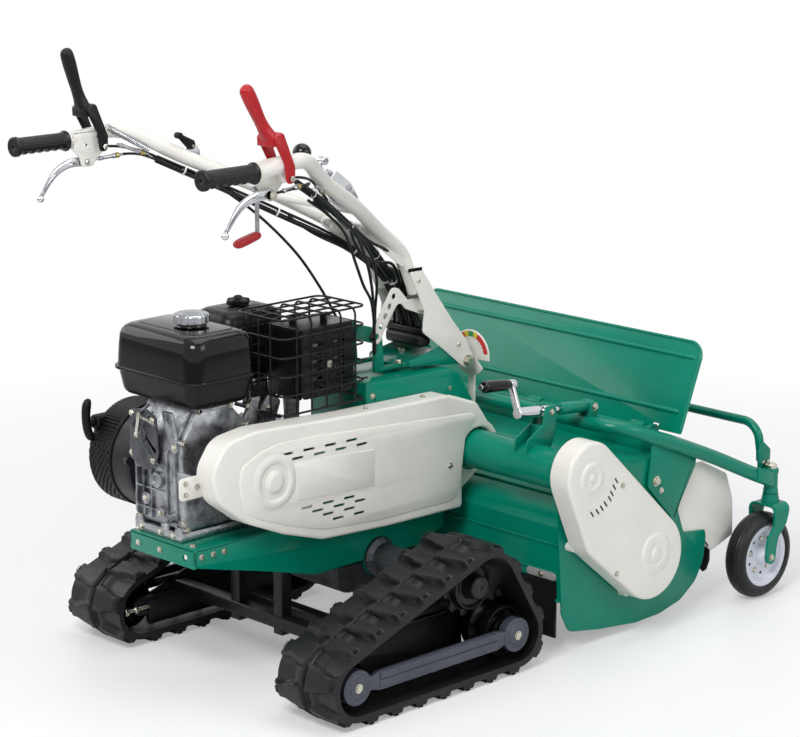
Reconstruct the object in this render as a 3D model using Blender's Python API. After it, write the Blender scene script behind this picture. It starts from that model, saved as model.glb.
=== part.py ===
"""Tracked hammer knife mower: walk-behind flail mower on rubber tracks.

Metres, +Z up, x to the machine's right, y forward. Stations along y are measured from the
ground contact of the rear idlers; SET_BACK then puts the origin on the ground under the
middle of the machine's length.
"""

import math

import bpy
import bmesh
from mathutils import Matrix, Vector

# Clearances
GAP = 0.0003
PIN_PLAY = 0.0003

# Undercarriage
TRACK_CENTRE_X = 0.320
TRACK_WIDTH = 0.160
BELT_THICKNESS = 0.012
LUG_HEIGHT = 0.013
LUG_PITCHES = 20
IDLER_RADIUS = 0.052
SPROCKET_RADIUS = 0.066
IDLER_Y = 0.017
ROLLER_Y = 0.442
SPROCKET_Y = 0.360
SPROCKET_Z = 0.187
AXLE_Z = IDLER_RADIUS + BELT_THICKNESS + LUG_HEIGHT
WHEEL_PLAY = 0.0010
WHEEL_WIDTH = 0.070
WHEEL_SIDES = 20
AXLE_RADIUS = 0.009
SIDE_BAR_HEIGHT = 0.038
SIDE_BAR_THICKNESS = 0.014
SIDE_BAR_X = 0.386
INNER_RAIL_X = 0.256
INNER_RAIL_THICKNESS = 0.010
BEAM_SIZE = 0.030
REAR_BEAM_Y = 0.120
FRONT_BEAM_Y = 0.225

# Chassis and gearbox
CHASSIS_TOP = 0.300
CHASSIS_HALF_WIDTH = 0.0845
CHASSIS_STEP_Y = 0.050
CHASSIS_REAR_Y = -0.114
CHASSIS_FRONT_Y = 0.548
CHASSIS_PLATE = 0.005
GEARBOX_HALF_WIDTH = 0.078
CHASSIS_LEFT_X = -0.112
HOUSING_RADIUS = 0.030
DRIVE_SHAFT_RADIUS = 0.012

# Engine
CRANK_Y = 0.030
CRANK_Z = 0.420
CRANK_SHAFT_RADIUS = 0.0110
ENGINE_RIGHT_X = 0.060
ENGINE_LEFT_X = -0.115
ENGINE_REAR_Y = -0.107
ENGINE_FRONT_Y = 0.063
RECOIL_RADIUS = 0.105
RECOIL_DEPTH = 0.140
RECOIL_Y = -0.010
TANK_BOTTOM = 0.556
TANK_TOP = 0.696
TANK_LEFT_X = -0.182
TANK_RIGHT_X = 0.065
TANK_REAR_Y = -0.095
TANK_FRONT_Y = 0.070
CAP_X = -0.040
CAP_Y = -0.010
CAP_RADIUS = 0.034
MUFFLER_BOX = ((-0.030, 0.170, 0.538), (0.070, 0.308, 0.676))
CAGE_BOX = ((-0.046, 0.100, 0.520), (0.094, 0.324, 0.710))
WIRE = 0.0040
CLEANER_BOX = ((-0.172, 0.088, 0.560), (-0.050, 0.244, 0.700))

# Deck width, which the drive, the wheel arm and the casters follow
DECK_HALF_WIDTH = 0.384
DECK_PLATE = 0.004

# Drive to the knives
COVER_INNER_X = 0.088
COVER_OUTER_X = 0.140
COVER_WALL = 0.0025
JACK_Y = 0.589
JACK_Z = 0.377
JACK_TUBE_RADIUS = 0.040
JACK_TUBE_WALL = 0.004
JACK_SHAFT_RADIUS = 0.012
TUBE_START_X = 0.114
BELT_PLANE_X = 0.101
BELT_WIDTH = 0.010
BELT_DEPTH = 0.007
CRANK_PULLEY_RADIUS = 0.046
JACK_PULLEY_RADIUS = 0.042
GROOVE_DEPTH = 0.009
PULLEY_WIDTH = 0.016
SIDE_PLANE_X = DECK_HALF_WIDTH + 0.043
SIDE_COVER_INNER_X = DECK_HALF_WIDTH + 0.014
SIDE_COVER_OUTER_X = DECK_HALF_WIDTH + 0.064
SIDE_JACK_PULLEY_RADIUS = 0.040
ROTOR_PULLEY_RADIUS = 0.050

# Mower deck
ROTOR_Y = 0.786
ROTOR_Z = 0.182
ROTOR_TUBE_RADIUS = 0.034
ROTOR_STUB_RADIUS = 0.014
FLAIL_REACH = 0.110
FLAIL_ROWS = 4
FLAILS_PER_ROW = 3
DECK_TOP = 0.360
DECK_REAR_Y = 0.576
FLAP_HINGE_Y = 0.905
FLAP_HINGE_Z = 0.396
FLAP_ROD_RADIUS = 0.006
FLAP_HALF_WIDTH = DECK_HALF_WIDTH + 0.021
FLAP_HEIGHT = 0.178
FLAP_LEAN = math.radians(22.0)
FLAP_SHEET = 0.0035
FLAP_EAR_X = DECK_HALF_WIDTH - 0.049

# Wheel arm, guard bar and casters
ARM_PIVOT_Y = 0.846
ARM_PIVOT_Z = 0.309
ARM_BOLT_RADIUS = 0.008
CROSS_TUBE_Y = 0.752
CROSS_TUBE_Z = 0.431
CROSS_TUBE_RADIUS = 0.015
ARM_PLATE_X = DECK_HALF_WIDTH + 0.002
ARM_PLATE = 0.005
SPINDLE_X = DECK_HALF_WIDTH + 0.036
SPINDLE_Y = 1.193
SPINDLE_RADIUS = 0.010
SLEEVE_RADIUS = 0.016
SLEEVE_BOTTOM = 0.222
SLEEVE_TOP = 0.277
TRAIL = 0.036
TYRE_RADIUS = 0.093
TYRE_WIDTH = 0.048
RIM_RADIUS = 0.066
HUB_HALF_WIDTH = 0.0285
FORK_INNER = 0.030
FORK_PLATE = 0.006
CASTER_AXLE_RADIUS = 0.006
GUARD_BAR_RADIUS = 0.0095
GUARD_BAR_Z = 0.368
GUARD_BAR_Y = SPINDLE_Y - 0.003

# Height crank
LINK_X = 0.285
LINK_PIN_Y = 0.761
LINK_PIN_Z = 0.465
LINK_PIN_RADIUS = 0.005
LINK_SLOPE = math.radians(-5.4)
LINK_LENGTH = 0.090
LINK_RADIUS = 0.0125
SCREW_RADIUS = 0.005
CRANK_THROW = 0.060
CRANK_REST = math.radians(-25.0)
KNOB_LENGTH = 0.078
KNOB_RADIUS = 0.012

# Handle
COLUMN_BASE_HALF_WIDTH = 0.083
GAUGE_X = 0.036
GAUGE_Z = 0.545
GAUGE_RADIUS = 0.052
TURRET_Y = 0.500
TURRET_RADIUS = 0.056
TURRET_Z = 0.5520
TILT_Y = 0.631
TILT_Z = 0.542
TILT_BOLT_RADIUS = 0.006
COLUMN_HALF_WIDTH = 0.064
COLUMN_PLATE = 0.004
HOLE_PLATE_X = 0.044
BAR_RADIUS = 0.014
GRIP_X = 0.275
GRIP_REAR_Y = -0.240
GRIP_FRONT_Y = -0.118
GRIP_Z = 1.036
GRIP_RADIUS = 0.0165
CLUTCH_Y = -0.048
CLUTCH_Z = 1.021
STEER_X = 0.270
STEER_Y = -0.080
STEER_Z = 0.993
LEVER_X = 0.270
LEVER_HALF_GAP = 0.0195
LEVER_CHEEK = 0.0040
PIVOT_RADIUS = 0.004
CROSS_ROD_Y = 0.262
CROSS_ROD_Z = 0.906
CROSS_ROD_RADIUS = 0.008
THROTTLE_X = -0.200
THROTTLE_Y = 0.127
THROTTLE_Z = 1.010
LOCK_X = 0.233
LOCK_Y = -0.079
LOCK_Z = 1.002
CABLE_RADIUS = 0.009

FRONT_END = SPINDLE_Y - TRAIL + TYRE_RADIUS
SET_BACK = (FRONT_END + GRIP_REAR_Y) / 2


# Colours are given as they look on a screen, 0 to 255
def paint(red, green, blue):
    linear = []
    for value in (red, green, blue):
        share = value / 255
        linear.append(share / 12.92 if share <= 0.04045 else ((share + 0.055) / 1.055) ** 2.4)
    return (*linear, 1.0)


GREEN = (paint(0, 128, 104), 0.28, 0.0)
WHITE = (paint(228, 226, 221), 0.35, 0.0)
RUBBER = (paint(30, 30, 32), 0.75, 0.0)
BLACK = (paint(22, 22, 24), 0.40, 0.0)
SATIN_BLACK = (paint(34, 34, 36), 0.55, 0.0)
CAST = (paint(150, 152, 155), 0.45, 0.8)
STEEL = (paint(176, 178, 182), 0.30, 1.0)
RED = (paint(200, 45, 52), 0.38, 0.0)


# Mesh building

def mesh_object(points, faces):
    """A closed mesh from points and faces, with its faces turned outwards."""
    mesh = bpy.data.meshes.new("solid")
    mesh.from_pydata([tuple(point) for point in points], [], faces)
    shape = bmesh.new()
    shape.from_mesh(mesh)
    bmesh.ops.recalc_face_normals(shape, faces=shape.faces)
    shape.to_mesh(mesh)
    shape.free()
    solid = bpy.data.objects.new("solid", mesh)
    bpy.context.collection.objects.link(solid)
    return solid


def on_axis(axis, along, u, v):
    """The point at `along` on an axis, with u and v on the other two in x, y, z order."""
    return ((along, u, v), (u, along, v), (u, v, along))[axis]


def prism(outline, axis, start, end):
    """An outline carried straight along an axis."""
    return loft([(start, outline), (end, outline)], axis)


def loft(sections, axis):
    """A solid through sections of equal point counts, each (place on the axis, outline)."""
    points = []
    for along, outline in sections:
        points += [on_axis(axis, along, u, v) for u, v in outline]
    count = len(sections[0][1])
    faces = [list(range(count)), list(range(len(points) - count, len(points)))]
    for level in range(len(sections) - 1):
        low = level * count
        for i in range(count):
            j = (i + 1) % count
            faces.append([low + i, low + j, low + count + j, low + count + i])
    return mesh_object(points, faces)


def box(low, high):
    outline = [(low[1], low[2]), (high[1], low[2]), (high[1], high[2]), (low[1], high[2])]
    return prism(outline, 0, low[0], high[0])


def box_between(side, low, high):
    """A box given for the right side, mirrored when side is -1."""
    x0, x1 = sorted((side * low[0], side * high[0]))
    return box((x0, low[1], low[2]), (x1, high[1], high[2]))


def turned(profile, axis, centre, sides=14, closed=False):
    """A profile of (along, radius) pairs turned about an axis through the centre."""
    u0, v0 = centre
    points = []
    rings = []
    for along, radius in profile:
        turns = 1 if radius == 0 else sides
        rings.append(list(range(len(points), len(points) + turns)))
        for i in range(turns):
            angle = 2 * math.pi * i / sides
            point = on_axis(axis, along, u0 + radius * math.cos(angle), v0 + radius * math.sin(angle))
            points.append(point)
    faces = []
    pairs = list(zip(rings, rings[1:]))
    if closed:
        pairs.append((rings[-1], rings[0]))
    for first, second in pairs:
        for i in range(sides):
            j = (i + 1) % sides
            if len(first) == 1:
                faces.append([first[0], second[i], second[j]])
            elif len(second) == 1:
                faces.append([first[i], first[j], second[0]])
            else:
                faces.append([first[i], first[j], second[j], second[i]])
    if not closed:
        faces += [ring for ring in (rings[0], rings[-1]) if len(ring) > 1]
    return mesh_object(points, faces)


def ball_profile(middle, radius):
    """Half profile of a ball for turning, from its lowest point to its highest."""
    steps = [math.radians(-90 + 30 * n) for n in range(7)]
    ring = [(middle + radius * math.sin(a), radius * math.cos(a)) for a in steps[1:-1]]
    return [(middle - radius, 0.0)] + ring + [(middle + radius, 0.0)]


def rod(axis, start, end, centre, radius, sides=10):
    return turned([(start, radius), (end, radius)], axis, centre, sides)


def clear_radius(radius, sides):
    """Radius of a bore whose flats all clear a pin of the given radius."""
    return (radius + PIN_PLAY) / math.cos(math.pi / sides)


def bore(axis, start, end, centre, radius, sides=10):
    """Cutter for a hole round a pin of the given radius."""
    return rod(axis, start, end, centre, clear_radius(radius, sides), sides)


def tube(route, radius, sides=8):
    """A round bar swept along a route, with its rings square to the bends."""
    route = [Vector(point) for point in route]
    steps = [(b - a).normalized() for a, b in zip(route, route[1:])]
    points = []
    side = steps[0].orthogonal().normalized()
    for i, point in enumerate(route):
        before = steps[max(i - 1, 0)]
        after = steps[min(i, len(steps) - 1)]
        forward = (before + after).normalized()
        side = (side - forward * side.dot(forward)).normalized()
        up = forward.cross(side)
        stretch = 1 / max(forward.dot(after), 0.5)
        bend = (after - before)
        across = bend.normalized() if bend.length > 1e-6 else side
        for k in range(sides):
            angle = 2 * math.pi * k / sides
            offset = (side * math.cos(angle) + up * math.sin(angle)) * radius
            offset += across * offset.dot(across) * (stretch - 1)
            points.append(point + offset)
    faces = [list(range(sides)), list(range(len(points) - sides, len(points)))]
    for i in range(len(route) - 1):
        for k in range(sides):
            j = (k + 1) % sides
            low = i * sides
            faces.append([low + k, low + j, low + sides + j, low + sides + k])
    return mesh_object(points, faces)


def smooth(points, per_span=4):
    """A curve through the points, each span cut into equal shares (Catmull-Rom)."""
    points = [Vector(point) for point in points]
    ends = [points[0] * 2 - points[1]] + points + [points[-1] * 2 - points[-2]]
    route = []
    for i in range(len(points) - 1):
        p0, p1, p2, p3 = ends[i:i + 4]
        for k in range(per_span):
            t = k / per_span
            route.append(0.5 * (2 * p1 + (p2 - p0) * t + (2 * p0 - 5 * p1 + 4 * p2 - p3) * t * t
                                + (3 * p1 - p0 - 3 * p2 + p3) * t ** 3))
    route.append(points[-1])
    return route


def rounded(corners, steps=3):
    """An outline whose corners (u, v, radius) are turned into arcs."""
    outline = []
    count = len(corners)
    for i, corner in enumerate(corners):
        here = Vector(corner[:2])
        radius = corner[2] if len(corner) > 2 else 0
        if radius == 0:
            outline.append(tuple(here))
            continue
        back = (Vector(corners[i - 1][:2]) - here).normalized()
        ahead = (Vector(corners[(i + 1) % count][:2]) - here).normalized()
        half = back.angle(ahead) / 2
        centre = here + (back + ahead).normalized() * (radius / math.sin(half))
        first = here + back * (radius / math.tan(half)) - centre
        last = here + ahead * (radius / math.tan(half)) - centre
        turn = first.angle_signed(last)
        for k in range(steps + 1):
            outline.append(tuple(centre + Matrix.Rotation(-turn * k / steps, 2) @ first))
    return outline


def arc(centre, radius, start, end, steps):
    """Points on an arc, angles in degrees anticlockwise from the first axis."""
    points = []
    for k in range(steps + 1):
        angle = math.radians(start + (end - start) * k / steps)
        points.append((centre[0] + radius * math.cos(angle), centre[1] + radius * math.sin(angle)))
    return points


def inset(outline, distance):
    """An anticlockwise outline drawn in by a distance, corner by corner."""
    drawn = []
    count = len(outline)
    for i in range(count):
        here = Vector(outline[i])
        before = (here - Vector(outline[i - 1])).normalized()
        after = (Vector(outline[(i + 1) % count]) - here).normalized()
        normal_before = Vector((-before.y, before.x))
        normal_after = Vector((-after.y, after.x))
        middle = (normal_before + normal_after).normalized()
        drawn.append(tuple(here + middle * (distance / max(middle.dot(normal_after), 0.3))))
    return drawn


def combine(base, others, operation):
    """Apply a Boolean with each of the other solids in turn, then remove them."""
    for other in others:
        step = base.modifiers.new("step", "BOOLEAN")
        step.operation = operation
        step.solver = "EXACT"
        step.object = other
    bpy.context.view_layer.update()
    graph = bpy.context.evaluated_depsgraph_get()
    mesh = bpy.data.meshes.new_from_object(base.evaluated_get(graph))
    base.modifiers.clear()
    base.data = mesh
    for other in others:
        bpy.data.objects.remove(other)
    return base


def joined(solids):
    return combine(solids[0], solids[1:], "UNION")


def cut(base, cutters):
    return combine(base, cutters, "DIFFERENCE")


def moved(solid, matrix):
    solid.data.transform(matrix)
    return solid


def node(name, solid, finish, pivot=(0, 0, 0)):
    """Name a finished solid, give it its material and put its origin on its pivot."""
    colour, roughness, metallic = finish
    solid.name = name
    solid.data.name = name
    place = Vector(pivot)
    solid.data.transform(Matrix.Translation(-place))
    solid.location = place - Vector((0, SET_BACK, 0))
    material = bpy.data.materials.new(name)
    material.use_nodes = True
    shader = material.node_tree.nodes["Principled BSDF"]
    shader.inputs["Base Color"].default_value = colour
    shader.inputs["Roughness"].default_value = roughness
    shader.inputs["Metallic"].default_value = metallic
    solid.data.materials.clear()
    solid.data.materials.append(material)
    solid.data.shade_smooth()
    solid.data.set_sharp_from_angle(angle=math.radians(35))
    return solid


# Belts and the loops they follow

def loop_stretches(circles):
    """The arcs and straights of a belt round (y, z, radius) circles, taken anticlockwise."""
    count = len(circles)
    angles = []
    for i in range(count):
        y1, z1, r1 = circles[i]
        y2, z2, r2 = circles[(i + 1) % count]
        length = math.hypot(y2 - y1, z2 - z1)
        angles.append(math.atan2(z2 - z1, y2 - y1) - math.acos((r1 - r2) / length))
    stretches = []
    for i in range(count):
        y1, z1, r1 = circles[i]
        y2, z2, r2 = circles[(i + 1) % count]
        turn = (angles[i] - angles[i - 1]) % (2 * math.pi)
        straight = math.sqrt((y2 - y1) ** 2 + (z2 - z1) ** 2 - (r1 - r2) ** 2)
        stretches.append(("arc", r1 * turn, circles[i], angles[i - 1], turn))
        stretches.append(("straight", straight, circles[i], angles[i], 0))
    return stretches


def loop_length(circles):
    return sum(stretch[1] for stretch in loop_stretches(circles))


def loop_point(circles, distance):
    """Place and outward direction (y, z, ny, nz) at a distance round the loop."""
    distance %= loop_length(circles)
    for kind, length, (y, z, radius), angle, turn in loop_stretches(circles):
        if distance <= length:
            break
        distance -= length
    if kind == "arc":
        angle += turn * distance / length
        distance = 0
    ny, nz = math.cos(angle), math.sin(angle)
    return (y + radius * ny - distance * nz, z + radius * nz + distance * ny, ny, nz)


def loop_outline(circles, grow=0.0, steps=6):
    """The loop as an outline, grown outwards, with each arc cut into steps."""
    outline = []
    for kind, length, (y, z, radius), angle, turn in loop_stretches(circles):
        if kind == "arc":
            wide = radius + grow
            degrees = math.degrees(angle)
            outline += arc((y, z), wide, degrees, degrees + math.degrees(turn), steps)
    return outline


def hollow_loop(inner, outer, start, end, axis):
    """A frame between two outlines of equal point counts, carried along an axis."""
    rings = [(start, inner), (start, outer), (end, outer), (end, inner)]
    points = []
    for along, outline in rings:
        points += [on_axis(axis, along, u, v) for u, v in outline]
    count = len(inner)
    faces = []
    for level in range(4):
        low = level * count
        high = (level + 1) % 4 * count
        for i in range(count):
            j = (i + 1) % count
            faces.append([low + i, low + j, high + j, high + i])
    return mesh_object(points, faces)


def flat_belt(circles, middle_x):
    """A plain drive belt round two pulleys, as a loop with a hole through it."""
    inner = loop_outline(circles, 0.0, 10)
    outer = loop_outline(circles, BELT_DEPTH, 10)
    low = middle_x - BELT_WIDTH / 2
    high = middle_x + BELT_WIDTH / 2
    return hollow_loop(inner, outer, low, high, 0)


def track_circles():
    return [(IDLER_Y, AXLE_Z, IDLER_RADIUS), (ROLLER_Y, AXLE_Z, IDLER_RADIUS),
            (SPROCKET_Y, SPROCKET_Z, SPROCKET_RADIUS)]


def on_arc(circles, start, end):
    """Whether a stretch of the loop turns."""
    first = loop_point(circles, start)
    last = loop_point(circles, end)
    return first[2] * last[2] + first[3] * last[3] < 0.995


def track_stations(circles):
    """Stations round the loop, finer on its arcs, each with the row whose lug starts there."""
    half = loop_length(circles) / (2 * LUG_PITCHES)
    stations = []
    for n in range(2 * LUG_PITCHES):
        stations.append((n * half, n % 2))
        if on_arc(circles, n * half, (n + 1) * half):
            stations.append(((n + 0.5) * half, n % 2))
    return stations


def track_belt(side):
    """A rubber belt with two staggered rows of lugs, as cells of two heights on a loop."""
    circles = track_circles()
    stations = [(loop_point(circles, place), row) for place, row in track_stations(circles)]
    count = len(stations)
    across = [-TRACK_WIDTH / 2, -0.012, 0.012, TRACK_WIDTH / 2]
    rows = len(across) - 1
    heights = (0.0, BELT_THICKNESS, BELT_THICKNESS + LUG_HEIGHT)
    points = []
    index = {}

    def corner(j, k, level):
        key = (j % count, k, level)
        if key not in index:
            y, z, ny, nz = stations[key[0]][0]
            rise = heights[level]
            index[key] = len(points)
            points.append((side * TRACK_CENTRE_X + across[k], y + rise * ny, z + rise * nz))
        return index[key]

    def wall(a, b, low, high):
        return [corner(*a, low), corner(*b, low), corner(*b, high), corner(*a, high)]

    def levels_at(j):
        row = stations[j % count][1]
        return (2 - row, 1, 1 + row)

    faces = []
    for j in range(count):
        faces.append([corner(j, 0, 0), corner(j + 1, 0, 0), corner(j + 1, rows, 0), corner(j, rows, 0)])
        levels = levels_at(j)
        before = levels_at(j - 1)
        for k, level in enumerate(levels):
            faces.append([corner(j, k, level), corner(j + 1, k, level),
                          corner(j + 1, k + 1, level), corner(j, k + 1, level)])
            if level != before[k]:
                faces.append(wall((j, k), (j, k + 1), 1, 2))
            if k > 0 and level != levels[k - 1]:
                faces.append(wall((j, k), (j + 1, k), 1, 2))
        for k, level in ((0, levels[0]), (rows, levels[-1])):
            faces.append(wall((j, k), (j + 1, k), 0, 1))
            if level == 2:
                faces.append(wall((j, k), (j + 1, k), 1, 2))
    return mesh_object(points, faces)


# Undercarriage

def build_undercarriage():
    for side, word in ((-1, "left"), (1, "right")):
        node(word + "_track_belt", track_belt(side), RUBBER)
        centre_x = side * TRACK_CENTRE_X
        half = WHEEL_WIDTH / 2
        for part, y in (("_rear_idler", IDLER_Y), ("_front_roller", ROLLER_Y)):
            radius = IDLER_RADIUS - WHEEL_PLAY
            hole = clear_radius(AXLE_RADIUS, WHEEL_SIDES)
            profile = [(centre_x - half, hole), (centre_x - half, radius), (centre_x - half * 0.35, radius),
                       (centre_x, radius * 0.62), (centre_x + half * 0.35, radius),
                       (centre_x + half, radius),
                       (centre_x + half, hole)]
            wheel = turned(profile, 0, (y, AXLE_Z), WHEEL_SIDES, closed=True)
            node(word + part, wheel, SATIN_BLACK, (centre_x, y, AXLE_Z))
        node(word + "_drive_sprocket", drive_sprocket(side), BLACK, (centre_x, SPROCKET_Y, SPROCKET_Z))
    node("undercarriage_frame", undercarriage_frame(), SATIN_BLACK)
    node("gearbox", gearbox(), SATIN_BLACK)


def drive_sprocket(side):
    """Toothed disc with a stepped hub outside and its drive shaft inside."""
    teeth = 10
    tip = SPROCKET_RADIUS - WHEEL_PLAY - 0.0006
    root = tip - 0.011
    outline = []
    for n in range(teeth):
        for share, radius in ((0.10, tip), (0.40, tip), (0.58, root), (0.92, root)):
            angle = 2 * math.pi * (n + share) / teeth
            outline.append((SPROCKET_Y + radius * math.cos(angle), SPROCKET_Z + radius * math.sin(angle)))
    centre = side * TRACK_CENTRE_X
    half = 0.014
    disc = prism(outline, 0, centre - half, centre + half)
    cap = [(centre + side * (half - 0.002), 0.038), (centre + side * 0.030, 0.036),
           (centre + side * 0.033, 0.027), (centre + side * 0.048, 0.025), (centre + side * 0.052, 0.0)]
    hub = turned(cap, 0, (SPROCKET_Y, SPROCKET_Z), 14)
    shaft = rod(0, side * (GEARBOX_HALF_WIDTH + 0.020), centre, (SPROCKET_Y, SPROCKET_Z),
                DRIVE_SHAFT_RADIUS)
    return joined([disc, hub, shaft])


def gearbox():
    """Gear case inside the bed with an axle housing out to each sprocket."""
    low = (-GEARBOX_HALF_WIDTH, SPROCKET_Y - 0.105, SPROCKET_Z - 0.062)
    high = (GEARBOX_HALF_WIDTH, SPROCKET_Y + 0.085, CHASSIS_TOP - CHASSIS_PLATE - GAP)
    outline = rounded([(low[1], low[2], 0.030), (high[1], low[2], 0.030),
                       (high[1], high[2], 0.006), (low[1], high[2], 0.006)])
    case = prism(outline, 0, low[0], high[0])
    housings = []
    bores = []
    for side in (-1, 1):
        end = side * (TRACK_CENTRE_X - TRACK_WIDTH / 2 + 0.006)
        start = side * (GEARBOX_HALF_WIDTH - 0.004)
        profile = [(start, HOUSING_RADIUS + 0.010),
                   (side * (GEARBOX_HALF_WIDTH + 0.012), HOUSING_RADIUS + 0.010),
                   (side * (GEARBOX_HALF_WIDTH + 0.020), HOUSING_RADIUS), (end, HOUSING_RADIUS)]
        housings.append(turned(profile, 0, (SPROCKET_Y, SPROCKET_Z), 14))
        bore_end = side * (TRACK_CENTRE_X - TRACK_WIDTH / 2 + 0.020)
        bores.append(bore(0, side * (GEARBOX_HALF_WIDTH + 0.018), bore_end, (SPROCKET_Y, SPROCKET_Z),
                          DRIVE_SHAFT_RADIUS))
    return cut(joined([case] + housings), bores)


def undercarriage_frame():
    """Inner rails, outer bars, fixed axles, cross beams and uprights to the bed."""
    pieces = []
    belt_edge = TRACK_CENTRE_X - TRACK_WIDTH / 2
    for side in (-1, 1):
        half = SIDE_BAR_HEIGHT / 2
        bar = loop_outline([(IDLER_Y, AXLE_Z, half), (ROLLER_Y, AXLE_Z, half)], 0.0, 6)
        outer = SIDE_BAR_X + SIDE_BAR_THICKNESS / 2
        inner = SIDE_BAR_X - SIDE_BAR_THICKNESS / 2
        pieces.append(prism(bar, 0, side * inner, side * outer))
        rail_in = INNER_RAIL_X - INNER_RAIL_THICKNESS / 2
        rail_out = INNER_RAIL_X + INNER_RAIL_THICKNESS / 2
        rail = loop_outline([(IDLER_Y, AXLE_Z, half), (ROLLER_Y, AXLE_Z, half)], -0.001, 5)
        pieces.append(prism(rail, 0, side * rail_in, side * rail_out))
        for y in (IDLER_Y, ROLLER_Y):
            pieces.append(rod(0, side * (rail_in + 0.002), side * (inner + 0.003), (y, AXLE_Z),
                              AXLE_RADIUS))
            boss = [(side * (inner + 0.002), 0.024), (side * (outer + 0.002), 0.024),
                    (side * (outer + 0.004), 0.016), (side * (outer + 0.004), 0.0)]
            pieces.append(turned(boss, 0, (y, AXLE_Z), 14))
        pieces.append(box((side * 0.064 - 0.013, REAR_BEAM_Y - 0.013, AXLE_Z),
                          (side * 0.064 + 0.013, REAR_BEAM_Y + 0.013, CHASSIS_TOP - CHASSIS_PLATE - GAP)))
    for y, lift in ((REAR_BEAM_Y, 0.024), (FRONT_BEAM_Y, 0.0)):
        low = AXLE_Z - 0.0125 + lift
        span = belt_edge + INNER_RAIL_THICKNESS + 0.004
        pieces.append(box((-span, y - BEAM_SIZE / 2, low), (span, y + BEAM_SIZE / 2, low + 0.026)))
    return joined(pieces)


# Chassis

def build_chassis():
    """Folded bed: a platform under the engine, wider on the left, and a narrower bed in front."""
    plate = CHASSIS_PLATE
    half = CHASSIS_HALF_WIDTH
    left = CHASSIS_LEFT_X
    rear = CHASSIS_REAR_Y
    step = CHASSIS_STEP_Y
    low = CHASSIS_TOP - plate
    top = prism([(left, rear), (half, rear), (half, CHASSIS_FRONT_Y), (-half, CHASSIS_FRONT_Y),
                 (-half, step + 0.012), (left, step)], 2, low, CHASSIS_TOP)
    belly = [(step, 0.224), (0.190, 0.186), (0.470, 0.186), (CHASSIS_FRONT_Y, 0.215),
             (CHASSIS_FRONT_Y, low + 0.001)]
    right_side = [(rear, 0.266)] + belly + [(rear, low + 0.001)]
    wide_side = [(rear, 0.266), (step, 0.232), (step, low + 0.001), (rear, low + 0.001)]
    long_side = [(step - 0.002, 0.224)] + belly + [(step - 0.002, low + 0.001)]
    pieces = [top, prism(right_side, 0, half - plate, half), prism(wide_side, 0, left, left + plate),
              prism(long_side, 0, -half, -half + plate)]
    pieces.append(box((left + 0.001, step - plate, 0.234), (-half + 0.001, step, low + 0.001)))
    pieces.append(box((left, rear, 0.262), (half, rear + plate, low + 0.001)))
    pieces.append(box((-half, CHASSIS_FRONT_Y - plate, 0.220), (half, CHASSIS_FRONT_Y, low + 0.001)))
    bed = joined(pieces)
    hole = HOUSING_RADIUS + 0.010 + 2 * GAP
    holes = [rod(0, side * (half - 2 * plate), side * (half + plate), (SPROCKET_Y, SPROCKET_Z), hole, 14)
             for side in (-1, 1)]
    holes.append(rod(1, rear - plate, rear + 2 * plate, (half - 0.030, 0.280), 0.007))
    node("chassis_frame", cut(bed, holes), GREEN)


# Engine

def build_engine():
    node("engine_block", engine_block(), CAST)
    build_recoil()
    build_tank()
    build_air_cleaner()
    build_muffler()


def engine_block():
    """Crankcase, sloping finned cylinder with its head, mounting feet and shaft bearing."""
    low_z = CHASSIS_TOP + GAP
    case = rounded([(ENGINE_REAR_Y, low_z + 0.018, 0.020), (ENGINE_FRONT_Y, low_z + 0.018, 0.016),
                    (ENGINE_FRONT_Y, TANK_BOTTOM - 0.050, 0.020),
                    (ENGINE_FRONT_Y - 0.045, TANK_BOTTOM - GAP, 0),
                    (ENGINE_REAR_Y + 0.040, TANK_BOTTOM - GAP, 0),
                    (ENGINE_REAR_Y, TANK_BOTTOM - 0.060, 0.030)])
    block = prism(case, 0, ENGINE_LEFT_X, ENGINE_RIGHT_X - 0.022)
    cover = turned([(ENGINE_RIGHT_X - 0.026, 0.078), (ENGINE_RIGHT_X - 0.008, 0.074),
                    (ENGINE_RIGHT_X - 0.004, 0.040), (ENGINE_RIGHT_X, 0.034), (ENGINE_RIGHT_X, 0.0)], 0,
                   (CRANK_Y, CRANK_Z), 18)
    feet = box((ENGINE_LEFT_X + 0.004, ENGINE_REAR_Y + 0.004, low_z),
               (ENGINE_RIGHT_X - 0.028, ENGINE_FRONT_Y + 0.050, low_z + 0.022))
    barrel = box((-0.085, ENGINE_FRONT_Y - 0.020, 0.378), (0.015, 0.200, 0.470))
    pieces = [block, cover, feet, barrel]
    for n in range(5):
        y = ENGINE_FRONT_Y + 0.022 + 0.016 * n
        pieces.append(box((-0.102, y, 0.362), (0.032, y + 0.006, 0.486)))
    head = rounded([(0.165, 0.366, 0.006), (0.222, 0.372, 0.012), (0.222, 0.476, 0.012),
                    (0.165, 0.482, 0.006)])
    pieces.append(prism(head, 0, -0.106, 0.036))
    port = box((-0.008, 0.178, 0.470), (0.028, 0.214, MUFFLER_BOX[0][2] - GAP))
    intake = box((-0.098, 0.182, 0.470), (-0.072, 0.208, CLEANER_BOX[0][2] - GAP))
    stay = box((ENGINE_RIGHT_X - 0.030, ENGINE_REAR_Y + 0.003, 0.415),
               (COVER_INNER_X - GAP, ENGINE_REAR_Y + 0.013, 0.440))
    pieces += [port, intake, stay]
    body = joined(pieces)
    shaft_hole = bore(0, ENGINE_RIGHT_X - 0.060, ENGINE_RIGHT_X + 0.010, (CRANK_Y, CRANK_Z),
                      CRANK_SHAFT_RADIUS, 14)
    return cut(body, [shaft_hole])


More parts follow.
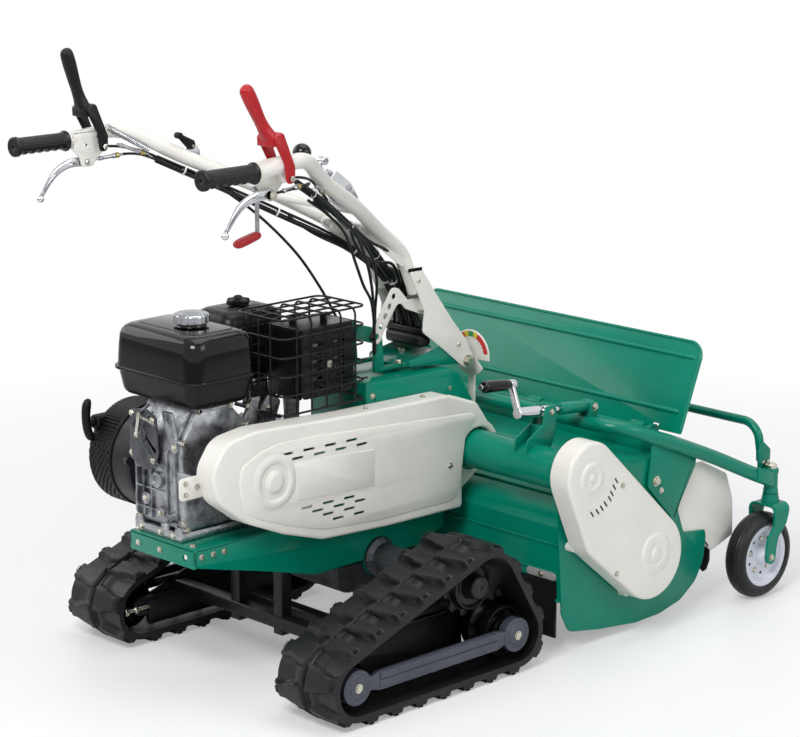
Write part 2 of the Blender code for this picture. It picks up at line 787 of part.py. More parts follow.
def build_recoil():
    """Round starter housing with a rope spout, and the pull handle at rest against it."""
    centre = (RECOIL_Y, CRANK_Z)
    start = ENGINE_LEFT_X - GAP
    end = start - RECOIL_DEPTH
    middle = start - 0.052
    outside = [(start, 0.0), (start, RECOIL_RADIUS - 0.006), (middle, RECOIL_RADIUS - 0.004),
               (middle - 0.002, RECOIL_RADIUS), (end + 0.020, RECOIL_RADIUS), (end, RECOIL_RADIUS - 0.026),
               (end, 0.034), (end + 0.006, 0.030), (end + 0.006, 0.0)]
    wall = 0.004
    inside = [(start + 0.004, 0.0), (start + 0.004, RECOIL_RADIUS - 0.006 - wall),
              (middle, RECOIL_RADIUS - 0.004 - wall), (end + 0.024, RECOIL_RADIUS - 0.001 - wall),
              (end + 0.010, RECOIL_RADIUS - 0.036), (end + 0.010, 0.0)]
    shell = cut(turned(outside, 0, centre, 16), [turned(inside, 0, centre, 16)])
    spout_x = start - 0.118
    spout = rod(1, RECOIL_Y - 0.092, RECOIL_Y - 0.056, (spout_x, CRANK_Z + 0.068), 0.014, 8)
    node("recoil_housing", joined([shell, spout]), SATIN_BLACK)
    rest = RECOIL_Y - 0.092 - GAP
    z = CRANK_Z + 0.068
    stem = rod(1, rest - 0.014, rest, (spout_x, z), 0.009, 8)
    grip = rounded([(rest - 0.026, z - 0.030, 0.006), (rest - 0.010, z - 0.034, 0.006),
                    (rest - 0.008, z + 0.044, 0.006),
                    (rest - 0.024, z + 0.048, 0.006)], 2)
    handle = joined([stem, prism(grip, 0, spout_x - 0.009, spout_x + 0.009)])
    node("recoil_handle", handle, BLACK, (spout_x, rest, z))


def build_tank():
    """Two pressed halves that meet at a rim, with a filler neck under the cap."""
    right = TANK_RIGHT_X
    rim_z = 0.610
    corner = 0.030

    def outline(grow):
        return rounded([(TANK_LEFT_X - grow, TANK_REAR_Y - grow, corner),
                        (right + grow, TANK_REAR_Y - grow, corner),
                        (right + grow, TANK_FRONT_Y + grow, corner),
                        (TANK_LEFT_X - grow, TANK_FRONT_Y + grow, corner)], 4)

    sections = [(TANK_BOTTOM, outline(-0.022)), (TANK_BOTTOM + 0.012, outline(-0.006)),
                (rim_z - 0.004, outline(-0.001)), (rim_z - 0.003, outline(0.005)),
                (rim_z + 0.003, outline(0.005)),
                (rim_z + 0.004, outline(0.0)), (TANK_TOP - 0.016, outline(-0.004)),
                (TANK_TOP - 0.004, outline(-0.012)), (TANK_TOP, outline(-0.026))]
    tank = loft(sections, 2)
    neck = rod(2, TANK_TOP - 0.004, TANK_TOP + 0.008, (CAP_X, CAP_Y), CAP_RADIUS - 0.010, 14)
    node("fuel_tank", joined([tank, neck]), BLACK)
    cap_low = TANK_TOP + 0.008 + GAP
    profile = [(cap_low, 0.0), (cap_low, CAP_RADIUS), (cap_low + 0.014, CAP_RADIUS),
               (cap_low + 0.018, CAP_RADIUS - 0.006), (cap_low + 0.022, 0.012), (cap_low + 0.022, 0.0)]
    node("fuel_cap", turned(profile, 2, (CAP_X, CAP_Y), 16), BLACK, (CAP_X, CAP_Y, cap_low))


def build_air_cleaner():
    (x0, y0, z0), (x1, y1, z1) = CLEANER_BOX

    def outline(grow):
        return rounded([(x0 - grow, y0 - grow, 0.022), (x1 + grow, y0 - grow, 0.022),
                        (x1 + grow, y1 + grow, 0.022), (x0 - grow, y1 + grow, 0.022)], 3)

    sections = [(z0, outline(-0.012)), (z0 + 0.040, outline(-0.004)), (z0 + 0.041, outline(0.0)),
                (z1 - 0.022, outline(-0.001)), (z1 - 0.006, outline(-0.010)), (z1, outline(-0.026))]
    node("air_cleaner", loft(sections, 2), SATIN_BLACK)
    x, y = (x0 + x1) / 2, (y0 + y1) / 2
    low = z1 + GAP
    wings = []
    for n in range(8):
        reach = 0.026 if n % 2 == 0 else 0.014
        wings += arc((x, y), reach, 45 * n - 12, 45 * n + 12, 1)
    hub = [(low, 0.0), (low, 0.013), (low + 0.020, 0.006), (low + 0.020, 0.0)]
    nut = joined([turned(hub, 2, (x, y), 10), prism(wings, 2, low + 0.003, low + 0.012)])
    node("air_cleaner_nut", nut, BLACK, (x, y, low))


def build_muffler():
    (x0, y0, z0), (x1, y1, z1) = MUFFLER_BOX
    outline = rounded([(x0, z0, 0.014), (x1, z0, 0.014), (x1, z1, 0.020), (x0, z1, 0.020)])
    case = prism(outline, 1, y0, y1)
    pieces = [case]
    for n in range(4):
        z = z0 + 0.030 + 0.024 * n
        pieces.append(box((x1 - 0.004, y0 + 0.014, z), (x1 + 0.003, y1 - 0.014, z + 0.008)))
    pieces.append(rod(1, y1 - 0.004, y1 + 0.006, (x0 + 0.030, z1 - 0.030), 0.012, 10))
    node("muffler", joined(pieces), SATIN_BLACK)
    node("muffler_guard", muffler_guard(), BLACK)


def muffler_guard():
    """Wire cage: level hoops, uprights, and rails over the top, held on the muffler's side."""
    (x0, y0, z0), (x1, y1, z1) = CAGE_BOX
    pieces = []
    levels = 5
    for n in range(levels):
        z = z0 + (z1 - z0 - WIRE) * n / (levels - 1)
        inner = [(x0 + WIRE, y0 + WIRE), (x1 - WIRE, y0 + WIRE), (x1 - WIRE, y1 - WIRE),
                 (x0 + WIRE, y1 - WIRE)]
        outer = [(x0, y0), (x1, y0), (x1, y1), (x0, y1)]
        pieces.append(hollow_loop(inner, outer, z, z + WIRE, 2))
    thin = WIRE * 0.8
    lap = WIRE * 0.1
    for n in range(2):
        y = y0 + 0.070 + (y1 - y0 - 0.140) * n
        pieces.append(box((x1 - WIRE - lap, y, z0 + 0.001), (x1 - lap, y + thin, z1 - 0.001)))
        pieces.append(box((x0 + lap, y, z1 - WIRE + lap), (x1 - lap * 2, y + thin, z1 - lap)))
    for x, y in ((x0 + 0.070, y0 + lap), (x0 + 0.070, y1 - WIRE + lap), (x0 + lap, y0 + 0.150)):
        pieces.append(box((x, y, z0 + 0.0012), (x + thin, y + thin, z1 - 0.0012)))
    foot = MUFFLER_BOX[1][0] + 0.003 + GAP
    z = z0 + (z1 - z0 - WIRE) * 1 / (levels - 1)
    for y in (y0 + 0.110, y0 + 0.170):
        pieces.append(box((foot, y, z + 0.0005), (x1 - WIRE / 2, y + 0.010, z + WIRE - 0.0005)))
    return joined(pieces)


# Drive to the knives

def pulley_profile(middle, radius, shaft, width=PULLEY_WIDTH):
    """Half profile of a grooved pulley on a shaft, from low x to high x."""
    half = width / 2
    lip = 0.0022
    groove = radius - GROOVE_DEPTH
    return [(middle - half, shaft), (middle - half, radius), (middle - half + lip, radius),
            (middle - half + lip, groove), (middle + half - lip, groove), (middle + half - lip, radius),
            (middle + half, radius), (middle + half, shaft)]


def build_drive():
    crank = [(ENGINE_RIGHT_X - 0.040, 0.0), (ENGINE_RIGHT_X - 0.040, CRANK_SHAFT_RADIUS)]
    crank += pulley_profile(BELT_PLANE_X, CRANK_PULLEY_RADIUS, CRANK_SHAFT_RADIUS)
    crank += [(BELT_PLANE_X + 0.014, CRANK_SHAFT_RADIUS), (BELT_PLANE_X + 0.014, 0.0)]
    node("crankshaft_pulley", turned(crank, 0, (CRANK_Y, CRANK_Z), 18), STEEL,
         (BELT_PLANE_X, CRANK_Y, CRANK_Z))

    jack = [(BELT_PLANE_X - 0.011, 0.0), (BELT_PLANE_X - 0.011, JACK_SHAFT_RADIUS)]
    jack += pulley_profile(BELT_PLANE_X, JACK_PULLEY_RADIUS, JACK_SHAFT_RADIUS)
    jack += pulley_profile(SIDE_PLANE_X, SIDE_JACK_PULLEY_RADIUS, JACK_SHAFT_RADIUS)
    jack += [(SIDE_PLANE_X + 0.012, JACK_SHAFT_RADIUS), (SIDE_PLANE_X + 0.012, 0.0)]
    node("jackshaft", turned(jack, 0, (JACK_Y, JACK_Z), 14), STEEL, (SIDE_PLANE_X, JACK_Y, JACK_Z))

    seat = GROOVE_DEPTH - 0.0015
    main = [(CRANK_Y, CRANK_Z, CRANK_PULLEY_RADIUS - seat), (JACK_Y, JACK_Z, JACK_PULLEY_RADIUS - seat)]
    node("drive_belt", flat_belt(main, BELT_PLANE_X), RUBBER)
    side = [(JACK_Y, JACK_Z, SIDE_JACK_PULLEY_RADIUS - seat),
            (ROTOR_Y, ROTOR_Z, ROTOR_PULLEY_RADIUS - seat)]
    node("side_belt", flat_belt(side, SIDE_PLANE_X), RUBBER)
    node("belt_cover", belt_cover(), WHITE)
    node("side_belt_cover", side_belt_cover(), WHITE)


def cover_shell(outline, inner_x, outer_x, edge, wall):
    """A pressed cover: a rim, a bevelled edge and a flat face, open on its inner side."""
    hollow = inset(outline, wall)
    rings = [(outer_x - wall, inset(hollow, edge)), (outer_x - 2 * edge - wall, hollow), (inner_x, hollow),
             (inner_x, outline), (outer_x - 2 * edge, outline), (outer_x, inset(outline, edge))]
    return loft(rings, 0)


def belt_cover_outline():
    """Long cover: round rear end, drooping belly, and a hood round the jackshaft pulley."""
    hood = JACK_TUBE_RADIUS + 0.020
    corners = [(-0.093, 0.395, 0.060), (-0.026, 0.345, 0.060), (0.062, 0.307, 0.060), (0.163, 0.275, 0.060),
               (0.330, 0.266, 0.060), (0.520, 0.262, 0.020)]
    corners += arc((JACK_Y, JACK_Z), hood, -60, 60, 6)
    corners += [(0.585, 0.476, 0.030), (0.500, 0.504, 0.040), (0.237, 0.510, 0.060), (0.000, 0.522, 0.080),
                (-0.075, 0.512, 0.050), (-0.116, 0.455, 0.050)]
    return rounded(corners, 2)


def belt_cover():
    shell = cover_shell(belt_cover_outline(), COVER_INNER_X, COVER_OUTER_X, 0.0036, COVER_WALL)
    tab = rounded([(-0.153, 0.405, 0.008), (-0.090, 0.405), (-0.090, 0.448), (-0.153, 0.448, 0.008)], 2)
    rib = prism(tab, 0, COVER_INNER_X + 0.0006, COVER_INNER_X + 0.0046)
    boss = turned([(COVER_OUTER_X - 0.0018, 0.0), (COVER_OUTER_X - 0.0018, 0.058),
                   (COVER_OUTER_X + 0.003, 0.052),
                   (COVER_OUTER_X + 0.006, 0.026), (COVER_OUTER_X + 0.006, 0.0)], 0, (CRANK_Y, CRANK_Z), 18)
    feet = [box((CHASSIS_HALF_WIDTH + GAP, y, low), (COVER_INNER_X + 0.0035, y + 0.030, low + 0.019))
            for y, low in ((0.250, 0.2706), (0.420, 0.2645))]
    arch = JACK_TUBE_RADIUS + 0.0045
    past = TUBE_START_X - 0.0035
    cuts = [rod(0, past, COVER_OUTER_X + 0.010, (JACK_Y, JACK_Z), arch, 22),
            box((past + 0.0004, JACK_Y - arch, 0.240),
                (COVER_OUTER_X + 0.010, JACK_Y + 0.100, JACK_Z + 0.012))]
    for start, z, count in ((0.055, 0.462, 4), (0.082, 0.449, 4), (0.104, 0.347, 3), (0.132, 0.335, 3),
                            (0.159, 0.323, 2), (0.185, 0.309, 2)):
        for n in range(count):
            y = start + 0.0555 * n
            low = z - 0.0012 * n
            cuts.append(box((COVER_OUTER_X - 0.010, y, low),
                            (COVER_OUTER_X + 0.010, y + 0.030, low + 0.0055)))
    return cut(joined([shell, rib, boss] + feet), cuts)


def side_cover_circles(shrink=0.0):
    return [(0.592, 0.380, 0.069 - shrink), (0.645, 0.268, 0.073 - shrink), (0.783, 0.174, 0.0885 - shrink)]


def side_belt_cover():
    edge = 0.008
    wall = COVER_WALL
    sections = ((SIDE_COVER_OUTER_X - wall, wall + edge), (SIDE_COVER_OUTER_X - edge - wall, wall),
                (SIDE_COVER_INNER_X, wall), (SIDE_COVER_INNER_X, 0.0), (SIDE_COVER_OUTER_X - edge, 0.0),
                (SIDE_COVER_OUTER_X, edge))
    shell = loft([(x, loop_outline(side_cover_circles(shrink), 0.0, 5)) for x, shrink in sections], 0)
    bosses = []
    for y, z, wide in ((JACK_Y, JACK_Z, 0.034), (ROTOR_Y, ROTOR_Z, 0.042)):
        profile = [(SIDE_COVER_OUTER_X - 0.002, 0.0), (SIDE_COVER_OUTER_X - 0.002, wide),
                   (SIDE_COVER_OUTER_X + 0.005, wide * 0.72), (SIDE_COVER_OUTER_X + 0.005, 0.0)]
        bosses.append(turned(profile, 0, (y, z), 16))
    for y, z in ((0.5929, 0.2243), (0.7319, 0.3373), (0.7544, 0.0955)):
        bosses.append(rod(0, DECK_HALF_WIDTH + GAP, SIDE_COVER_INNER_X + 0.004, (y, z), 0.009))
    slots = []
    for y, z in ((0.5924, 0.3033), (0.6076, 0.3059), (0.6203, 0.3104), (0.6313, 0.3168),
                 (0.6435, 0.3252), (0.6494, 0.3346), (0.6566, 0.3456), (0.6625, 0.3579)):
        slot = box((SIDE_COVER_OUTER_X - 0.010, -0.0022, -0.009),
                   (SIDE_COVER_OUTER_X + 0.010, 0.0022, 0.009))
        slot.data.transform(Matrix.Rotation(math.radians(38.6), 4, "X"))
        slots.append(moved(slot, Matrix.Translation((0, y, z))))
    return cut(joined([shell] + bosses), slots)


# Mower deck

def side_plate_outline(with_ear):
    """Outline of a deck side plate; the right one has an ear that carries the jackshaft tube."""
    skirt = rounded([(DECK_REAR_Y + 0.002, 0.085, 0.020), (0.600, 0.043, 0.02), (0.690, 0.027),
                     (0.803, 0.014), (0.880, 0.016, 0.03), (0.945, 0.030, 0.04), (0.995, 0.063, 0.04),
                     (1.018, 0.106, 0.04), (1.024, 0.150, 0.03), (1.021, 0.168, 0.006),
                     (0.950, 0.177, 0.02), (0.905, 0.300, 0.02),
                     (0.890, DECK_TOP - 0.006, 0.02), (0.790, DECK_TOP - 0.004)], 2)
    if with_ear:
        ear = JACK_TUBE_RADIUS + 0.012
        return skirt + [(0.660, JACK_Z + 0.022)] + arc((JACK_Y, JACK_Z), ear, 60, 200, 8) + [(0.562, 0.300)]
    return skirt + [(0.594, 0.274), (DECK_REAR_Y + 0.002, 0.262)]


def deck_sheet():
    """Folded sheet between the side plates: rear wall, sloping top and front lip."""
    rear = DECK_REAR_Y
    upper = [(rear, 0.110), (rear, 0.264), (rear + 0.012, 0.276), (0.775, 0.356), (0.905, DECK_TOP),
             (0.928, 0.330)]
    lower = [(0.9245, 0.328), (0.9025, DECK_TOP - DECK_PLATE), (0.776, 0.352), (rear + 0.014, 0.272),
             (rear + 0.004, 0.262), (rear + 0.004, 0.110)]
    span = DECK_HALF_WIDTH - DECK_PLATE / 2
    return prism(upper + lower, 0, -span, span)


def crank_bracket():
    """Two plates that stand on the jackshaft tube, with the crank's screw between them."""
    foot_z = JACK_Z + JACK_TUBE_RADIUS - 0.006
    outline = [(JACK_Y - 0.010, foot_z), (JACK_Y + 0.038, foot_z - 0.010), (JACK_Y + 0.054, 0.452),
               (JACK_Y + 0.054, 0.488), (JACK_Y + 0.025, 0.490), (JACK_Y + 0.025, 0.452),
               (JACK_Y - 0.004, 0.425)]
    return [prism(outline, 0, LINK_X - 0.018, LINK_X - 0.0135),
            prism(outline, 0, LINK_X + 0.0135, LINK_X + 0.018)]


def build_deck():
    inner = DECK_HALF_WIDTH - DECK_PLATE
    plates = [prism(side_plate_outline(False), 0, -DECK_HALF_WIDTH, -inner),
              prism(side_plate_outline(True), 0, inner, DECK_HALF_WIDTH)]
    tube_end = inner + 0.001
    jack_tube = rod(0, TUBE_START_X, tube_end, (JACK_Y, JACK_Z), JACK_TUBE_RADIUS, 18)
    tube_core = rod(0, TUBE_START_X + 0.008, inner - 0.020, (JACK_Y, JACK_Z),
                    JACK_TUBE_RADIUS - JACK_TUBE_WALL, 18)
    upstand = box((-0.355, 0.872, DECK_TOP - 0.002), (0.355, 0.876, DECK_TOP + 0.026))
    ears = []
    for x in (-FLAP_EAR_X, FLAP_EAR_X):
        ear = rounded([(0.870, DECK_TOP - 0.003), (0.916, DECK_TOP - 0.003),
                       (0.919, FLAP_HINGE_Z + 0.013, 0.012),
                       (0.891, FLAP_HINGE_Z + 0.013, 0.012), (0.870, DECK_TOP + 0.024)], 3)
        ears.append(prism(ear, 0, x - 0.003, x + 0.003))
    web = [(0.600, 0.2785), (0.640, 0.2955), (0.630, JACK_Z), (0.585, JACK_Z)]
    gussets = [prism(web, 0, x, x + 0.006) for x in (0.150, 0.240)]
    bearing = turned([(-DECK_HALF_WIDTH - 0.010, 0.030), (-DECK_HALF_WIDTH + 0.001, 0.042),
                      (-inner + 0.001, 0.042)], 0, (ROTOR_Y, ROTOR_Z), 16)
    shell = joined([deck_sheet()] + plates + [jack_tube, upstand,
                                              bearing] + gussets + ears + crank_bracket())
    holes = [tube_core]
    holes.append(bore(0, TUBE_START_X - 0.004, DECK_HALF_WIDTH + 0.004, (JACK_Y, JACK_Z),
                     JACK_SHAFT_RADIUS, 14))
    holes.append(bore(0, -DECK_HALF_WIDTH - 0.014, DECK_HALF_WIDTH + 0.014, (ROTOR_Y, ROTOR_Z),
                     ROTOR_STUB_RADIUS, 14))
    holes.append(bore(0, -FLAP_EAR_X - 0.006, FLAP_EAR_X + 0.006, (FLAP_HINGE_Y, FLAP_HINGE_Z),
                     FLAP_ROD_RADIUS, 10))
    for side in (-1, 1):
        holes.append(bore(0, side * (inner - 0.004), side * (DECK_HALF_WIDTH + 0.004),
                          (ARM_PIVOT_Y, ARM_PIVOT_Z),
                         ARM_BOLT_RADIUS, 10))
    node("deck_shell", cut(shell, holes), GREEN)
    node("knife_rotor", knife_rotor(), STEEL, (0, ROTOR_Y, ROTOR_Z))
    build_skirts()
    build_flap()
    build_guard_plates()


def knife_rotor():
    """Rotor tube on stub shafts with rows of hammer flails and the driven pulley."""
    drum_end = DECK_HALF_WIDTH - DECK_PLATE - 0.004
    profile = [(-DECK_HALF_WIDTH - 0.008, 0.0), (-DECK_HALF_WIDTH - 0.008, ROTOR_STUB_RADIUS),
               (-drum_end, ROTOR_STUB_RADIUS), (-drum_end, ROTOR_TUBE_RADIUS),
               (drum_end, ROTOR_TUBE_RADIUS),
               (drum_end, ROTOR_STUB_RADIUS)]
    profile += pulley_profile(SIDE_PLANE_X, ROTOR_PULLEY_RADIUS, ROTOR_STUB_RADIUS)
    profile += [(SIDE_PLANE_X + 0.010, ROTOR_STUB_RADIUS), (SIDE_PLANE_X + 0.010, 0.0)]
    drum = turned(profile, 0, (0, 0), 16)
    flails = []
    for row in range(FLAIL_ROWS):
        for n in range(FLAILS_PER_ROW):
            stagger = (row % 2 - 0.5) * 0.5
            x = 2 * drum_end * (n + 0.5 + stagger) / FLAILS_PER_ROW - drum_end
            shape = [(-0.011, ROTOR_TUBE_RADIUS - 0.004), (0.011, ROTOR_TUBE_RADIUS - 0.004),
                     (0.009, 0.085),
                     (0.024, FLAIL_REACH), (-0.012, FLAIL_REACH)]
            flail = prism(shape, 0, x - 0.011, x + 0.011)
            flail.data.transform(Matrix.Rotation(math.radians(90 * row + 12), 4, "X"))
            flails.append(flail)
    return moved(joined([drum] + flails), Matrix.Translation((0, ROTOR_Y, ROTOR_Z)))


def build_skirts():
    span = DECK_HALF_WIDTH - DECK_PLATE - 0.008
    rear_y = DECK_REAR_Y - GAP
    node("rear_rubber_flap", box((-span, rear_y - 0.005, 0.034), (span, rear_y, 0.150)), RUBBER)
    teeth = 13
    low, tip, high = 0.092, 0.062, 0.150
    outline = []
    front_span = DECK_HALF_WIDTH - DECK_PLATE - 0.0045
    for n in range(teeth):
        x = -front_span + 2 * front_span * n / teeth
        outline += [(x, low), (x + front_span / teeth, tip)]
    outline += [(front_span, low), (front_span, high), (-front_span, high)]
    y = 1.044
    skirt = prism(outline, 1, y, y + 0.006)
    bar = box((-front_span, y - 0.004, high - 0.012), (front_span, y + 0.010, high + 0.004))
    node("front_rubber_skirt", joined([skirt, bar]), RUBBER)


def build_flap():
    """Leaning deflector with a returned top, rounded corners and two pressed beads."""
    half = FLAP_HALF_WIDTH
    foot = 0.020
    corner = 0.036
    top = foot + FLAP_HEIGHT
    outline = rounded([(-half, foot, 0.004), (half, foot, 0.004), (half, top, corner),
                       (-half, top, corner)], 4)
    pieces = [prism(outline, 1, 0.0, FLAP_SHEET)]
    for z in (foot + 0.030, top - 0.034):
        bead = [(0.0008, z - 0.007), (-0.004, z - 0.003), (-0.004, z + 0.003), (0.0008, z + 0.007)]
        pieces.append(prism(bead, 0, -half + 0.010, half - 0.010))
    pieces.append(box((-half + corner, -0.008, top - 0.0034), (half - corner, 0.002, top - 0.0004)))
    for x in (-0.290, 0.0, 0.290):
        pieces.append(box((x - 0.018, 0.0006, -0.002), (x + 0.018, FLAP_SHEET - 0.0006, foot + 0.004)))
    panel = joined(pieces)
    panel.data.transform(Matrix.Rotation(-FLAP_LEAN, 4, "X"))
    rod_end = FLAP_EAR_X + 0.003
    hinge = rod(0, -rod_end, rod_end, (0, 0), FLAP_ROD_RADIUS, 8)
    flap = moved(joined([panel, hinge]), Matrix.Translation((0, FLAP_HINGE_Y, FLAP_HINGE_Z)))
    node("front_flap", flap, GREEN, (0, FLAP_HINGE_Y, FLAP_HINGE_Z))


def build_guard_plates():
    """White sector plates bolted inside the front of each deck side plate."""
    outline = rounded([(0.910, 0.183), (0.925, 0.150), (1.012, 0.150), (1.036, 0.124, 0.006),
                       (1.050, 0.115, 0.006), (1.118, 0.136, 0.006), (1.116, 0.215, 0.05),
                       (1.092, 0.277, 0.02), (1.010, 0.318), (0.985, 0.318)], 3)
    outer = DECK_HALF_WIDTH - DECK_PLATE - GAP
    for side, word in ((-1, "left"), (1, "right")):
        plate = prism(outline, 0, side * (outer - 0.004), side * outer)
        node(word + "_guard_plate", plate, WHITE)


# Wheel arm, guard bar, casters and height crank

def arm_route(side):
    """Centre line of the cross tube's end and the arm down to the spindle sleeve."""
    half = DECK_HALF_WIDTH
    return [(side * (half - 0.084), CROSS_TUBE_Y, CROSS_TUBE_Z),
            (side * (half - 0.046), CROSS_TUBE_Y + 0.006, CROSS_TUBE_Z),
            (side * (half - 0.014), CROSS_TUBE_Y + 0.034, 0.424), (side * (half + 0.004), 0.838, 0.404),
            (side * (half + 0.012), 0.905, 0.378),
            (side * (half + 0.020), 1.020, 0.329), (side * (SPINDLE_X - 0.003), 1.120, 0.281),
            (side * SPINDLE_X, SPINDLE_Y, 0.249)]


def build_wheel_arm():
    right = smooth(arm_route(1), 2)
    left = smooth(arm_route(-1), 2)
    pieces = [tube(list(reversed(left)) + right, CROSS_TUBE_RADIUS, 8)]
    for side in (-1, 1):
        outline = rounded([(0.838, 0.400), (0.979, 0.345), (0.975, 0.318), (0.912, 0.222, 0.006),
                           (0.905, 0.218, 0.006),
                           (0.826, 0.300, 0.006)], 2)
        inner = side * ARM_PLATE_X
        pieces.append(prism(outline, 0, inner, inner + side * ARM_PLATE))
        bolt_start = side * (DECK_HALF_WIDTH - DECK_PLATE - 0.002)
        bolt_end = side * (ARM_PLATE_X + 0.003)
        pieces.append(rod(0, bolt_start, bolt_end, (ARM_PIVOT_Y, ARM_PIVOT_Z), ARM_BOLT_RADIUS))
        pieces.append(rod(2, SLEEVE_BOTTOM, SLEEVE_TOP, (side * SPINDLE_X, SPINDLE_Y), SLEEVE_RADIUS, 14))
    for x in (LINK_X - 0.0145, LINK_X + 0.0095):
        lug = rounded([(LINK_PIN_Y - 0.016, CROSS_TUBE_Z + 0.004),
                       (LINK_PIN_Y + 0.004, CROSS_TUBE_Z + 0.002),
                       (LINK_PIN_Y + 0.012, LINK_PIN_Z + 0.011, 0.010),
                       (LINK_PIN_Y - 0.012, LINK_PIN_Z + 0.011, 0.010)], 3)
        pieces.append(prism(lug, 0, x, x + 0.005))
    pin = rod(0, LINK_X - 0.0165, LINK_X + 0.0165, (LINK_PIN_Y, LINK_PIN_Z), LINK_PIN_RADIUS, 8)
    arm = joined(pieces + [pin])
    holes = [bore(2, SLEEVE_BOTTOM - 0.004, SLEEVE_TOP + 0.004, (side * SPINDLE_X, SPINDLE_Y),
                 SPINDLE_RADIUS, 10) for side in (-1, 1)]
    node("wheel_arm", cut(arm, holes), GREEN, (0, ARM_PIVOT_Y, ARM_PIVOT_Z))
    build_guard_bar()
    for side, word in ((-1, "left"), (1, "right")):
        build_caster(side, word)
    build_crank()


def build_guard_bar():
    """Round bar across the front, its legs on plates bolted beside the spindle sleeves."""
    top = SPINDLE_X - 0.075
    leg_x = SPINDLE_X - 0.0275
    route = [(-leg_x, GUARD_BAR_Y, 0.292), (-leg_x, GUARD_BAR_Y, 0.328)]
    route += [(-x, GUARD_BAR_Y, z) for x, z in arc((top, 0.325), 0.043, 10, 80, 4)]
    route.append((-top + 0.010, GUARD_BAR_Y, GUARD_BAR_Z))
    route += [(-x, y, z) for x, y, z in reversed(route)]
    bar = tube(route, GUARD_BAR_RADIUS, 8)
    pieces = [bar]
    outer = SPINDLE_X - SLEEVE_RADIUS - GAP
    for side in (-1, 1):
        outline = rounded([(GUARD_BAR_Y - 0.018, 0.250, 0.006), (GUARD_BAR_Y + 0.018, 0.250, 0.006),
                           (GUARD_BAR_Y + 0.020, 0.312, 0.006), (GUARD_BAR_Y - 0.006, 0.330, 0.006),
                           (GUARD_BAR_Y - 0.020, 0.312, 0.006)], 2)
        pieces.append(prism(outline, 0, side * (outer - 0.005), side * outer))
    node("front_guard_bar", joined(pieces), GREEN)


def build_caster(side, word):
    """Fork on a vertical spindle, and a wheel that trails behind it."""
    x = side * SPINDLE_X
    axle_y = SPINDLE_Y - TRAIL
    axle_z = TYRE_RADIUS
    bridge_top = 0.2035
    spindle = [(bridge_top - 0.001, 0.0), (bridge_top - 0.001, 0.020), (SLEEVE_BOTTOM - GAP, 0.020),
               (SLEEVE_BOTTOM - GAP, SPINDLE_RADIUS), (SLEEVE_TOP + GAP, SPINDLE_RADIUS),
               (SLEEVE_TOP + GAP, 0.0125), (SLEEVE_TOP + 0.010, 0.0125), (SLEEVE_TOP + 0.010, 0.0)]
    pieces = [turned(spindle, 2, (x, SPINDLE_Y), 12)]
    outer = FORK_INNER + FORK_PLATE
    bridge = rounded([(x - outer, SPINDLE_Y - 0.026, 0.008), (x + outer, SPINDLE_Y - 0.026, 0.008),
                      (x + outer, SPINDLE_Y + 0.022, 0.008), (x - outer, SPINDLE_Y + 0.022, 0.008)], 2)
    pieces.append(prism(bridge, 2, bridge_top - 0.007, bridge_top))
    for way in (-1, 1):
        leg = [(SPINDLE_Y - 0.025, bridge_top - 0.002), (axle_y - 0.016, axle_z + 0.040)]
        leg += arc((axle_y, axle_z), 0.016, 180, 360, 5)
        leg += [(axle_y + 0.017, axle_z + 0.030), (SPINDLE_Y + 0.021, bridge_top - 0.045),
                (SPINDLE_Y + 0.021, bridge_top - 0.002)]
        pieces.append(prism(leg, 0, x + way * FORK_INNER, x + way * (outer - 0.0004)))
    head = outer + 0.004
    seat = outer - 0.001
    bolt = [(x - head, 0.0), (x - head, 0.010), (x - seat, 0.010), (x - seat, CASTER_AXLE_RADIUS),
            (x + seat, CASTER_AXLE_RADIUS), (x + seat, 0.010), (x + head, 0.010), (x + head, 0.0)]
    pieces.append(turned(bolt, 0, (axle_y, axle_z), 10))
    node(word + "_caster_fork", joined(pieces), GREEN, (x, SPINDLE_Y, SLEEVE_TOP))

    hole = clear_radius(CASTER_AXLE_RADIUS, WHEEL_SIDES)
    rim_half = TYRE_WIDTH / 2 - 0.003
    profile = [(x - HUB_HALF_WIDTH, hole), (x - HUB_HALF_WIDTH, 0.016), (x - 0.006, 0.020),
               (x - 0.004, 0.052),
               (x - rim_half, RIM_RADIUS), (x + rim_half, RIM_RADIUS), (x + 0.004, 0.052),
               (x + 0.006, 0.020),
               (x + HUB_HALF_WIDTH, 0.016), (x + HUB_HALF_WIDTH, hole)]
    wheel = turned(profile, 0, (axle_y, axle_z), WHEEL_SIDES, closed=True)
    node(word + "_caster_wheel", wheel, WHITE, (x, axle_y, axle_z))
    half = TYRE_WIDTH / 2
    seat = RIM_RADIUS + GAP
    profile = [(x - half + 0.001, seat), (x - half, seat + 0.012), (x - half + 0.004, TYRE_RADIUS - 0.007),
               (x - half + 0.013, TYRE_RADIUS), (x + half - 0.013, TYRE_RADIUS),
               (x + half - 0.004, TYRE_RADIUS - 0.007),
               (x + half, seat + 0.012), (x + half - 0.001, seat)]
    tyre = turned(profile, 0, (axle_y, axle_z), WHEEL_SIDES, closed=True)
    node(word + "_caster_tyre", tyre, RUBBER, (x, axle_y, axle_z))


def link_frame():
    """Places what is built along y about the link pin on the sloping line of the crank."""
    return Matrix.Translation((LINK_X, LINK_PIN_Y, LINK_PIN_Z)) @ Matrix.Rotation(LINK_SLOPE, 4, "X")


def crank_frame():
    """The link's frame, turned about the screw to where the crank is left at rest."""
    return link_frame() @ Matrix.Rotation(CRANK_REST, 4, "Y")


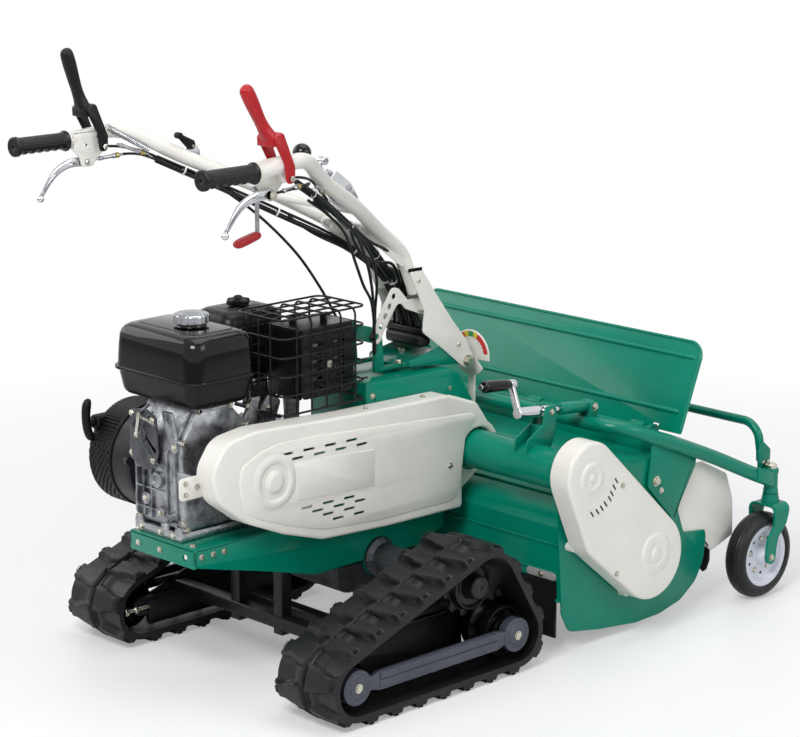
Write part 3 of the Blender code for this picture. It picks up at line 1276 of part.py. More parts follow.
def build_crank():
    """Crank with its screw, the spinning knob, and the link the screw pushes."""
    frame = link_frame()
    turn = crank_frame()
    hub_rear = -0.216
    hub_front = -0.153
    crank = [(hub_rear, 0.0), (hub_rear, 0.012), (hub_front, 0.012), (hub_front, SCREW_RADIUS),
             (-0.142, SCREW_RADIUS), (-0.142, 0.0105), (-0.124, 0.0105), (-0.124, SCREW_RADIUS),
             (-0.071, SCREW_RADIUS), (-0.071, 0.0)]
    arm = rounded([(-0.0102, 0.0013, 0), (0.0102, 0.0013, 0), (0.0087, CRANK_THROW + 0.009, 0.008),
                   (-0.0087, CRANK_THROW + 0.009, 0.008)], 3)
    pin_end = hub_rear - KNOB_LENGTH - 0.006
    pin = [(pin_end, 0.0), (pin_end, 0.006), (pin_end + 0.003, 0.006), (pin_end + 0.003, 0.004),
           (hub_rear + 0.004, 0.004),
           (hub_rear + 0.004, 0.0)]
    body = joined([turned(crank, 1, (0, 0), 14), prism(arm, 1, hub_rear + 0.001, hub_rear + 0.010),
                   turned(pin, 1, (0, CRANK_THROW), 8)])
    node("height_crank", moved(body, turn), STEEL, turn @ Vector((0, hub_rear, 0)))
    knob_front = hub_rear + 0.001 - GAP
    knob_rear = knob_front - KNOB_LENGTH + 0.002
    hole = clear_radius(0.004, 14)
    profile = [(knob_rear, hole), (knob_rear, KNOB_RADIUS - 0.003), (knob_rear + 0.004, KNOB_RADIUS),
               (knob_front - 0.030, KNOB_RADIUS), (knob_front, KNOB_RADIUS - 0.004), (knob_front, hole)]
    knob = moved(turned(profile, 1, (0, CRANK_THROW), 14, closed=True), turn)
    node("crank_knob", knob, BLACK, turn @ Vector((0, knob_front, CRANK_THROW)))

    link = rod(1, -LINK_LENGTH, -0.025, (0, 0), LINK_RADIUS, 14)
    eye = rod(0, -0.009, 0.009, (0, 0), 0.012, 14)
    neck = box((-0.0088, -0.027, -0.008), (0.0088, 0.002, 0.008))
    shaft = joined([link, neck, eye])
    bores = [bore(1, -LINK_LENGTH - 0.004, -0.030, (0, 0), SCREW_RADIUS, 10),
             bore(0, -0.014, 0.014, (0, 0), LINK_PIN_RADIUS, 10)]
    node("height_link", moved(cut(shaft, bores), frame), GREEN, (LINK_X, LINK_PIN_Y, LINK_PIN_Z))


# Handle

def build_column_base():
    """Green housing over the transmission: a folded box open below, with a turntable boss."""
    half = COLUMN_BASE_HALF_WIDTH
    top = [(0.328, 0.546), (0.335, 0.548), (0.565, 0.540, 0.010), (0.588, 0.528, 0.010),
           (0.643, 0.440, 0.010),
           (0.643, CHASSIS_TOP + GAP + 0.040), (0.546, CHASSIS_TOP + GAP), (0.328, CHASSIS_TOP + GAP)]
    outline = list(reversed(rounded(top, 2)))
    outer = prism(outline, 0, -half, half)
    inner = prism(inset(outline, 0.004), 0, -half + 0.004, half - 0.004)
    mouth = box((-half + 0.004, 0.333, CHASSIS_TOP - 0.004), (half - 0.004, 0.530, CHASSIS_TOP + 0.010))
    boss = turned([(0.530, 0.0), (0.530, 0.050), (TURRET_Z - GAP, 0.050), (TURRET_Z - GAP, 0.0)], 2,
                  (0, TURRET_Y), 18)
    base = cut(outer, [inner, mouth])
    node("column_base", joined([base, boss]), GREEN)
    build_gauge()


def build_gauge():
    """Fan-shaped slope dial on a stem in front of the housing, with a hanging pendulum."""
    x, z = GAUGE_X, GAUGE_Z
    front = 0.672
    wall_y = 0.643 + GAP
    fan = arc((x, z), GAUGE_RADIUS, -8, 188, 14)
    fan += [(x - 0.014, z - 0.008), (x - 0.010, z - 0.046), (x + 0.010, z - 0.046), (x + 0.014, z - 0.008)]
    plate = prism(fan, 1, front - 0.003, front)
    post = box((x - 0.009, front - 0.0006, z - 0.1195), (x + 0.009, front + 0.003, z - 0.020))
    stem = box((x - 0.0088, wall_y, z - 0.120), (x + 0.0088, front + 0.0025, z - 0.116))
    pad = box((x - 0.0098, wall_y, z - 0.140), (x + 0.0098, wall_y + 0.003, z - 0.1165))
    pin = rod(1, front - 0.010, front - 0.001, (x, z), 0.0025, 10)
    node("slope_gauge", joined([plate, stem, post, pad, pin]), WHITE)
    face = front - 0.003 - GAP
    sector = arc((x, z), 0.044, 235, 305, 8) + arc((x, z), 0.006, 20, 160, 4)
    pin_hole = bore(1, face - 0.006, face + 0.002, (x, z), 0.0025, 10)
    node("slope_pendulum", cut(prism(sector, 1, face - 0.002, face), [pin_hole]), STEEL, (x, face, z))


def build_turret():
    """Turntable disc with two ears for the tilt bolt and a post with the height pin."""
    disc = rod(2, TURRET_Z, TURRET_Z + 0.010, (0, TURRET_Y), TURRET_RADIUS, 18)
    inner = COLUMN_HALF_WIDTH - COLUMN_PLATE - GAP
    pieces = [disc]
    for side in (-1, 1):
        ear = rounded([(TURRET_Y - 0.030, TURRET_Z + 0.002), (TURRET_Y + 0.110, TURRET_Z - 0.014, 0.006),
                       (TILT_Y + 0.012, TILT_Z - 0.012, 0.010), (TILT_Y + 0.012, TILT_Z + 0.012, 0.010),
                       (TURRET_Y + 0.060, TURRET_Z + 0.030), (TURRET_Y - 0.030, TURRET_Z + 0.012)], 3)
        pieces.append(prism(ear, 0, side * (inner - 0.005), side * inner))
    pieces.append(box((-inner + 0.002, TURRET_Y + 0.030, TURRET_Z + 0.0005),
                      (inner - 0.002, TURRET_Y + 0.098, TURRET_Z + 0.0095)))
    bolt_end = COLUMN_HALF_WIDTH + 0.006
    pieces.append(rod(0, -bolt_end, bolt_end, (TILT_Y, TILT_Z), TILT_BOLT_RADIUS, 10))
    post_x = HOLE_PLATE_X - GAP
    arm = prism([(TURRET_Y - 0.110, TURRET_Z + 0.0006), (TURRET_Y - 0.030, TURRET_Z + 0.0006),
                 (TURRET_Y - 0.030, TURRET_Z + 0.0094), (TURRET_Y - 0.085, TURRET_Z + 0.0094),
                 (TURRET_Y - 0.092, 0.645), (TURRET_Y - 0.110, 0.645)], 0, post_x - 0.010, post_x)
    pieces.append(arm)
    node("handle_turret", joined(pieces), GREEN, (0, TURRET_Y, TURRET_Z))


def column_outline():
    """Side view of a column plate: bar clamp at the top, waist, and the eye of the tilt bolt."""
    return rounded([(0.463, 0.754, 0.004), (0.500, 0.752, 0.006), (0.535, 0.703), (0.582, 0.641),
                    (0.627, 0.588, 0.010),
                    (0.650, 0.545, 0.010), (0.632, 0.524, 0.010), (0.606, 0.541, 0.010),
                    (0.563, 0.576, 0.004),
                    (0.503, 0.621, 0.004), (0.508, 0.663, 0.004), (0.490, 0.701)][::-1], 2)


def build_column():
    """Two shaped plates tied by a front web, with the five-hole adjusting plate."""
    outer = COLUMN_HALF_WIDTH
    inner = outer - COLUMN_PLATE
    pieces = [prism(column_outline(), 0, side * inner, side * outer) for side in (-1, 1)]
    web = [(0.500, 0.7505), (0.535, 0.7015), (0.582, 0.6395), (0.618, 0.592), (0.614, 0.590),
           (0.578, 0.637),
           (0.531, 0.699), (0.4965, 0.7475)]
    pieces.append(prism(web, 0, -inner - 0.001, inner + 0.001))
    plate = rounded([(0.521, 0.652), (0.521, 0.688), (0.476, 0.690), (0.452, 0.716, 0.010),
                     (0.434, 0.722, 0.010),
                     (0.382, 0.644), (0.376, 0.618, 0.012), (0.398, 0.606, 0.012), (0.408, 0.630),
                     (0.452, 0.692),
                     (0.470, 0.672)], 2)
    pieces.append(prism(plate, 0, HOLE_PLATE_X, HOLE_PLATE_X + 0.004))
    pieces.append(box((HOLE_PLATE_X + 0.001, 0.507, 0.664), (inner + 0.001, 0.518, 0.684)))
    frame = joined(pieces)
    holes = []
    for n in range(5):
        share = n / 4
        y = 0.438 + (0.391 - 0.438) * share
        z = 0.702 + (0.627 - 0.702) * share
        holes.append(rod(0, HOLE_PLATE_X - 0.002, HOLE_PLATE_X + 0.006, (y, z), 0.0062, 8))
    holes.append(bore(0, -outer - 0.004, outer + 0.004, (TILT_Y, TILT_Z), TILT_BOLT_RADIUS, 10))
    node("handle_column", cut(frame, holes), WHITE, (0, TILT_Y, TILT_Z))


def bar_route(side):
    """Centre line of a handle tube from the column up and back to the grip."""
    return [(side * 0.0457, 0.497, 0.704), (side * 0.0457, 0.4745, 0.755), (side * 0.048, 0.452, 0.793),
            (side * 0.070, 0.370, 0.850), (side * 0.130, CROSS_ROD_Y - 0.012, CROSS_ROD_Z + 0.014),
            (side * 0.200, 0.110, 0.990),
            (side * 0.245, 0.040, 1.032), (side * 0.266, 0.000, 1.045), (side * 0.273, -0.035, 1.045),
            (side * GRIP_X, GRIP_FRONT_Y + 0.0035, GRIP_Z + 0.0005)]


def build_handlebar():
    """Two tubes, the ties between them, and brackets for every lever."""
    pieces = []
    near = STEER_X - 0.0095
    for side in (-1, 1):
        pieces.append(tube(smooth(bar_route(side), 2), BAR_RADIUS, 8))
        pieces.append(rod(1, GRIP_REAR_Y + 0.005, GRIP_FRONT_Y + 0.010, (side * GRIP_X, GRIP_Z), 0.0115,
                          10))
        bracket = [(-0.110, 1.044), (-0.030, 1.048), (-0.036, 1.020), (-0.066, 0.984), (-0.090, 0.984),
                   (-0.096, 1.002), (-0.110, 1.019)]
        pieces.append(prism(bracket, 0, side * near, side * (near + 0.006)))
        pieces.append(rod(0, side * (near + 0.001), side * (near + 0.022), (STEER_Y, STEER_Z),
                          PIVOT_RADIUS, 8))
        reach = LEVER_HALF_GAP + LEVER_CHEEK + 0.003
        pieces.append(rod(0, side * (LEVER_X - reach), side * (LEVER_X + reach), (CLUTCH_Y, CLUTCH_Z),
                          PIVOT_RADIUS, 8))
        lug = [(CLUTCH_Y - 0.008, CLUTCH_Z - 0.009), (CLUTCH_Y + 0.008, CLUTCH_Z - 0.009),
               (CLUTCH_Y + 0.012, 1.040), (CLUTCH_Y - 0.012, 1.040)]
        pieces.append(prism(lug, 0, side * (LEVER_X - 0.008), side * (LEVER_X + 0.010)))
    tie = [(0.352, 0.8625), (0.352, 0.8585), (0.452, 0.7985), (0.452, 0.8025)]
    pieces.append(prism(tie, 0, -0.058, 0.058))
    pieces.append(rod(0, -0.124, 0.124, (CROSS_ROD_Y, CROSS_ROD_Z), CROSS_ROD_RADIUS, 8))
    pod = [(0.112, 0.985), (0.150, 0.965), (0.150, 1.000), (0.135, 1.018), (0.120, 1.018)]
    pieces.append(prism(pod, 0, THROTTLE_X - 0.006, THROTTLE_X))
    pieces.append(rod(0, THROTTLE_X - 0.004, THROTTLE_X + 0.008, (THROTTLE_Y, THROTTLE_Z), 0.003, 10))
    pieces.append(rod(0, LOCK_X - 0.006, near + 0.002, (LOCK_Y, LOCK_Z), 0.0035, 10))
    node("handlebar", joined(pieces), WHITE)
    for side, word in ((-1, "left"), (1, "right")):
        outer = [(GRIP_FRONT_Y, 0.0), (GRIP_FRONT_Y, 0.020), (GRIP_FRONT_Y - 0.004, 0.020),
                 (GRIP_FRONT_Y - 0.006, GRIP_RADIUS), (GRIP_REAR_Y + 0.010, GRIP_RADIUS),
                 (GRIP_REAR_Y + 0.008, 0.019),
                 (GRIP_REAR_Y, 0.018), (GRIP_REAR_Y, 0.0)]
        centre = (side * GRIP_X, GRIP_Z)
        socket = bore(1, GRIP_REAR_Y + 0.0045, GRIP_FRONT_Y + 0.010, centre, 0.0115, 10)
        node(word + "_grip", cut(turned(outer, 1, centre, 10), [socket]), RUBBER)


def build_levers():
    build_clutch_lever("drive_clutch_lever", -1, (-0.117, 1.213), BLACK)
    build_clutch_lever("knife_clutch_lever", 1, (-0.135, 1.190), RED)
    for side, word in ((-1, "left"), (1, "right")):
        build_steering_lever(side, word)
    build_gear_lever()
    build_throttle()
    build_lock_lever()


def build_steering_lever(side, word):
    """Flat curved lever with a round eye and a ball end, hung under the grip's bracket."""
    near = STEER_X - 0.0095 + 0.006 + GAP
    line = smooth([(0, -0.002, 0.002), (0, -0.034, 0.006), (0, -0.064, -0.008), (0, -0.090, -0.034),
                   (0, -0.104, -0.060)], 2)
    upper = [(STEER_Y + p.y, STEER_Z + p.z + 0.0055) for p in line]
    lower = [(y + 0.001, z - 0.011) for y, z in upper]
    blade = prism(upper + lower[::-1], 0, side * near, side * (near + 0.008))
    eye = rod(0, side * near, side * (near + 0.0078), (STEER_Y, STEER_Z), 0.0105, 12)
    tip = (side * (near + 0.004), upper[-1][0] + 0.001, upper[-1][1] - 0.006)
    ball = moved(turned(ball_profile(0.0, 0.008), 2, (0, 0), 8), Matrix.Translation(tip))
    hole = bore(0, side * (near - 0.004), side * (near + 0.012), (STEER_Y, STEER_Z), PIVOT_RADIUS, 8)
    node(word + "_steering_lever", cut(joined([blade, eye, ball]), [hole]), STEEL,
         (side * near, STEER_Y, STEER_Z))


def build_clutch_lever(name, side, tip, finish):
    """Two cheeks that straddle the handle tube, a web over it, and a long blade."""
    knee_y, knee_z = CLUTCH_Y - 0.030, CLUTCH_Z + 0.062
    middle = side * LEVER_X
    half = LEVER_HALF_GAP
    outline = rounded([(CLUTCH_Y - 0.011, CLUTCH_Z - 0.011, 0.010),
                       (CLUTCH_Y + 0.011, CLUTCH_Z - 0.011, 0.010),
                       (CLUTCH_Y + 0.013, CLUTCH_Z + 0.020), (knee_y + 0.014, knee_z + 0.022),
                       (knee_y - 0.012, knee_z + 0.014), (CLUTCH_Y - 0.018, CLUTCH_Z + 0.024)], 3)
    pieces = [prism(outline, 0, middle + way * half, middle + way * (half + LEVER_CHEEK)) for way in (-1,
                                                                                                      1)]
    web = [(knee_y - 0.008, knee_z + 0.004), (knee_y + 0.014, knee_z + 0.004),
           (knee_y + 0.0135, knee_z + 0.021),
           (knee_y - 0.0115, knee_z + 0.0135)]
    pieces.append(prism(web, 0, middle - half - 0.001, middle + half + 0.001))
    start = Vector((knee_y + 0.001, knee_z + 0.012))
    end = Vector(tip)
    along = (end - start).normalized()
    across = Vector((-along.y, along.x))
    end -= along * 0.0125
    heading = math.degrees(math.atan2(along.y, along.x))
    blade = [tuple(start + across * 0.011), tuple(start.lerp(end, 0.4) + across * 0.011)]
    blade += arc(tuple(end), 0.0125, heading + 90, heading - 90, 6)
    blade += [tuple(start.lerp(end, 0.4) - across * 0.010), tuple(start - across * 0.011)]
    pieces.append(prism(blade, 0, middle - 0.010, middle + 0.010))
    hole = bore(0, middle - 0.040, middle + 0.040, (CLUTCH_Y, CLUTCH_Z), PIVOT_RADIUS, 8)
    node(name, cut(joined(pieces), [hole]), finish, (middle, CLUTCH_Y, CLUTCH_Z))


def build_gear_lever():
    """Gear lever with a ball, swinging on the rod between the handle tubes."""
    x = 0.048
    pivot = (x, CROSS_ROD_Y, CROSS_ROD_Z)
    stalk = tube([(x, CROSS_ROD_Y - 0.006, CROSS_ROD_Z + 0.010), (x, 0.240, 0.955),
                  (x + 0.002, 0.198, 1.006)],
                 0.005, 8)
    eye = rod(0, x - 0.008, x + 0.008, pivot[1:], 0.014, 12)
    ball = moved(turned(ball_profile(0.0, 0.018), 2, (0, 0), 12),
                 Matrix.Translation((x + 0.002, 0.194, 1.016)))
    hole = bore(0, x - 0.012, x + 0.012, pivot[1:], CROSS_ROD_RADIUS, 8)
    node("gear_shift_lever", cut(joined([eye, stalk, ball]), [hole]), BLACK, pivot)


def build_throttle():
    """Thumb lever on the left tube."""
    x = THROTTLE_X + GAP
    outline = rounded([(THROTTLE_Y + 0.008, THROTTLE_Z - 0.007, 0.006),
                       (THROTTLE_Y + 0.008, THROTTLE_Z + 0.009, 0.006),
                       (THROTTLE_Y - 0.030, THROTTLE_Z + 0.027), (THROTTLE_Y - 0.034, THROTTLE_Z + 0.019),
                       (THROTTLE_Y - 0.008, THROTTLE_Z - 0.007, 0.004)], 2)
    plate = prism(outline, 0, x, x + 0.004)
    knob = rod(0, x - 0.006, x + 0.010, (THROTTLE_Y - 0.032, THROTTLE_Z + 0.023), 0.0065, 10)
    hole = bore(0, x - 0.004, x + 0.010, (THROTTLE_Y, THROTTLE_Z), 0.003, 10)
    node("throttle_lever", cut(joined([plate, knob]), [hole]), BLACK, (x, THROTTLE_Y, THROTTLE_Z))


def build_lock_lever():
    """Hanging rod with a paddle that frees the handle for turning."""
    x, y, z = LOCK_X, LOCK_Y, LOCK_Z
    stalk = rod(2, z - 0.088, z - 0.006, (x, y + 0.002), 0.004, 8)
    eye = rod(0, x - 0.005, x + 0.005, (y, z), 0.0085, 8)
    paddle = rounded([(y - 0.052, z - 0.107, 0.005), (y + 0.008, z - 0.093, 0.004),
                      (y + 0.008, z - 0.079, 0.004),
                      (y - 0.052, z - 0.093, 0.005)], 2)
    hole = bore(0, x - 0.008, x + 0.008, (y, z), 0.0035, 10)
    lever = cut(joined([eye, stalk, prism(paddle, 0, x - 0.009, x + 0.009)]), [hole])
    node("handle_lock_lever", lever, RED, (x, y, z))


def build_cables():
    """Cable bundles under both handle tubes, and a hanging loop, gathered in one clamp."""
    pieces = []
    for side in (-1, 1):
        route = smooth([(side * 0.205, 0.045, 0.992), (side * 0.165, 0.150, 0.938),
                        (side * 0.104, 0.265, 0.874),
                        (side * 0.046, 0.370, 0.812), (side * 0.013, 0.450, 0.748),
                        (side * 0.012, 0.498, 0.680),
                        (side * 0.011, 0.524, 0.615)], 2)
        pieces.append(tube(route, CABLE_RADIUS, 6))
    reach = COLUMN_HALF_WIDTH - COLUMN_PLATE - GAP
    pieces.append(box((-reach, 0.512, 0.610), (reach, 0.534, 0.624)))
    loop = smooth([(0.108, 0.262, 0.872), (0.082, 0.300, 0.832), (0.066, 0.345, 0.792),
                   (0.048, 0.400, 0.776),
                   (0.028, 0.455, 0.760), (0.014, 0.494, 0.700)], 3)
    pieces.append(tube(loop, 0.0035, 5))
    node("control_cables", joined(pieces), RUBBER)


def build_mower():
    for old in list(bpy.data.objects):
        bpy.data.objects.remove(old)
    build_undercarriage()
    build_chassis()
    build_engine()
    build_drive()
    build_deck()
    build_wheel_arm()
    build_column_base()
    build_turret()
    build_column()
    build_handlebar()
    build_levers()
    build_cables()


build_mower()
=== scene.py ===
# Tracked hammer knife mower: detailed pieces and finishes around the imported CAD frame.
# Metres. Pieces are drawn with y measured from the rear idlers, and make() moves them back.
import math
import bmesh
import bpy
import numpy as np
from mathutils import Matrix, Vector
from mathutils.geometry import tessellate_polygon


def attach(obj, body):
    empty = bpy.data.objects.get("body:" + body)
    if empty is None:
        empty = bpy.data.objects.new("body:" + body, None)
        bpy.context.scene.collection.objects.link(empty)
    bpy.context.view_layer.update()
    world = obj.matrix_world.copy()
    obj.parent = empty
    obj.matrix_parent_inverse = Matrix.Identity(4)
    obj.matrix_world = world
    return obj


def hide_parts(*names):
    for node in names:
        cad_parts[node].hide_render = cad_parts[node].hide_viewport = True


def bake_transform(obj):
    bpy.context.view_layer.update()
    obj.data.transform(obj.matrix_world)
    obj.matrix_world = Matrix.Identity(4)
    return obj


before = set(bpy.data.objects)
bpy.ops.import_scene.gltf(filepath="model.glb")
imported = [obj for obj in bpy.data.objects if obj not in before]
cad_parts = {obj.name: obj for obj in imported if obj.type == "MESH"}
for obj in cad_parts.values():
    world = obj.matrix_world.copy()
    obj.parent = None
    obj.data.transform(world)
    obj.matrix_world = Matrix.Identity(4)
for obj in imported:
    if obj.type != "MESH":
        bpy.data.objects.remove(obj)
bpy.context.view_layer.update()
setBack = .505      # the drawing's y = 0 lies this far behind the middle of the machine


# Outlines and paths

def arcPoints(centre, radius, start, end, steps=12):      # degrees, anticlockwise
    turn = np.radians(np.linspace(start, end, steps + 1))
    return np.stack([centre[0] + radius * np.cos(turn), centre[1] + radius * np.sin(turn)], 1)


def roundedOutline(corners, steps=6):      # (u, v, radius) corners, each drawn as an arc tangent to its sides
    drawn = []
    for i, corner in enumerate(corners):
        here = np.array(corner[:2], float)
        radius = corner[2] if len(corner) > 2 else 0
        if radius == 0:
            drawn.append(here[None])
            continue
        back = np.array(corners[i - 1][:2]) - here
        ahead = np.array(corners[(i + 1) % len(corners)][:2]) - here
        back /= np.linalg.norm(back)
        ahead /= np.linalg.norm(ahead)
        half = math.acos(np.clip(back @ ahead, -1, 1)) / 2
        middle = (back + ahead) / np.linalg.norm(back + ahead)
        centre = here + middle * radius / math.sin(half)
        first = here + back * radius / math.tan(half) - centre
        last = here + ahead * radius / math.tan(half) - centre
        turn = math.atan2(first[0] * last[1] - first[1] * last[0], first @ last)
        t = np.linspace(0, turn, steps + 1)[:, None]
        drawn.append(centre + np.hstack([first[0] * np.cos(t) - first[1] * np.sin(t),
                first[0] * np.sin(t) + first[1] * np.cos(t)]))
    return np.vstack(drawn)


def roundedBox(low, high, corner, steps=3):      # a rectangle between two (u, v) corners, its corners rounded
    (u0, v0), (u1, v1) = low, high
    return roundedOutline([(u0, v0, corner), (u1, v0, corner), (u1, v1, corner), (u0, v1, corner)], steps)


def turnedPlaces(points, degrees, centre):      # (u, v) points turned about the origin, then moved to a centre
    u, v = np.asarray(points, float).T
    c, s = math.cos(math.radians(degrees)), math.sin(math.radians(degrees))
    return np.stack([centre[0] + u * c - v * s, centre[1] + u * s + v * c], 1)


def roundThe(centre, radius, start, count):      # places equally spaced round a circle, from `start` degrees
    return arcPoints(centre, radius, start, start + 360, count)[:-1]


def bore(centre, radius):      # one round hole, as a list of outlines
    return [arcPoints(centre, radius, 0, 345, 23)]


def splineThrough(points, perSpan=8):      # each span is the Catmull-Rom cubic through its two ends
    p = np.asarray(points, float)
    p = np.vstack([2 * p[0] - p[1], p, 2 * p[-1] - p[-2]])
    t = np.linspace(0, 1, perSpan, endpoint=False)[:, None, None]
    a, b, c, d = p[:-3], p[1:-2], p[2:-1], p[3:]
    spans = .5 * (2 * b + (c - a) * t + (2 * a - 5 * b + 4 * c - d) * t ** 2 + (3 * b - a - 3 * c + d) * t ** 3)
    return np.vstack([spans.transpose(1, 0, 2).reshape(-1, p.shape[1]), p[-2:-1]])


def anticlockwise(outline):      # reversed if its area, by the shoelace sum, is negative
    outline = np.asarray(outline, float)
    u, v = outline.T
    area = (u * np.roll(v, -1) - v * np.roll(u, -1)).sum()
    return outline if area > 0 else outline[::-1]


def insetOutline(outline, distance):      # every corner moves in along the middle of its two sides' normals
    here = anticlockwise(outline)
    before = here - np.roll(here, 1, 0)
    after = np.roll(here, -1, 0) - here
    before /= np.linalg.norm(before, axis=1)[:, None]
    after /= np.linalg.norm(after, axis=1)[:, None]
    normal = np.stack([-after[:, 1], after[:, 0]], 1)
    middle = normal + np.stack([-before[:, 1], before[:, 0]], 1)
    middle /= np.linalg.norm(middle, axis=1)[:, None]
    return here + middle * (distance / np.maximum((middle * normal).sum(1), .35))[:, None]


def beltHeadings(circles):      # the outward angle where the belt leaves each (u, v, radius) circle
    found = []
    for (u1, v1, r1), (u2, v2, r2) in zip(circles, circles[1:] + circles[:1]):
        found.append(math.atan2(v2 - v1, u2 - u1) - math.acos((r1 - r2) / math.hypot(u2 - u1, v2 - v1)))
    return found


def beltLoop(circles, grow=0.0, steps=10):      # the tight outline round (u, v, radius) circles, anticlockwise
    heading = beltHeadings(circles)
    parts = []
    for i, (u, v, r) in enumerate(circles):
        turn = (heading[i] - heading[i - 1]) % (2 * math.pi)
        start = math.degrees(heading[i - 1])
        parts.append(arcPoints((u, v), r + grow, start, start + math.degrees(turn), steps))
    return np.vstack(parts)


# Forms: each is (points, faces, which paint)

def onAxis(axis, along, u, v):      # `along` goes on the axis, u and v on the other two in x, y, z order
    along, u, v = np.broadcast_arrays(along, u, v)
    return np.stack(((along, u, v), (u, along, v), (u, v, along))[axis], -1)


def gridForm(grid, roundU=False, roundV=True, paint=0, poles=(False, False)):
    # a surface of steps along u and round v; open ends are closed by a flat face or drawn to a pole
    nu, nv = grid.shape[:2]
    index = np.arange(nu * nv).reshape(nu, nv)
    if poles[0]:
        index[0] = index[0, 0]
    if poles[1]:
        index[-1] = index[-1, 0]
    below = index if roundU else index[:-1]
    above = np.roll(index, -1, 0) if roundU else index[1:]
    if roundV:
        quads = np.stack([below, np.roll(below, -1, 1), np.roll(above, -1, 1), above], -1)
    else:
        quads = np.stack([below[:, :-1], below[:, 1:], above[:, 1:], above[:, :-1]], -1)
    faces = [list(dict.fromkeys(face)) for face in quads.reshape(-1, 4).tolist()]
    if roundV and not roundU:
        faces += [index[end].tolist() for end, pole in ((0, poles[0]), (-1, poles[1])) if not pole]
    return [(grid.reshape(-1, 3), faces, paint)]


def turnedPoints(along, radius, axis, centre, sides):      # a radius at each place along an axis, taken round it
    turn = np.arange(sides) * 2 * np.pi / sides
    return onAxis(axis, along, centre[0] + radius * np.cos(turn), centre[1] + radius * np.sin(turn))


def turnedForm(profile, axis, centre, sides=40, paint=0):      # (along, radius) pairs turned about an axis
    profile = np.array([corner[:2] for corner in profile], float)
    poles = (profile[0, 1] == 0, profile[-1, 1] == 0)
    return gridForm(turnedPoints(profile[:, :1], profile[:, 1:], axis, centre, sides), paint=paint, poles=poles)


def softTurned(corners, axis, centre, sides=40, paint=0):      # rounded corners, its ends closed to the axis
    profile = [(corners[0][0], 0), *corners, (corners[-1][0], 0)]
    return turnedForm(roundedOutline(profile, 4), axis, centre, sides, paint)


def rodForm(start, end, radius, axis, centre, sides=40, paint=0, soft=0):      # a plain round bar
    return softTurned([(start, radius, soft), (end, radius, soft)], axis, centre, sides, paint)


def ringForm(corners, axis, centre, sides=48, paint=0):      # a closed profile turned into a ring
    profile = roundedOutline(corners, 4)
    return gridForm(turnedPoints(profile[:, :1], profile[:, 1:], axis, centre, sides), roundU=True, paint=paint)


def pathFrames(path):      # two unit vectors across a path, carried along it without twist
    step = np.gradient(path, axis=0)
    step /= np.linalg.norm(step, axis=1)[:, None]
    side = np.zeros_like(path)
    start = np.cross(step[0], (0, 0, 1) if abs(step[0][2]) < .9 else (1, 0, 0))
    for i, ahead in enumerate(step):
        start = start - ahead * (start @ ahead)
        start /= np.linalg.norm(start)
        side[i] = start
    return side, np.cross(step, side)


def sweptForm(path, radius, sides=20, paint=0):      # a circle, or a circle of changing radius, along a path
    path = np.asarray(path, float)
    side, up = pathFrames(path)
    radius = np.broadcast_to(radius, len(path))[:, None, None]
    turn = np.arange(sides) * 2 * np.pi / sides
    ring = side[:, None] * np.cos(turn)[None, :, None] + up[:, None] * np.sin(turn)[None, :, None]
    return gridForm(path[:, None] + ring * radius, paint=paint)


def pressedForm(outline, rings, holes=(), holeRings=None, axis=0, paint=0):
    # an outline carried through (inset, along) rings from one flat face to the other, with holes through both
    loops = [anticlockwise(loop) for loop in (outline, *holes)]
    loops = [loop[np.linalg.norm(loop - np.roll(loop, 1, 0), axis=1) > 1e-7] for loop in loops]      # no point twice
    holeRings = holeRings or [(0.0, rings[0][1]), (0.0, rings[-1][1])]
    points, faces, firsts, lasts = [], [], [], []
    total = 0
    for k, loop in enumerate(loops):
        count = len(loop)
        levels = rings if k == 0 else holeRings
        for inset, along in levels:
            drawn = insetOutline(loop, inset) if inset else loop
            points.append(onAxis(axis, along, drawn[:, 0], drawn[:, 1]))
        index = total + np.arange(len(levels) * count).reshape(len(levels), count)
        quads = np.stack([index[:-1], np.roll(index[:-1], -1, 1), np.roll(index[1:], -1, 1), index[1:]], -1)
        faces += quads.reshape(-1, 4).tolist()
        firsts.append(index[0])
        lasts.append(index[-1])
        total += len(levels) * count
    points = np.vstack(points)
    u, v = [k for k in range(3) if k != axis]
    for ends in (firsts, lasts):
        flat = np.concatenate(ends)
        if len(ends) == 1:
            faces.append(flat.tolist())
            continue
        loopsFlat = [[Vector((points[i][u], points[i][v], 0)) for i in end] for end in ends]
        faces += [[int(flat[i]) for i in triangle] for triangle in tessellate_polygon(loopsFlat)]
    return [(points, faces, paint)]


def plateForm(outline, start, end, axis=0, soft=.0008, holes=(), paint=0):      # a plate with rounded edges
    low, high = min(start, end), max(start, end)
    soft = min(soft, (high - low) * .45)
    edge = [(soft, low), (soft * .3, low + soft * .3), (0.0, low + soft), (0.0, high - soft),
            (soft * .3, high - soft * .3), (soft, high)]
    lip = [(-.0004, low), (0.0, low + .0004), (0.0, high - .0004), (-.0004, high)]
    return pressedForm(outline, edge, holes, lip, axis, paint)


def blockForm(low, high, soft=.001, corner=.002, axis=0, paint=0):
    # a box with rounded edges, its outline across `axis`
    u, v = [k for k in range(3) if k != axis]
    outline = roundedBox((low[u], low[v]), (high[u], high[v]), corner)
    return plateForm(outline, low[axis], high[axis], axis, soft, paint=paint)


def wireForm(path, radius, sides=8, paint=0):      # a closed wire loop
    path = np.asarray(path, float)
    step = np.roll(path, -1, 0) - np.roll(path, 1, 0)
    step /= np.linalg.norm(step, axis=1)[:, None]
    up = np.array((0.0, 0.0, 1.0))
    side = np.cross(step, up)
    turn = np.arange(sides) * 2 * np.pi / sides
    ring = side[:, None] * np.cos(turn)[None, :, None] + up * np.sin(turn)[None, :, None]
    return gridForm(path[:, None] + ring * radius, roundU=True, paint=paint)


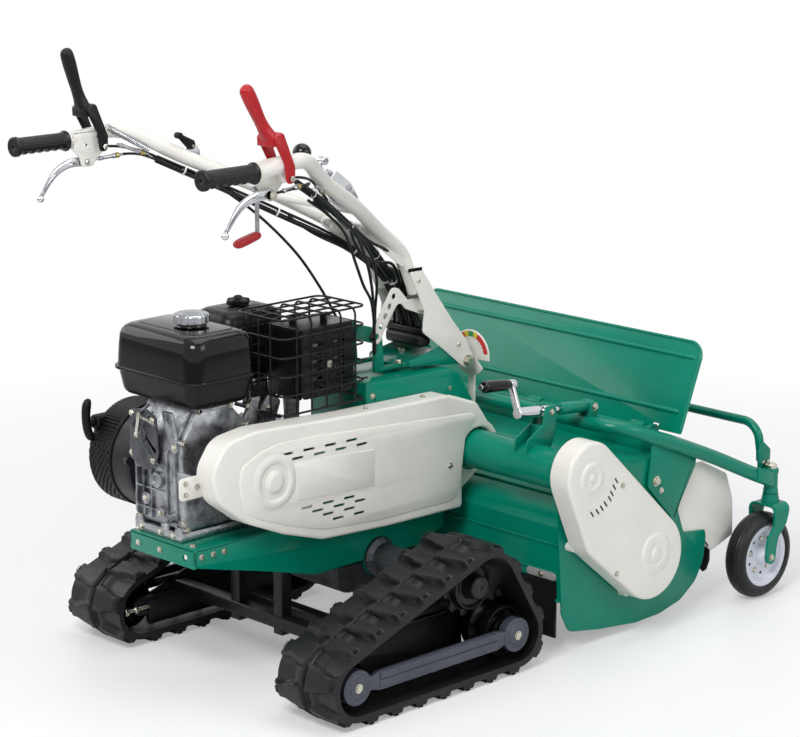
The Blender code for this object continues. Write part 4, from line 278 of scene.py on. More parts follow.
def boltForm(place, axis, way, size=.006, paint=0, washer=True):      # a washer and a hexagon head
    along = place[axis]
    centre = [place[k] for k in range(3) if k != axis]
    forms = []
    if washer:
        forms += rodForm(along - way * .001, along + way * size * .22, size * 1.35, axis, centre, 20, paint)
    base = along + way * size * .2
    head = [(base, 0), (base, size * 1.02), (base + way * size * .55, size * 1.02),
            (base + way * size * .68, size * .86), (base + way * size * .68, 0)]
    return forms + turnedForm(head, axis, centre, 6, paint)


def boltRow(along, places, axis, way, size=.006, paint=0):      # bolts at (u, v) places on one face
    forms = []
    for u, v in places:
        forms += boltForm(onAxis(axis, along, u, v), axis, way, size, paint)
    return forms


def capScrewForm(place, axis, way, size=.004, paint=0):      # a low round head with a socket
    along = place[axis]
    centre = [place[k] for k in range(3) if k != axis]
    head = [(along - way * .001, 0), (along - way * .001, size), (along + way * size * .35, size),
            (along + way * size * .62, size * .78), (along + way * size * .66, size * .45),
            (along + way * size * .3, size * .4), (along + way * size * .3, 0)]
    return turnedForm(head, axis, centre, 16, paint)


def turnedBy(forms, degrees, centre, axis=0):      # forms turned about an axis through a point
    u, v = [(1, 2), (2, 0), (0, 1)][axis]
    c, s = math.cos(math.radians(degrees)), math.sin(math.radians(degrees))
    moved = []
    for points, faces, paint in forms:
        place = np.array(points, float) - centre
        new = place.copy()
        new[:, u] = place[:, u] * c - place[:, v] * s
        new[:, v] = place[:, u] * s + place[:, v] * c
        moved.append((new + centre, faces, paint))
    return moved


def shifted(forms, by):      # every point moved by the same step
    return [(np.asarray(points) + by, faces, paint) for points, faces, paint in forms]


def make(name, forms, paints, body=None, stands=None, sharp=35):      # one mesh, riding on its body
    offsets = np.cumsum([0] + [len(form[0]) for form in forms])
    points = np.vstack([form[0] for form in forms]) - (0, setBack, 0)
    faces = [[i + int(offset) for i in face] for form, offset in zip(forms, offsets) for face in form[1]]
    which = [form[2] for form in forms for _ in form[1]]
    mesh = bpy.data.meshes.new(name)
    mesh.from_pydata(points.tolist(), [], faces)
    for paint in paints.split():
        mesh.materials.append(finishes[paint])
    mesh.polygons.foreach_set("material_index", which)
    shape = bmesh.new()
    shape.from_mesh(mesh)
    loose = [point for point in shape.verts if not point.link_faces]
    bmesh.ops.delete(shape, geom=loose, context="VERTS")
    bmesh.ops.recalc_face_normals(shape, faces=shape.faces)
    shape.to_mesh(mesh)
    shape.free()
    mesh.shade_smooth()
    mesh.set_sharp_from_angle(angle=math.radians(sharp))
    piece = bpy.data.objects.new(name, mesh)
    bpy.context.scene.collection.objects.link(piece)
    if body:      # a piece without one is left unattached
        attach(piece, body)
    if stands:
        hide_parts(stands)
    return piece


print("shapes ready")


# Finishes

class Wire:      # a socket's value, on which Math nodes are written as Python sums
    def __init__(self, finish, socket):
        self.finish = finish
        self.socket = socket

    def sum(self, operation, first, second=.5):      # one Math node
        return self.finish.node("ShaderNodeMath", {"operation": operation}, {0: first, 1: second})

    def __add__(self, other):
        return self.sum("ADD", self, other)

    def __radd__(self, other):
        return self.sum("ADD", other, self)

    def __sub__(self, other):
        return self.sum("SUBTRACT", self, other)

    def __rsub__(self, other):
        return self.sum("SUBTRACT", other, self)

    def __mul__(self, other):
        return self.sum("MULTIPLY", self, other)

    def __rmul__(self, other):
        return self.sum("MULTIPLY", other, self)

    def __gt__(self, other):
        return self.sum("GREATER_THAN", self, other)

    def __lt__(self, other):
        return self.sum("LESS_THAN", self, other)


class Finish:      # a material and the one method that adds nodes to it
    def __init__(self, name):
        self.material = bpy.data.materials.new(name)
        self.material.use_nodes = True
        self.nodes = self.material.node_tree.nodes
        self.links = self.material.node_tree.links
        self.shader = self.nodes["Principled BSDF"]

    def node(self, kind, settings=None, sockets=None, out=0):      # settings are set before the sockets
        made = self.nodes.new(kind)
        for key, value in (settings or {}).items():
            if key == "stops":
                ramp = made.color_ramp
                while len(ramp.elements) < len(value):
                    ramp.elements.new(.5)
                for element, (place, colour) in zip(ramp.elements, value):
                    element.position = place
                    element.color = colour
            else:
                setattr(made, key, value)
        for key, value in (sockets or {}).items():
            self.put(made.inputs[key], value)
        return Wire(self, made.outputs[out])

    def put(self, socket, value):      # a wire is linked, a number or colour is set
        if isinstance(value, Wire):
            self.links.new(value.socket, socket)
        else:
            socket.default_value = value

    def noise(self, scale, detail=3.0, rough=.55, stretch=None):      # noise on Object coordinates
        place = self.node("ShaderNodeTexCoord", out="Object")
        if stretch:
            place = self.node("ShaderNodeMapping", {}, {"Vector": place, "Scale": stretch})
        return self.node("ShaderNodeTexNoise", {},
                {"Vector": place, "Scale": scale, "Detail": detail, "Roughness": rough})

    def blend(self, share, first, second):      # the first colour where share is 0, the second where it is 1
        return self.node("ShaderNodeMix", {"data_type": "RGBA"}, {0: share, 6: first, 7: second}, 2)

    def bump(self, height, depth, strength=1.0):      # a height tilts the shader's normal
        bumped = self.node("ShaderNodeBump", {}, {"Strength": strength, "Distance": depth, "Height": height})
        self.put(self.shader.inputs["Normal"], bumped)


def screenColour(seen):      # red, green and blue as seen on a screen, 0 to 255, made linear
    share = np.array(seen) / 255
    linear = np.where(share <= .04045, share / 12.92, ((share + .055) / 1.055) ** 2.4)
    return (*linear.tolist(), 1.0)


def surfaceFinish(name, look):
    # colour drifts to a second one in soft blotches; roughness drifts with finer ones; grain is a bump
    made = Finish(name)
    shader = made.shader
    blotch = made.noise(look.get("blotchScale", 9.0), 3.0)
    patchy = made.node("ShaderNodeMapRange", {}, {"Value": blotch, "From Min": .35, "From Max": .7})
    first = screenColour(look["colour"])
    second = screenColour(look["second"]) if "second" in look else (*(part * .82 for part in first[:3]), 1.0)
    colour = made.blend(patchy, first, second)
    if "dust" in look:      # pale dust where a broad noise is high
        dusty = made.noise(look.get("dustScale", 14.0), 5.0, .65)
        share = made.node("ShaderNodeMapRange", {}, {"Value": dusty, "From Min": .52, "From Max": .8})
        colour = made.blend(share * look["dust"][1], colour, screenColour(look["dust"][0]))
    made.put(shader.inputs["Base Color"], colour)
    fine = made.noise(look.get("roughScale", 60.0), 2.0, stretch=look.get("stretch"))
    made.put(shader.inputs["Roughness"], look["rough"] + (fine - .5) * look.get("roughDrift", .08))
    shader.inputs["Metallic"].default_value = look.get("metal", 0.0)
    shader.inputs["Coat Weight"].default_value = look.get("coat", 0.0)
    shader.inputs["Coat Roughness"].default_value = .06
    shader.inputs["Specular IOR Level"].default_value = look.get("specular", .5)
    if look.get("grainDepth"):
        grain = made.noise(look.get("grainScale", 900.0), 2.0, .6, look.get("stretch"))
        made.bump(grain, look["grainDepth"], look.get("grainStrength", .5))
    return made.material


finishLooks = {
    "greenPaint": {"colour": (0, 128, 104), "second": (0, 120, 97), "rough": .24, "coat": .06,
        "specular": .22},
    "whitePaint": {"colour": (228, 226, 219), "second": (221, 219, 212), "rough": .33, "coat": .1,
        "specular": .35},
    "rubber": {"colour": (25, 25, 27), "second": (17, 17, 19), "rough": .34, "roughDrift": .2,
        "grainScale": 1300.0, "grainDepth": .0004, "blotchScale": 24.0, "dust": ((70, 69, 68), .06), "specular": .24},
    "gripRubber": {"colour": (17, 17, 18), "second": (12, 12, 13), "rough": .34, "roughDrift": .15,
        "grainScale": 1600.0, "grainDepth": .0003, "specular": .28},
    "tyreRubber": {"colour": (22, 22, 24), "second": (15, 15, 17), "rough": .34, "roughDrift": .15,
        "grainScale": 1400.0, "grainDepth": .0003, "dust": ((60, 59, 58), .04), "specular": .3},
    "cable": {"colour": (15, 15, 16), "second": (11, 11, 12), "rough": .38, "grainScale": 900.0,
        "grainDepth": .0002, "specular": .25},
    "satinBlack": {"colour": (20, 20, 22), "second": (13, 13, 15), "rough": .28, "roughDrift": .12,
        "grainScale": 1100.0, "grainDepth": .0003, "specular": .2},
    "mouldedBlack": {"colour": (22, 22, 24), "second": (16, 16, 18), "rough": .36, "grainScale": 1500.0,
        "grainDepth": .0005, "grainStrength": .7, "specular": .15},
    "glossBlack": {"colour": (6, 6, 7), "second": (4, 4, 5), "rough": .05, "roughDrift": .02, "coat": .1,
        "grainScale": 260.0, "grainDepth": .0002, "grainStrength": .08, "specular": .26},
    "slateGrey": {"colour": (74, 77, 88), "second": (64, 67, 78), "rough": .42, "metal": .25,
        "grainScale": 700.0, "grainDepth": .0003, "specular": .35},
    "darkIron": {"colour": (34, 35, 38), "second": (22, 23, 26), "rough": .36, "roughDrift": .15,
        "metal": .35, "grainScale": 700.0, "grainDepth": .0004, "blotchScale": 30.0, "specular": .35},
    "frameBlack": {"colour": (18, 18, 21), "second": (12, 12, 14), "rough": .34, "roughDrift": .12,
        "grainScale": 700.0, "grainDepth": .0003, "specular": .25},
    "zincBolt": {"colour": (204, 202, 192), "second": (176, 172, 156), "rough": .26, "roughDrift": .14,
        "metal": 1.0, "blotchScale": 60.0},
    # castAluminium: the dark second colour in broad blotches is partly the casting's own uneven tone and partly
    # painted reflection, dark and bright patches
    "castAluminium": {"colour": (172, 174, 178), "second": (74, 76, 80), "rough": .3, "roughDrift": .24,
        "metal": .92, "grainScale": 700.0, "grainDepth": .0007, "grainStrength": .8, "blotchScale": 34.0},
    "darkCast": {"colour": (92, 94, 98), "second": (66, 68, 72), "rough": .46, "roughDrift": .2,
        "metal": .8, "grainScale": 700.0, "grainDepth": .0007, "grainStrength": .8, "blotchScale": 30.0},
    "platedSteel": {"colour": (178, 180, 184), "second": (150, 152, 156), "rough": .28, "roughDrift": .16,
        "metal": 1.0, "grainScale": 500.0, "grainDepth": .0002, "blotchScale": 40.0},
    "chrome": {"colour": (206, 208, 211), "second": (192, 194, 198), "rough": .12, "roughDrift": .06,
        "metal": 1.0},
    "capChrome": {"colour": (168, 170, 174), "second": (132, 134, 138), "rough": .16, "roughDrift": .1,
        "metal": 1.0},
    "yellowPlate": {"colour": (186, 168, 112), "second": (158, 142, 96), "rough": .3, "roughDrift": .14,
        "metal": .95, "blotchScale": 40.0},
    "redCoat": {"colour": (172, 24, 32), "second": (158, 20, 28), "rough": .34, "coat": .05,
        "grainScale": 900.0, "grainDepth": .0002, "specular": .3},
    "leverBlack": {"colour": (15, 15, 16), "second": (10, 10, 11), "rough": .36, "grainScale": 900.0,
        "grainDepth": .0003, "specular": .25},
    "rimWhite": {"colour": (214, 218, 228), "second": (204, 208, 218), "rough": .3, "coat": .2},
    "brightStrip": {"colour": (186, 188, 186), "second": (168, 170, 168), "rough": .36, "metal": .3},
    "whiteTie": {"colour": (222, 222, 220), "second": (208, 208, 206), "rough": .45},
    "dialYellow": {"colour": (222, 196, 54), "rough": .4},
    "dialGreen": {"colour": (52, 148, 92), "rough": .4},
    "dialRed": {"colour": (204, 58, 52), "rough": .4},
    "inkBlack": {"colour": (24, 24, 26), "rough": .5},
    # painted shade: the flat dark colour of the discs that stand in for holes in the caster rims
    "darkInside": {"colour": (14, 14, 15), "rough": .8, "roughDrift": .1},
}
finishes = {name: surfaceFinish(name, look) for name, look in finishLooks.items()}
print("finishes ready")


# Tracks and undercarriage

idlerCircle = (.017, .077, .052)
rollerCircle = (.442, .077, .052)
sprocketCircle = (.36, .187, .066)
trackCircles = [idlerCircle, rollerCircle, sprocketCircle]
trackLook = {"middle": .32, "half": .08, "belt": .012, "lug": .013, "pitches": 20, "ribs": (-.055, 0.0, .055)}


def smoothStep(low, high, value):      # 0 up to low, 1 from high, 3t^2 - 2t^3 between
    t = np.clip((value - low) / (high - low), 0, 1)
    return t * t * (3 - 2 * t)


def loopStations(circles, shares):      # y, z and the outward direction at shares of the way round a belt
    count = len(circles)
    heading = beltHeadings(circles)
    stretches = []
    for i, (u, v, r) in enumerate(circles):
        u2, v2, r2 = circles[(i + 1) % count]
        turn = (heading[i] - heading[i - 1]) % (2 * math.pi)
        stretches.append((r * turn, (u, v, r), heading[i - 1], turn))
        stretches.append((math.sqrt((u2 - u) ** 2 + (v2 - v) ** 2 - (r - r2) ** 2), (u, v, r), heading[i], 0))
    total = sum(stretch[0] for stretch in stretches)
    found = []
    for share in shares:
        left = share % 1 * total
        for length, (u, v, r), angle, turn in stretches:
            if left <= length:
                break
            left -= length
        if turn:
            angle += turn * left / length
            left = 0
        nu, nv = math.cos(angle), math.sin(angle)
        found.append((u + r * nu - left * nv, v + r * nv + left * nu, nu, nv))
    return np.array(found)


def lugRise(pitchPlace, across):      # 0 on the belt, 1 on a lug's top; rows are half a pitch apart
    w = np.abs(across)
    d = np.abs((pitchPlace - np.where(across < 0, .25, .75) + .5) % 1 - .5)
    reach = .285 - .075 * w + .045 * np.sin(2 * np.pi * w)
    top = 1 - smoothStep(reach - .035, reach + .045, d)
    top = top * (1 - .34 * smoothStep(.88, 1.0, w)) * (1 - .1 * (1 - smoothStep(.05, .2, d)))
    web = (.4 + .1 * np.cos(2 * np.pi * d)) * (1 - smoothStep(.24, .4, w))
    seam = .42 * smoothStep(.1, .03, w) - .55 * smoothStep(.03, .008, w)
    return np.clip(np.maximum(top, web) * (1 - seam), 0, 1)


def beltBlock(circles, share, middleX, halfX, halfShare, low, high, taper=1.0):      # a block standing on the belt
    corners = []
    for rise, shrink in ((low, 1.0), (high, taper)):
        for way in (-1, 1):
            y, z, ny, nz = loopStations(circles, [share + way * halfShare * shrink])[0]
            for side in (-1, 1):
                corners.append((middleX + side * halfX * shrink, y + rise * ny, z + rise * nz))
    faces = [[0, 1, 3, 2], [4, 6, 7, 5], [0, 4, 5, 1], [2, 3, 7, 6], [0, 2, 6, 4], [1, 5, 7, 3]]
    return [(np.array(corners), faces, 0)]


def trackBelt(side):      # the belt loop by its width as a grid, raised by lugRise, with ribs and guide horns
    look = trackLook
    half = look["half"]
    step = np.array([0, .025, .05, .08, .12, .17, .23, .29, .35, .4, .44, .47])
    pitchPlace = np.concatenate([step, step + .5])
    shares = (np.arange(look["pitches"])[:, None] + pitchPlace).ravel() / look["pitches"]
    place = loopStations(trackCircles, shares)
    inward = np.array([0, .02, .04, .09, .16, .24, .31, .37, .45, .55, .66, .77, .85, .9, .95, 1.0])
    across = np.concatenate([-inward[:0:-1], inward])
    rise = lugRise((shares * look["pitches"] % 1)[:, None], across[None])
    height = np.hstack([look["belt"] + look["lug"] * rise, np.tile((.001, 0.0, 0.0, .001), (len(shares), 1))])
    x = np.concatenate([across * half, (half, half - .001, -half + .001, -half)]) + side * look["middle"]
    grid = np.stack([np.broadcast_to(x, height.shape), place[:, :1] + place[:, 2:3] * height, place[:, 1:2]
            + place[:, 3:4] * height], -1)
    forms = gridForm(grid, roundU=True)
    for n in range(look["pitches"]):
        for row, way in ((.25, -1), (.75, 1)):      # three ribs on each lug's outer end
            for slide in look["ribs"]:
                share = (n + row + slide) / look["pitches"]
                forms += beltBlock(trackCircles, share, side * look["middle"] + way * (half - .0052),
                        .0048, .011 / look["pitches"], .015, .0243, .85)
        share = (n + .5) / look["pitches"]
        spot = loopStations(trackCircles, [share])[0]
        if math.hypot(spot[0] - sprocketCircle[0], spot[1] - sprocketCircle[1]) > .075:      # guide horns
            forms += beltBlock(trackCircles, share, side * look["middle"], .0068, .13 / look["pitches"],
                    .0005, -.0115, .45)
    return forms


def wheelForm(side, y):      # a dished wheel with a middle groove for the guide horns
    profile = [(-.035, .0465, .001), (-.035, .0508, .0012), (-.01225, .0508), (0, .0316), (.01225, .0508),
            (.035, .0508, .0012), (.035, .0465, .001), (.021, .044, .003), (.016, .023, .003),
            (.031, .0205, .002), (.031, .0098), (-.031, .0098), (-.031, .0205, .002), (-.016, .023, .003),
            (-.021, .044, .003)]
    middle = side * trackLook["middle"]
    corners = [(middle + side * along, *rest) for along, *rest in profile]
    return ringForm(corners, 0, (y, idlerCircle[1]), 56)


def sprocketForm(side):      # a toothed outline with a turned hub
    middle = side * trackLook["middle"]
    centre = sprocketCircle[:2]
    outline = []
    for n in range(10):      # round-topped teeth between round roots
        for share, radius, soft in ((.06, .064, .004), (.44, .064, .004), (.56, .053, .003), (.94, .053, .003)):
            turn = 2 * math.pi * (n + share) / 10
            outline.append((centre[0] + radius * math.cos(turn), centre[1] + radius * math.sin(turn), soft))
    forms = plateForm(roundedOutline(outline, 3), middle - .0138, middle + .0138, 0, .0012)
    hub = [(.012, .05), (.03, .048, .002), (.0315, .044, .001), (.022, .04, .003), (.022, .026, .003),
            (.048, .0235, .002), (.0515, .02, .001), (.0505, .015, .001), (.052, .0125, .001),
            (.052, .0045, .001), (.05, .004, 0)]
    forms += softTurned([(middle + side * along, *rest) for along, *rest in hub], 0, centre, 48)
    forms += rodForm(side * .1, middle, .0118, 0, centre, 20)
    return forms


def undercarriageForms(side):      # 0 black frame, 1 slate bars, 2 bright bolts
    z = idlerCircle[1]
    rear, front = idlerCircle[0], rollerCircle[0]
    rail = beltLoop([(rear, z, .018), (front, z, .018)])
    forms = plateForm(rail, side * .2512, side * .2608, 0, .001)
    bar = roundedOutline([(rear - .004, z - .014, .01), (.058, z - .014, .004), (.074, z - .019, .004),
            (.39, z - .019, .004), (.404, z - .014, .004), (front + .004, z - .014, .01),
            (front + .004, z + .014, .01), (.404, z + .014, .004), (.39, z + .019, .004), (.074, z + .019, .004),
            (.058, z + .014, .004), (rear - .004, z + .014, .01)], 3)
    forms += plateForm(bar, side * .3795, side * .3895, 0, .0014, paint=1)
    for low, high, out in ((.0035, .017, .3925), (-.0175, .001, .3912)):      # two raised bands
        band = roundedBox((.074, z + low), (.39, z + high), .003)
        forms += plateForm(band, side * .388, side * out, 0, .0012, paint=1)
    plate = roundedOutline([(.044, .031, .006), (.412, .031, .006), (.4, .15, .01), (.33, .16, .02),
            (.2, .146, .03), (.1, .112, .02), (.044, .096, .01)], 5)
    forms += plateForm(plate, side * .262, side * .27, 0, .0014)      # black plate behind the bar
    ledge = roundedBox((.075, .112), (.385, .12), .003)
    forms += plateForm(ledge, side * .269, side * .28, 0, .0012)
    forms += boltRow(side * .27, ((.105, .098), (.17, .132), (.26, .136), (.335, .098), (.36, .136)), 0, side, .0048)
    for y in (rear, front):
        forms += rodForm(side * .252, side * .381, .0089, 0, (y, z), 20)
        disc = [(side * .37, .034, .001), (side * .3905, .0345, .0015), (side * .3915, .03, .001),
                (side * .39, .027, .001), (side * .3915, .024, .001), (side * .3918, .0195, .001),
                (side * .3935, .019, .001), (side * .3935, .01, .001), (side * .3925, .0095)]
        forms += softTurned(disc, 0, (y, z), 44, 1)
        forms += rodForm(side * .392, side * .3942, .0092, 0, (y, z), 24, 2)
        head = [(side * .3938, 0), (side * .3938, .0066), (side * .3964, .0066), (side * .3969, .0052),
                (side * .3969, 0)]
        forms += turnedForm(head, 0, (y, z), 6, 2)
    forms += blockForm((side * .249 - .006, .03, z - .012), (side * .249 + .006, .1, z + .012))
    forms += rodForm(.034, -.02, .0042, 1, (side * .247, z), 16, 2)
    for low, high, radius in ((-.029, -.021, .0082), (-.004, .002, .008)):      # head and lock nut
        forms += turnedForm([(low, 0), (low, radius * .85), (low + .001, radius), (high, radius), (high, 0)], 1,
                (side * .247, z), 6, 2)
    forms += blockForm((side * .064 - .013, .107, z), (side * .064 + .013, .133, .2945), .001, .002, 2)
    return forms


for side, word in ((-1, "left"), (1, "right")):
    make(word + "TrackBelt", trackBelt(side), "rubber", "machine", word + "_track_belt", sharp=38)
    make(word + "IdlerWheel", wheelForm(side, idlerCircle[0]), "satinBlack", word + "_idler", word + "_rear_idler")
    make(word + "RollerWheel", wheelForm(side, rollerCircle[0]), "satinBlack", word + "_roller", word
            + "_front_roller")
    make(word + "DriveSprocket", sprocketForm(side), "darkIron", word + "_sprocket", word + "_drive_sprocket")
frameForms = undercarriageForms(-1) + undercarriageForms(1)
for y, lift in ((.12, .024), (.225, 0.0)):
    low = idlerCircle[1] - .0125 + lift
    frameForms += blockForm((-.2535, y - .015, low), (.2535, y + .015, low + .026), .0015, .003)
make("undercarriageFrame", frameForms, "frameBlack slateGrey zincBolt", "machine", "undercarriage_frame")
print("tracks ready")


# Belt covers

crankPlace = (.03, .42)
jackPlace = (.589, .377)
rotorPlace = (.786, .182)
coverLook = {"rim": .0885, "face": .1382, "panel": .14, "label": .1407, "edge": .0066, "wall": .0025}


def stadium(middle, length, height, lean=0.0):      # a slot with round ends, leaned by degrees
    reach = (length - height) / 2
    ends = np.vstack([arcPoints((reach, 0), height / 2, -90, 90, 5), arcPoints((-reach, 0), height / 2, 90, 270, 5)])
    return turnedPlaces(ends, lean, middle)


def shellRings(rim, face, edge, wall):      # (inset, x) from the inner face round the open rim to the outer face
    inner = [(wall + edge * .9, face - wall), (wall + edge * .3, face - wall - edge * .2),
            (wall, face - wall - edge * .8), (wall, rim + .0003), (wall - .0004, rim)]
    turn = np.radians(np.linspace(0, 90, 7))
    outer = [(.0004, rim), (0.0, rim + .0004)]
    outer += [(edge * (1 - math.cos(t)), face - edge * .8 + edge * .8 * math.sin(t)) for t in turn]
    return inner + outer


def coverSlots():      # rows of leaning slots at equal steps
    found = []
    for start, z, count in ((.055, .462, 4), (.082, .449, 4), (.104, .347, 3), (.132, .335, 3), (.159, .323, 2),
            (.185, .309, 2)):
        for n in range(count):
            found.append(stadium((start + .0555 * n + .015, z - .0012 * n + .0027), .03, .0055, -1.3))
    return found


def beltCoverForms():      # 0 white, 1 bright bolts
    look = coverLook
    hood = [(y, z) for y, z in arcPoints(jackPlace, .06, 12, 60, 6)]
    arch = [(y, z) for y, z in arcPoints(jackPlace, .0445, 180, 16, 18)]
    outline = [(-.093, .395, .06), (-.026, .345, .06), (.062, .307, .06), (.163, .275, .06), (.33, .266, .06),
            (.5445, .2625, .008)] + arch + hood + [(.585, .476, .03), (.5, .504, .04), (.237, .51, .06),
            (0, .522, .08), (-.075, .512, .05), (-.116, .455, .05)]
    outline = roundedOutline(outline, 8)
    slots = coverSlots()
    rings = shellRings(look["rim"], look["face"], look["edge"], look["wall"])
    cutRings = [(0.0, look["face"] - look["wall"]), (0.0, look["face"])]
    forms = pressedForm(outline, rings, slots, cutRings)
    panel = [(-.032, .366, .03), (.007, .346, .03), (.072, .322, .03), (.126, .3055, .04), (.171, .294, .04),
            (.311, .284, .04), (.507, .282, .008), (.532, .294, .012), (.537, .304, .006), (.5415, .347, .01),
            (.551, .412, .02), (.579, .44, .006), (.579, .449, .004), (.566, .457, .012), (.359, .472, .04),
            (.128, .488, .04), (.048, .489, .03), (.004, .48, .03), (-.041, .46, .02), (-.048, .431, .02),
            (-.044, .4, .02)]
    face, top = look["face"], look["panel"]
    raised = [(0.0, face - .0008), (0.0, face), (.0004, face + .0006), (.0014, top - .0005), (.0026, top)]
    forms += pressedForm(roundedOutline(panel, 6), raised, slots, [(0.0, face - .0008), (0.0, top)])
    label = roundedOutline([(.095, .366, .006), (.297, .357, .006), (.2975, .433, .006), (.085, .444, .006)], 6)
    forms += pressedForm(label, [(0.0, top - .0006), (0.0, top + .0001), (.001, look["label"])])
    dish = [(top - .003, 0), (top - .003, .056), (top + .0002, .055, .001), (top + .0026, .0455, .004),
            (top + .0026, .0395, .003), (top + .0004, .0335, .002), (top + .0004, .0245, .002),
            (top + .0036, .018, .002), (top + .0056, .015, .003), (top + .006, 0)]
    forms += turnedForm(roundedOutline(dish, 4), 0, (.038, .4155), 56)
    band = [(.5, .262), (.52, .262, .02)] + [(y, z) for y, z in arcPoints(jackPlace, .06, -60, 60, 20)]
    band += [(.585, .476, .03), (.55, .489)]
    back = roundedOutline(band + [(.5448, .43), (.5448, .3)], 6)
    holed = bore(jackPlace, .0145)
    forms += plateForm(back, .108, .1105, 0, .0005, holed)
    inner = insetOutline(back, .0025)
    forms += pressedForm(back, [(.0004, .0885), (0.0, .089), (0.0, .109)], [inner], [(0.0, .0885), (0.0, .109)])
    tab = roundedOutline([(-.153, .405, .008), (-.086, .405), (-.086, .448), (-.153, .448, .008)], 5)
    forms += plateForm(tab, .0886, .0926, 0, .0008)
    forms += boltRow(.0926, ((-.139, .416), (-.139, .437), (-.112, .4265)), 0, 1, .0042, 1)
    for y, low in ((.25, .2706), (.42, .2645)):
        forms += blockForm((.0848, y, low), (.0915, y + .03, low + .019), .0008, .002)
    forms += boltForm((top, .506, .358), 0, 1, .0045, 1)
    forms += boltForm((.115, .296, .5085), 2, 1, .004, 1)
    forms += boltForm((.115, .452, .506), 2, 1, .004, 1)
    return forms


sideLook = {"rim": .398, "face": .448, "edge": .009, "wall": .0025}


def sideCoverForms():      # 0 white, 1 bright bolts: the belt's loop carried through shell rings
    look = sideLook
    circles = [(.783, .174, .0885), (.592, .38, .069), (.645, .268, .073)]
    outline = beltLoop(circles, 0.0, 22)
    slots = [stadium((y, z), .018, .0045, 90 + 38.6) for y, z in ((.5924, .3033), (.6076, .3059), (.6203, .3104),
            (.6313, .3168), (.6435, .3252), (.6494, .3346), (.6566, .3456), (.6625, .3579))]
    cutRings = [(0.0, look["face"] - look["wall"]), (0.0, look["face"])]
    forms = pressedForm(outline, shellRings(look["rim"], look["face"], look["edge"], look["wall"]), slots, cutRings)
    face = look["face"]
    for centre, wide, dip in ((jackPlace, .031, .019), (rotorPlace, .0415, .0235)):
        dish = [(face - .002, 0), (face - .002, wide + .003), (face + .0003, wide + .0025, .001),
                (face + .003, wide - .003, .003), (face + .0034, dip + .003, .002), (face + .0018, dip, .002),
                (face + .0018, dip - .01, .002), (face + .0046, dip - .014, .002), (face + .0048, 0)]
        forms += turnedForm(roundedOutline(dish, 4), 0, centre, 48)
    for y, z in ((.5929, .2243), (.7319, .3373), (.7544, .0955)):      # studs down to the deck's side plate
        forms += rodForm(.3843, .4018, .0089, 0, (y, z), 24)
    forms += boltRow(face - .0006, ((.681, .345), (.669, .165)), 0, 1, .0046, 1)
    return forms


make("beltCover", beltCoverForms(), "whitePaint zincBolt satinBlack", "machine", "belt_cover", sharp=32)
make("sideBeltCover", sideCoverForms(), "whitePaint zincBolt", "machine", "side_belt_cover", sharp=32)
print("covers ready")


# Engine

engineLook = {"left": -.115, "right": .038, "rear": -.107, "front": .063, "low": .3003, "high": .5557}


def stackedForm(low, high, levels, axis=2, paint=0):      # a box of (along, inset, corner) levels with round corners
    u, v = [k for k in range(3) if k != axis]
    rings = []
    for along, inset, corner in levels:
        ring = roundedBox((low[u] + inset, low[v] + inset), (high[u] - inset, high[v] - inset), corner, 9)
        rings.append(onAxis(axis, along, ring[:, 0], ring[:, 1]))
    return gridForm(np.array(rings), paint=paint)


def reliefTurned(profile, axis, centre, sides, relief, paint=0):
    # turned from (along, radius) pairs, then drawn in by relief(turn, share of the way along)
    profile = np.array(profile, float)
    turn = (np.arange(sides) * 2 * np.pi / sides)[None]
    share = np.linspace(0, 1, len(profile))[:, None]
    radius = np.maximum(profile[:, 1:] - relief(turn, share), 0)
    poles = (profile[0, 1] == 0, profile[-1, 1] == 0)
    return gridForm(turnedPoints(profile[:, :1], radius, axis, centre, sides), paint=paint, poles=poles)


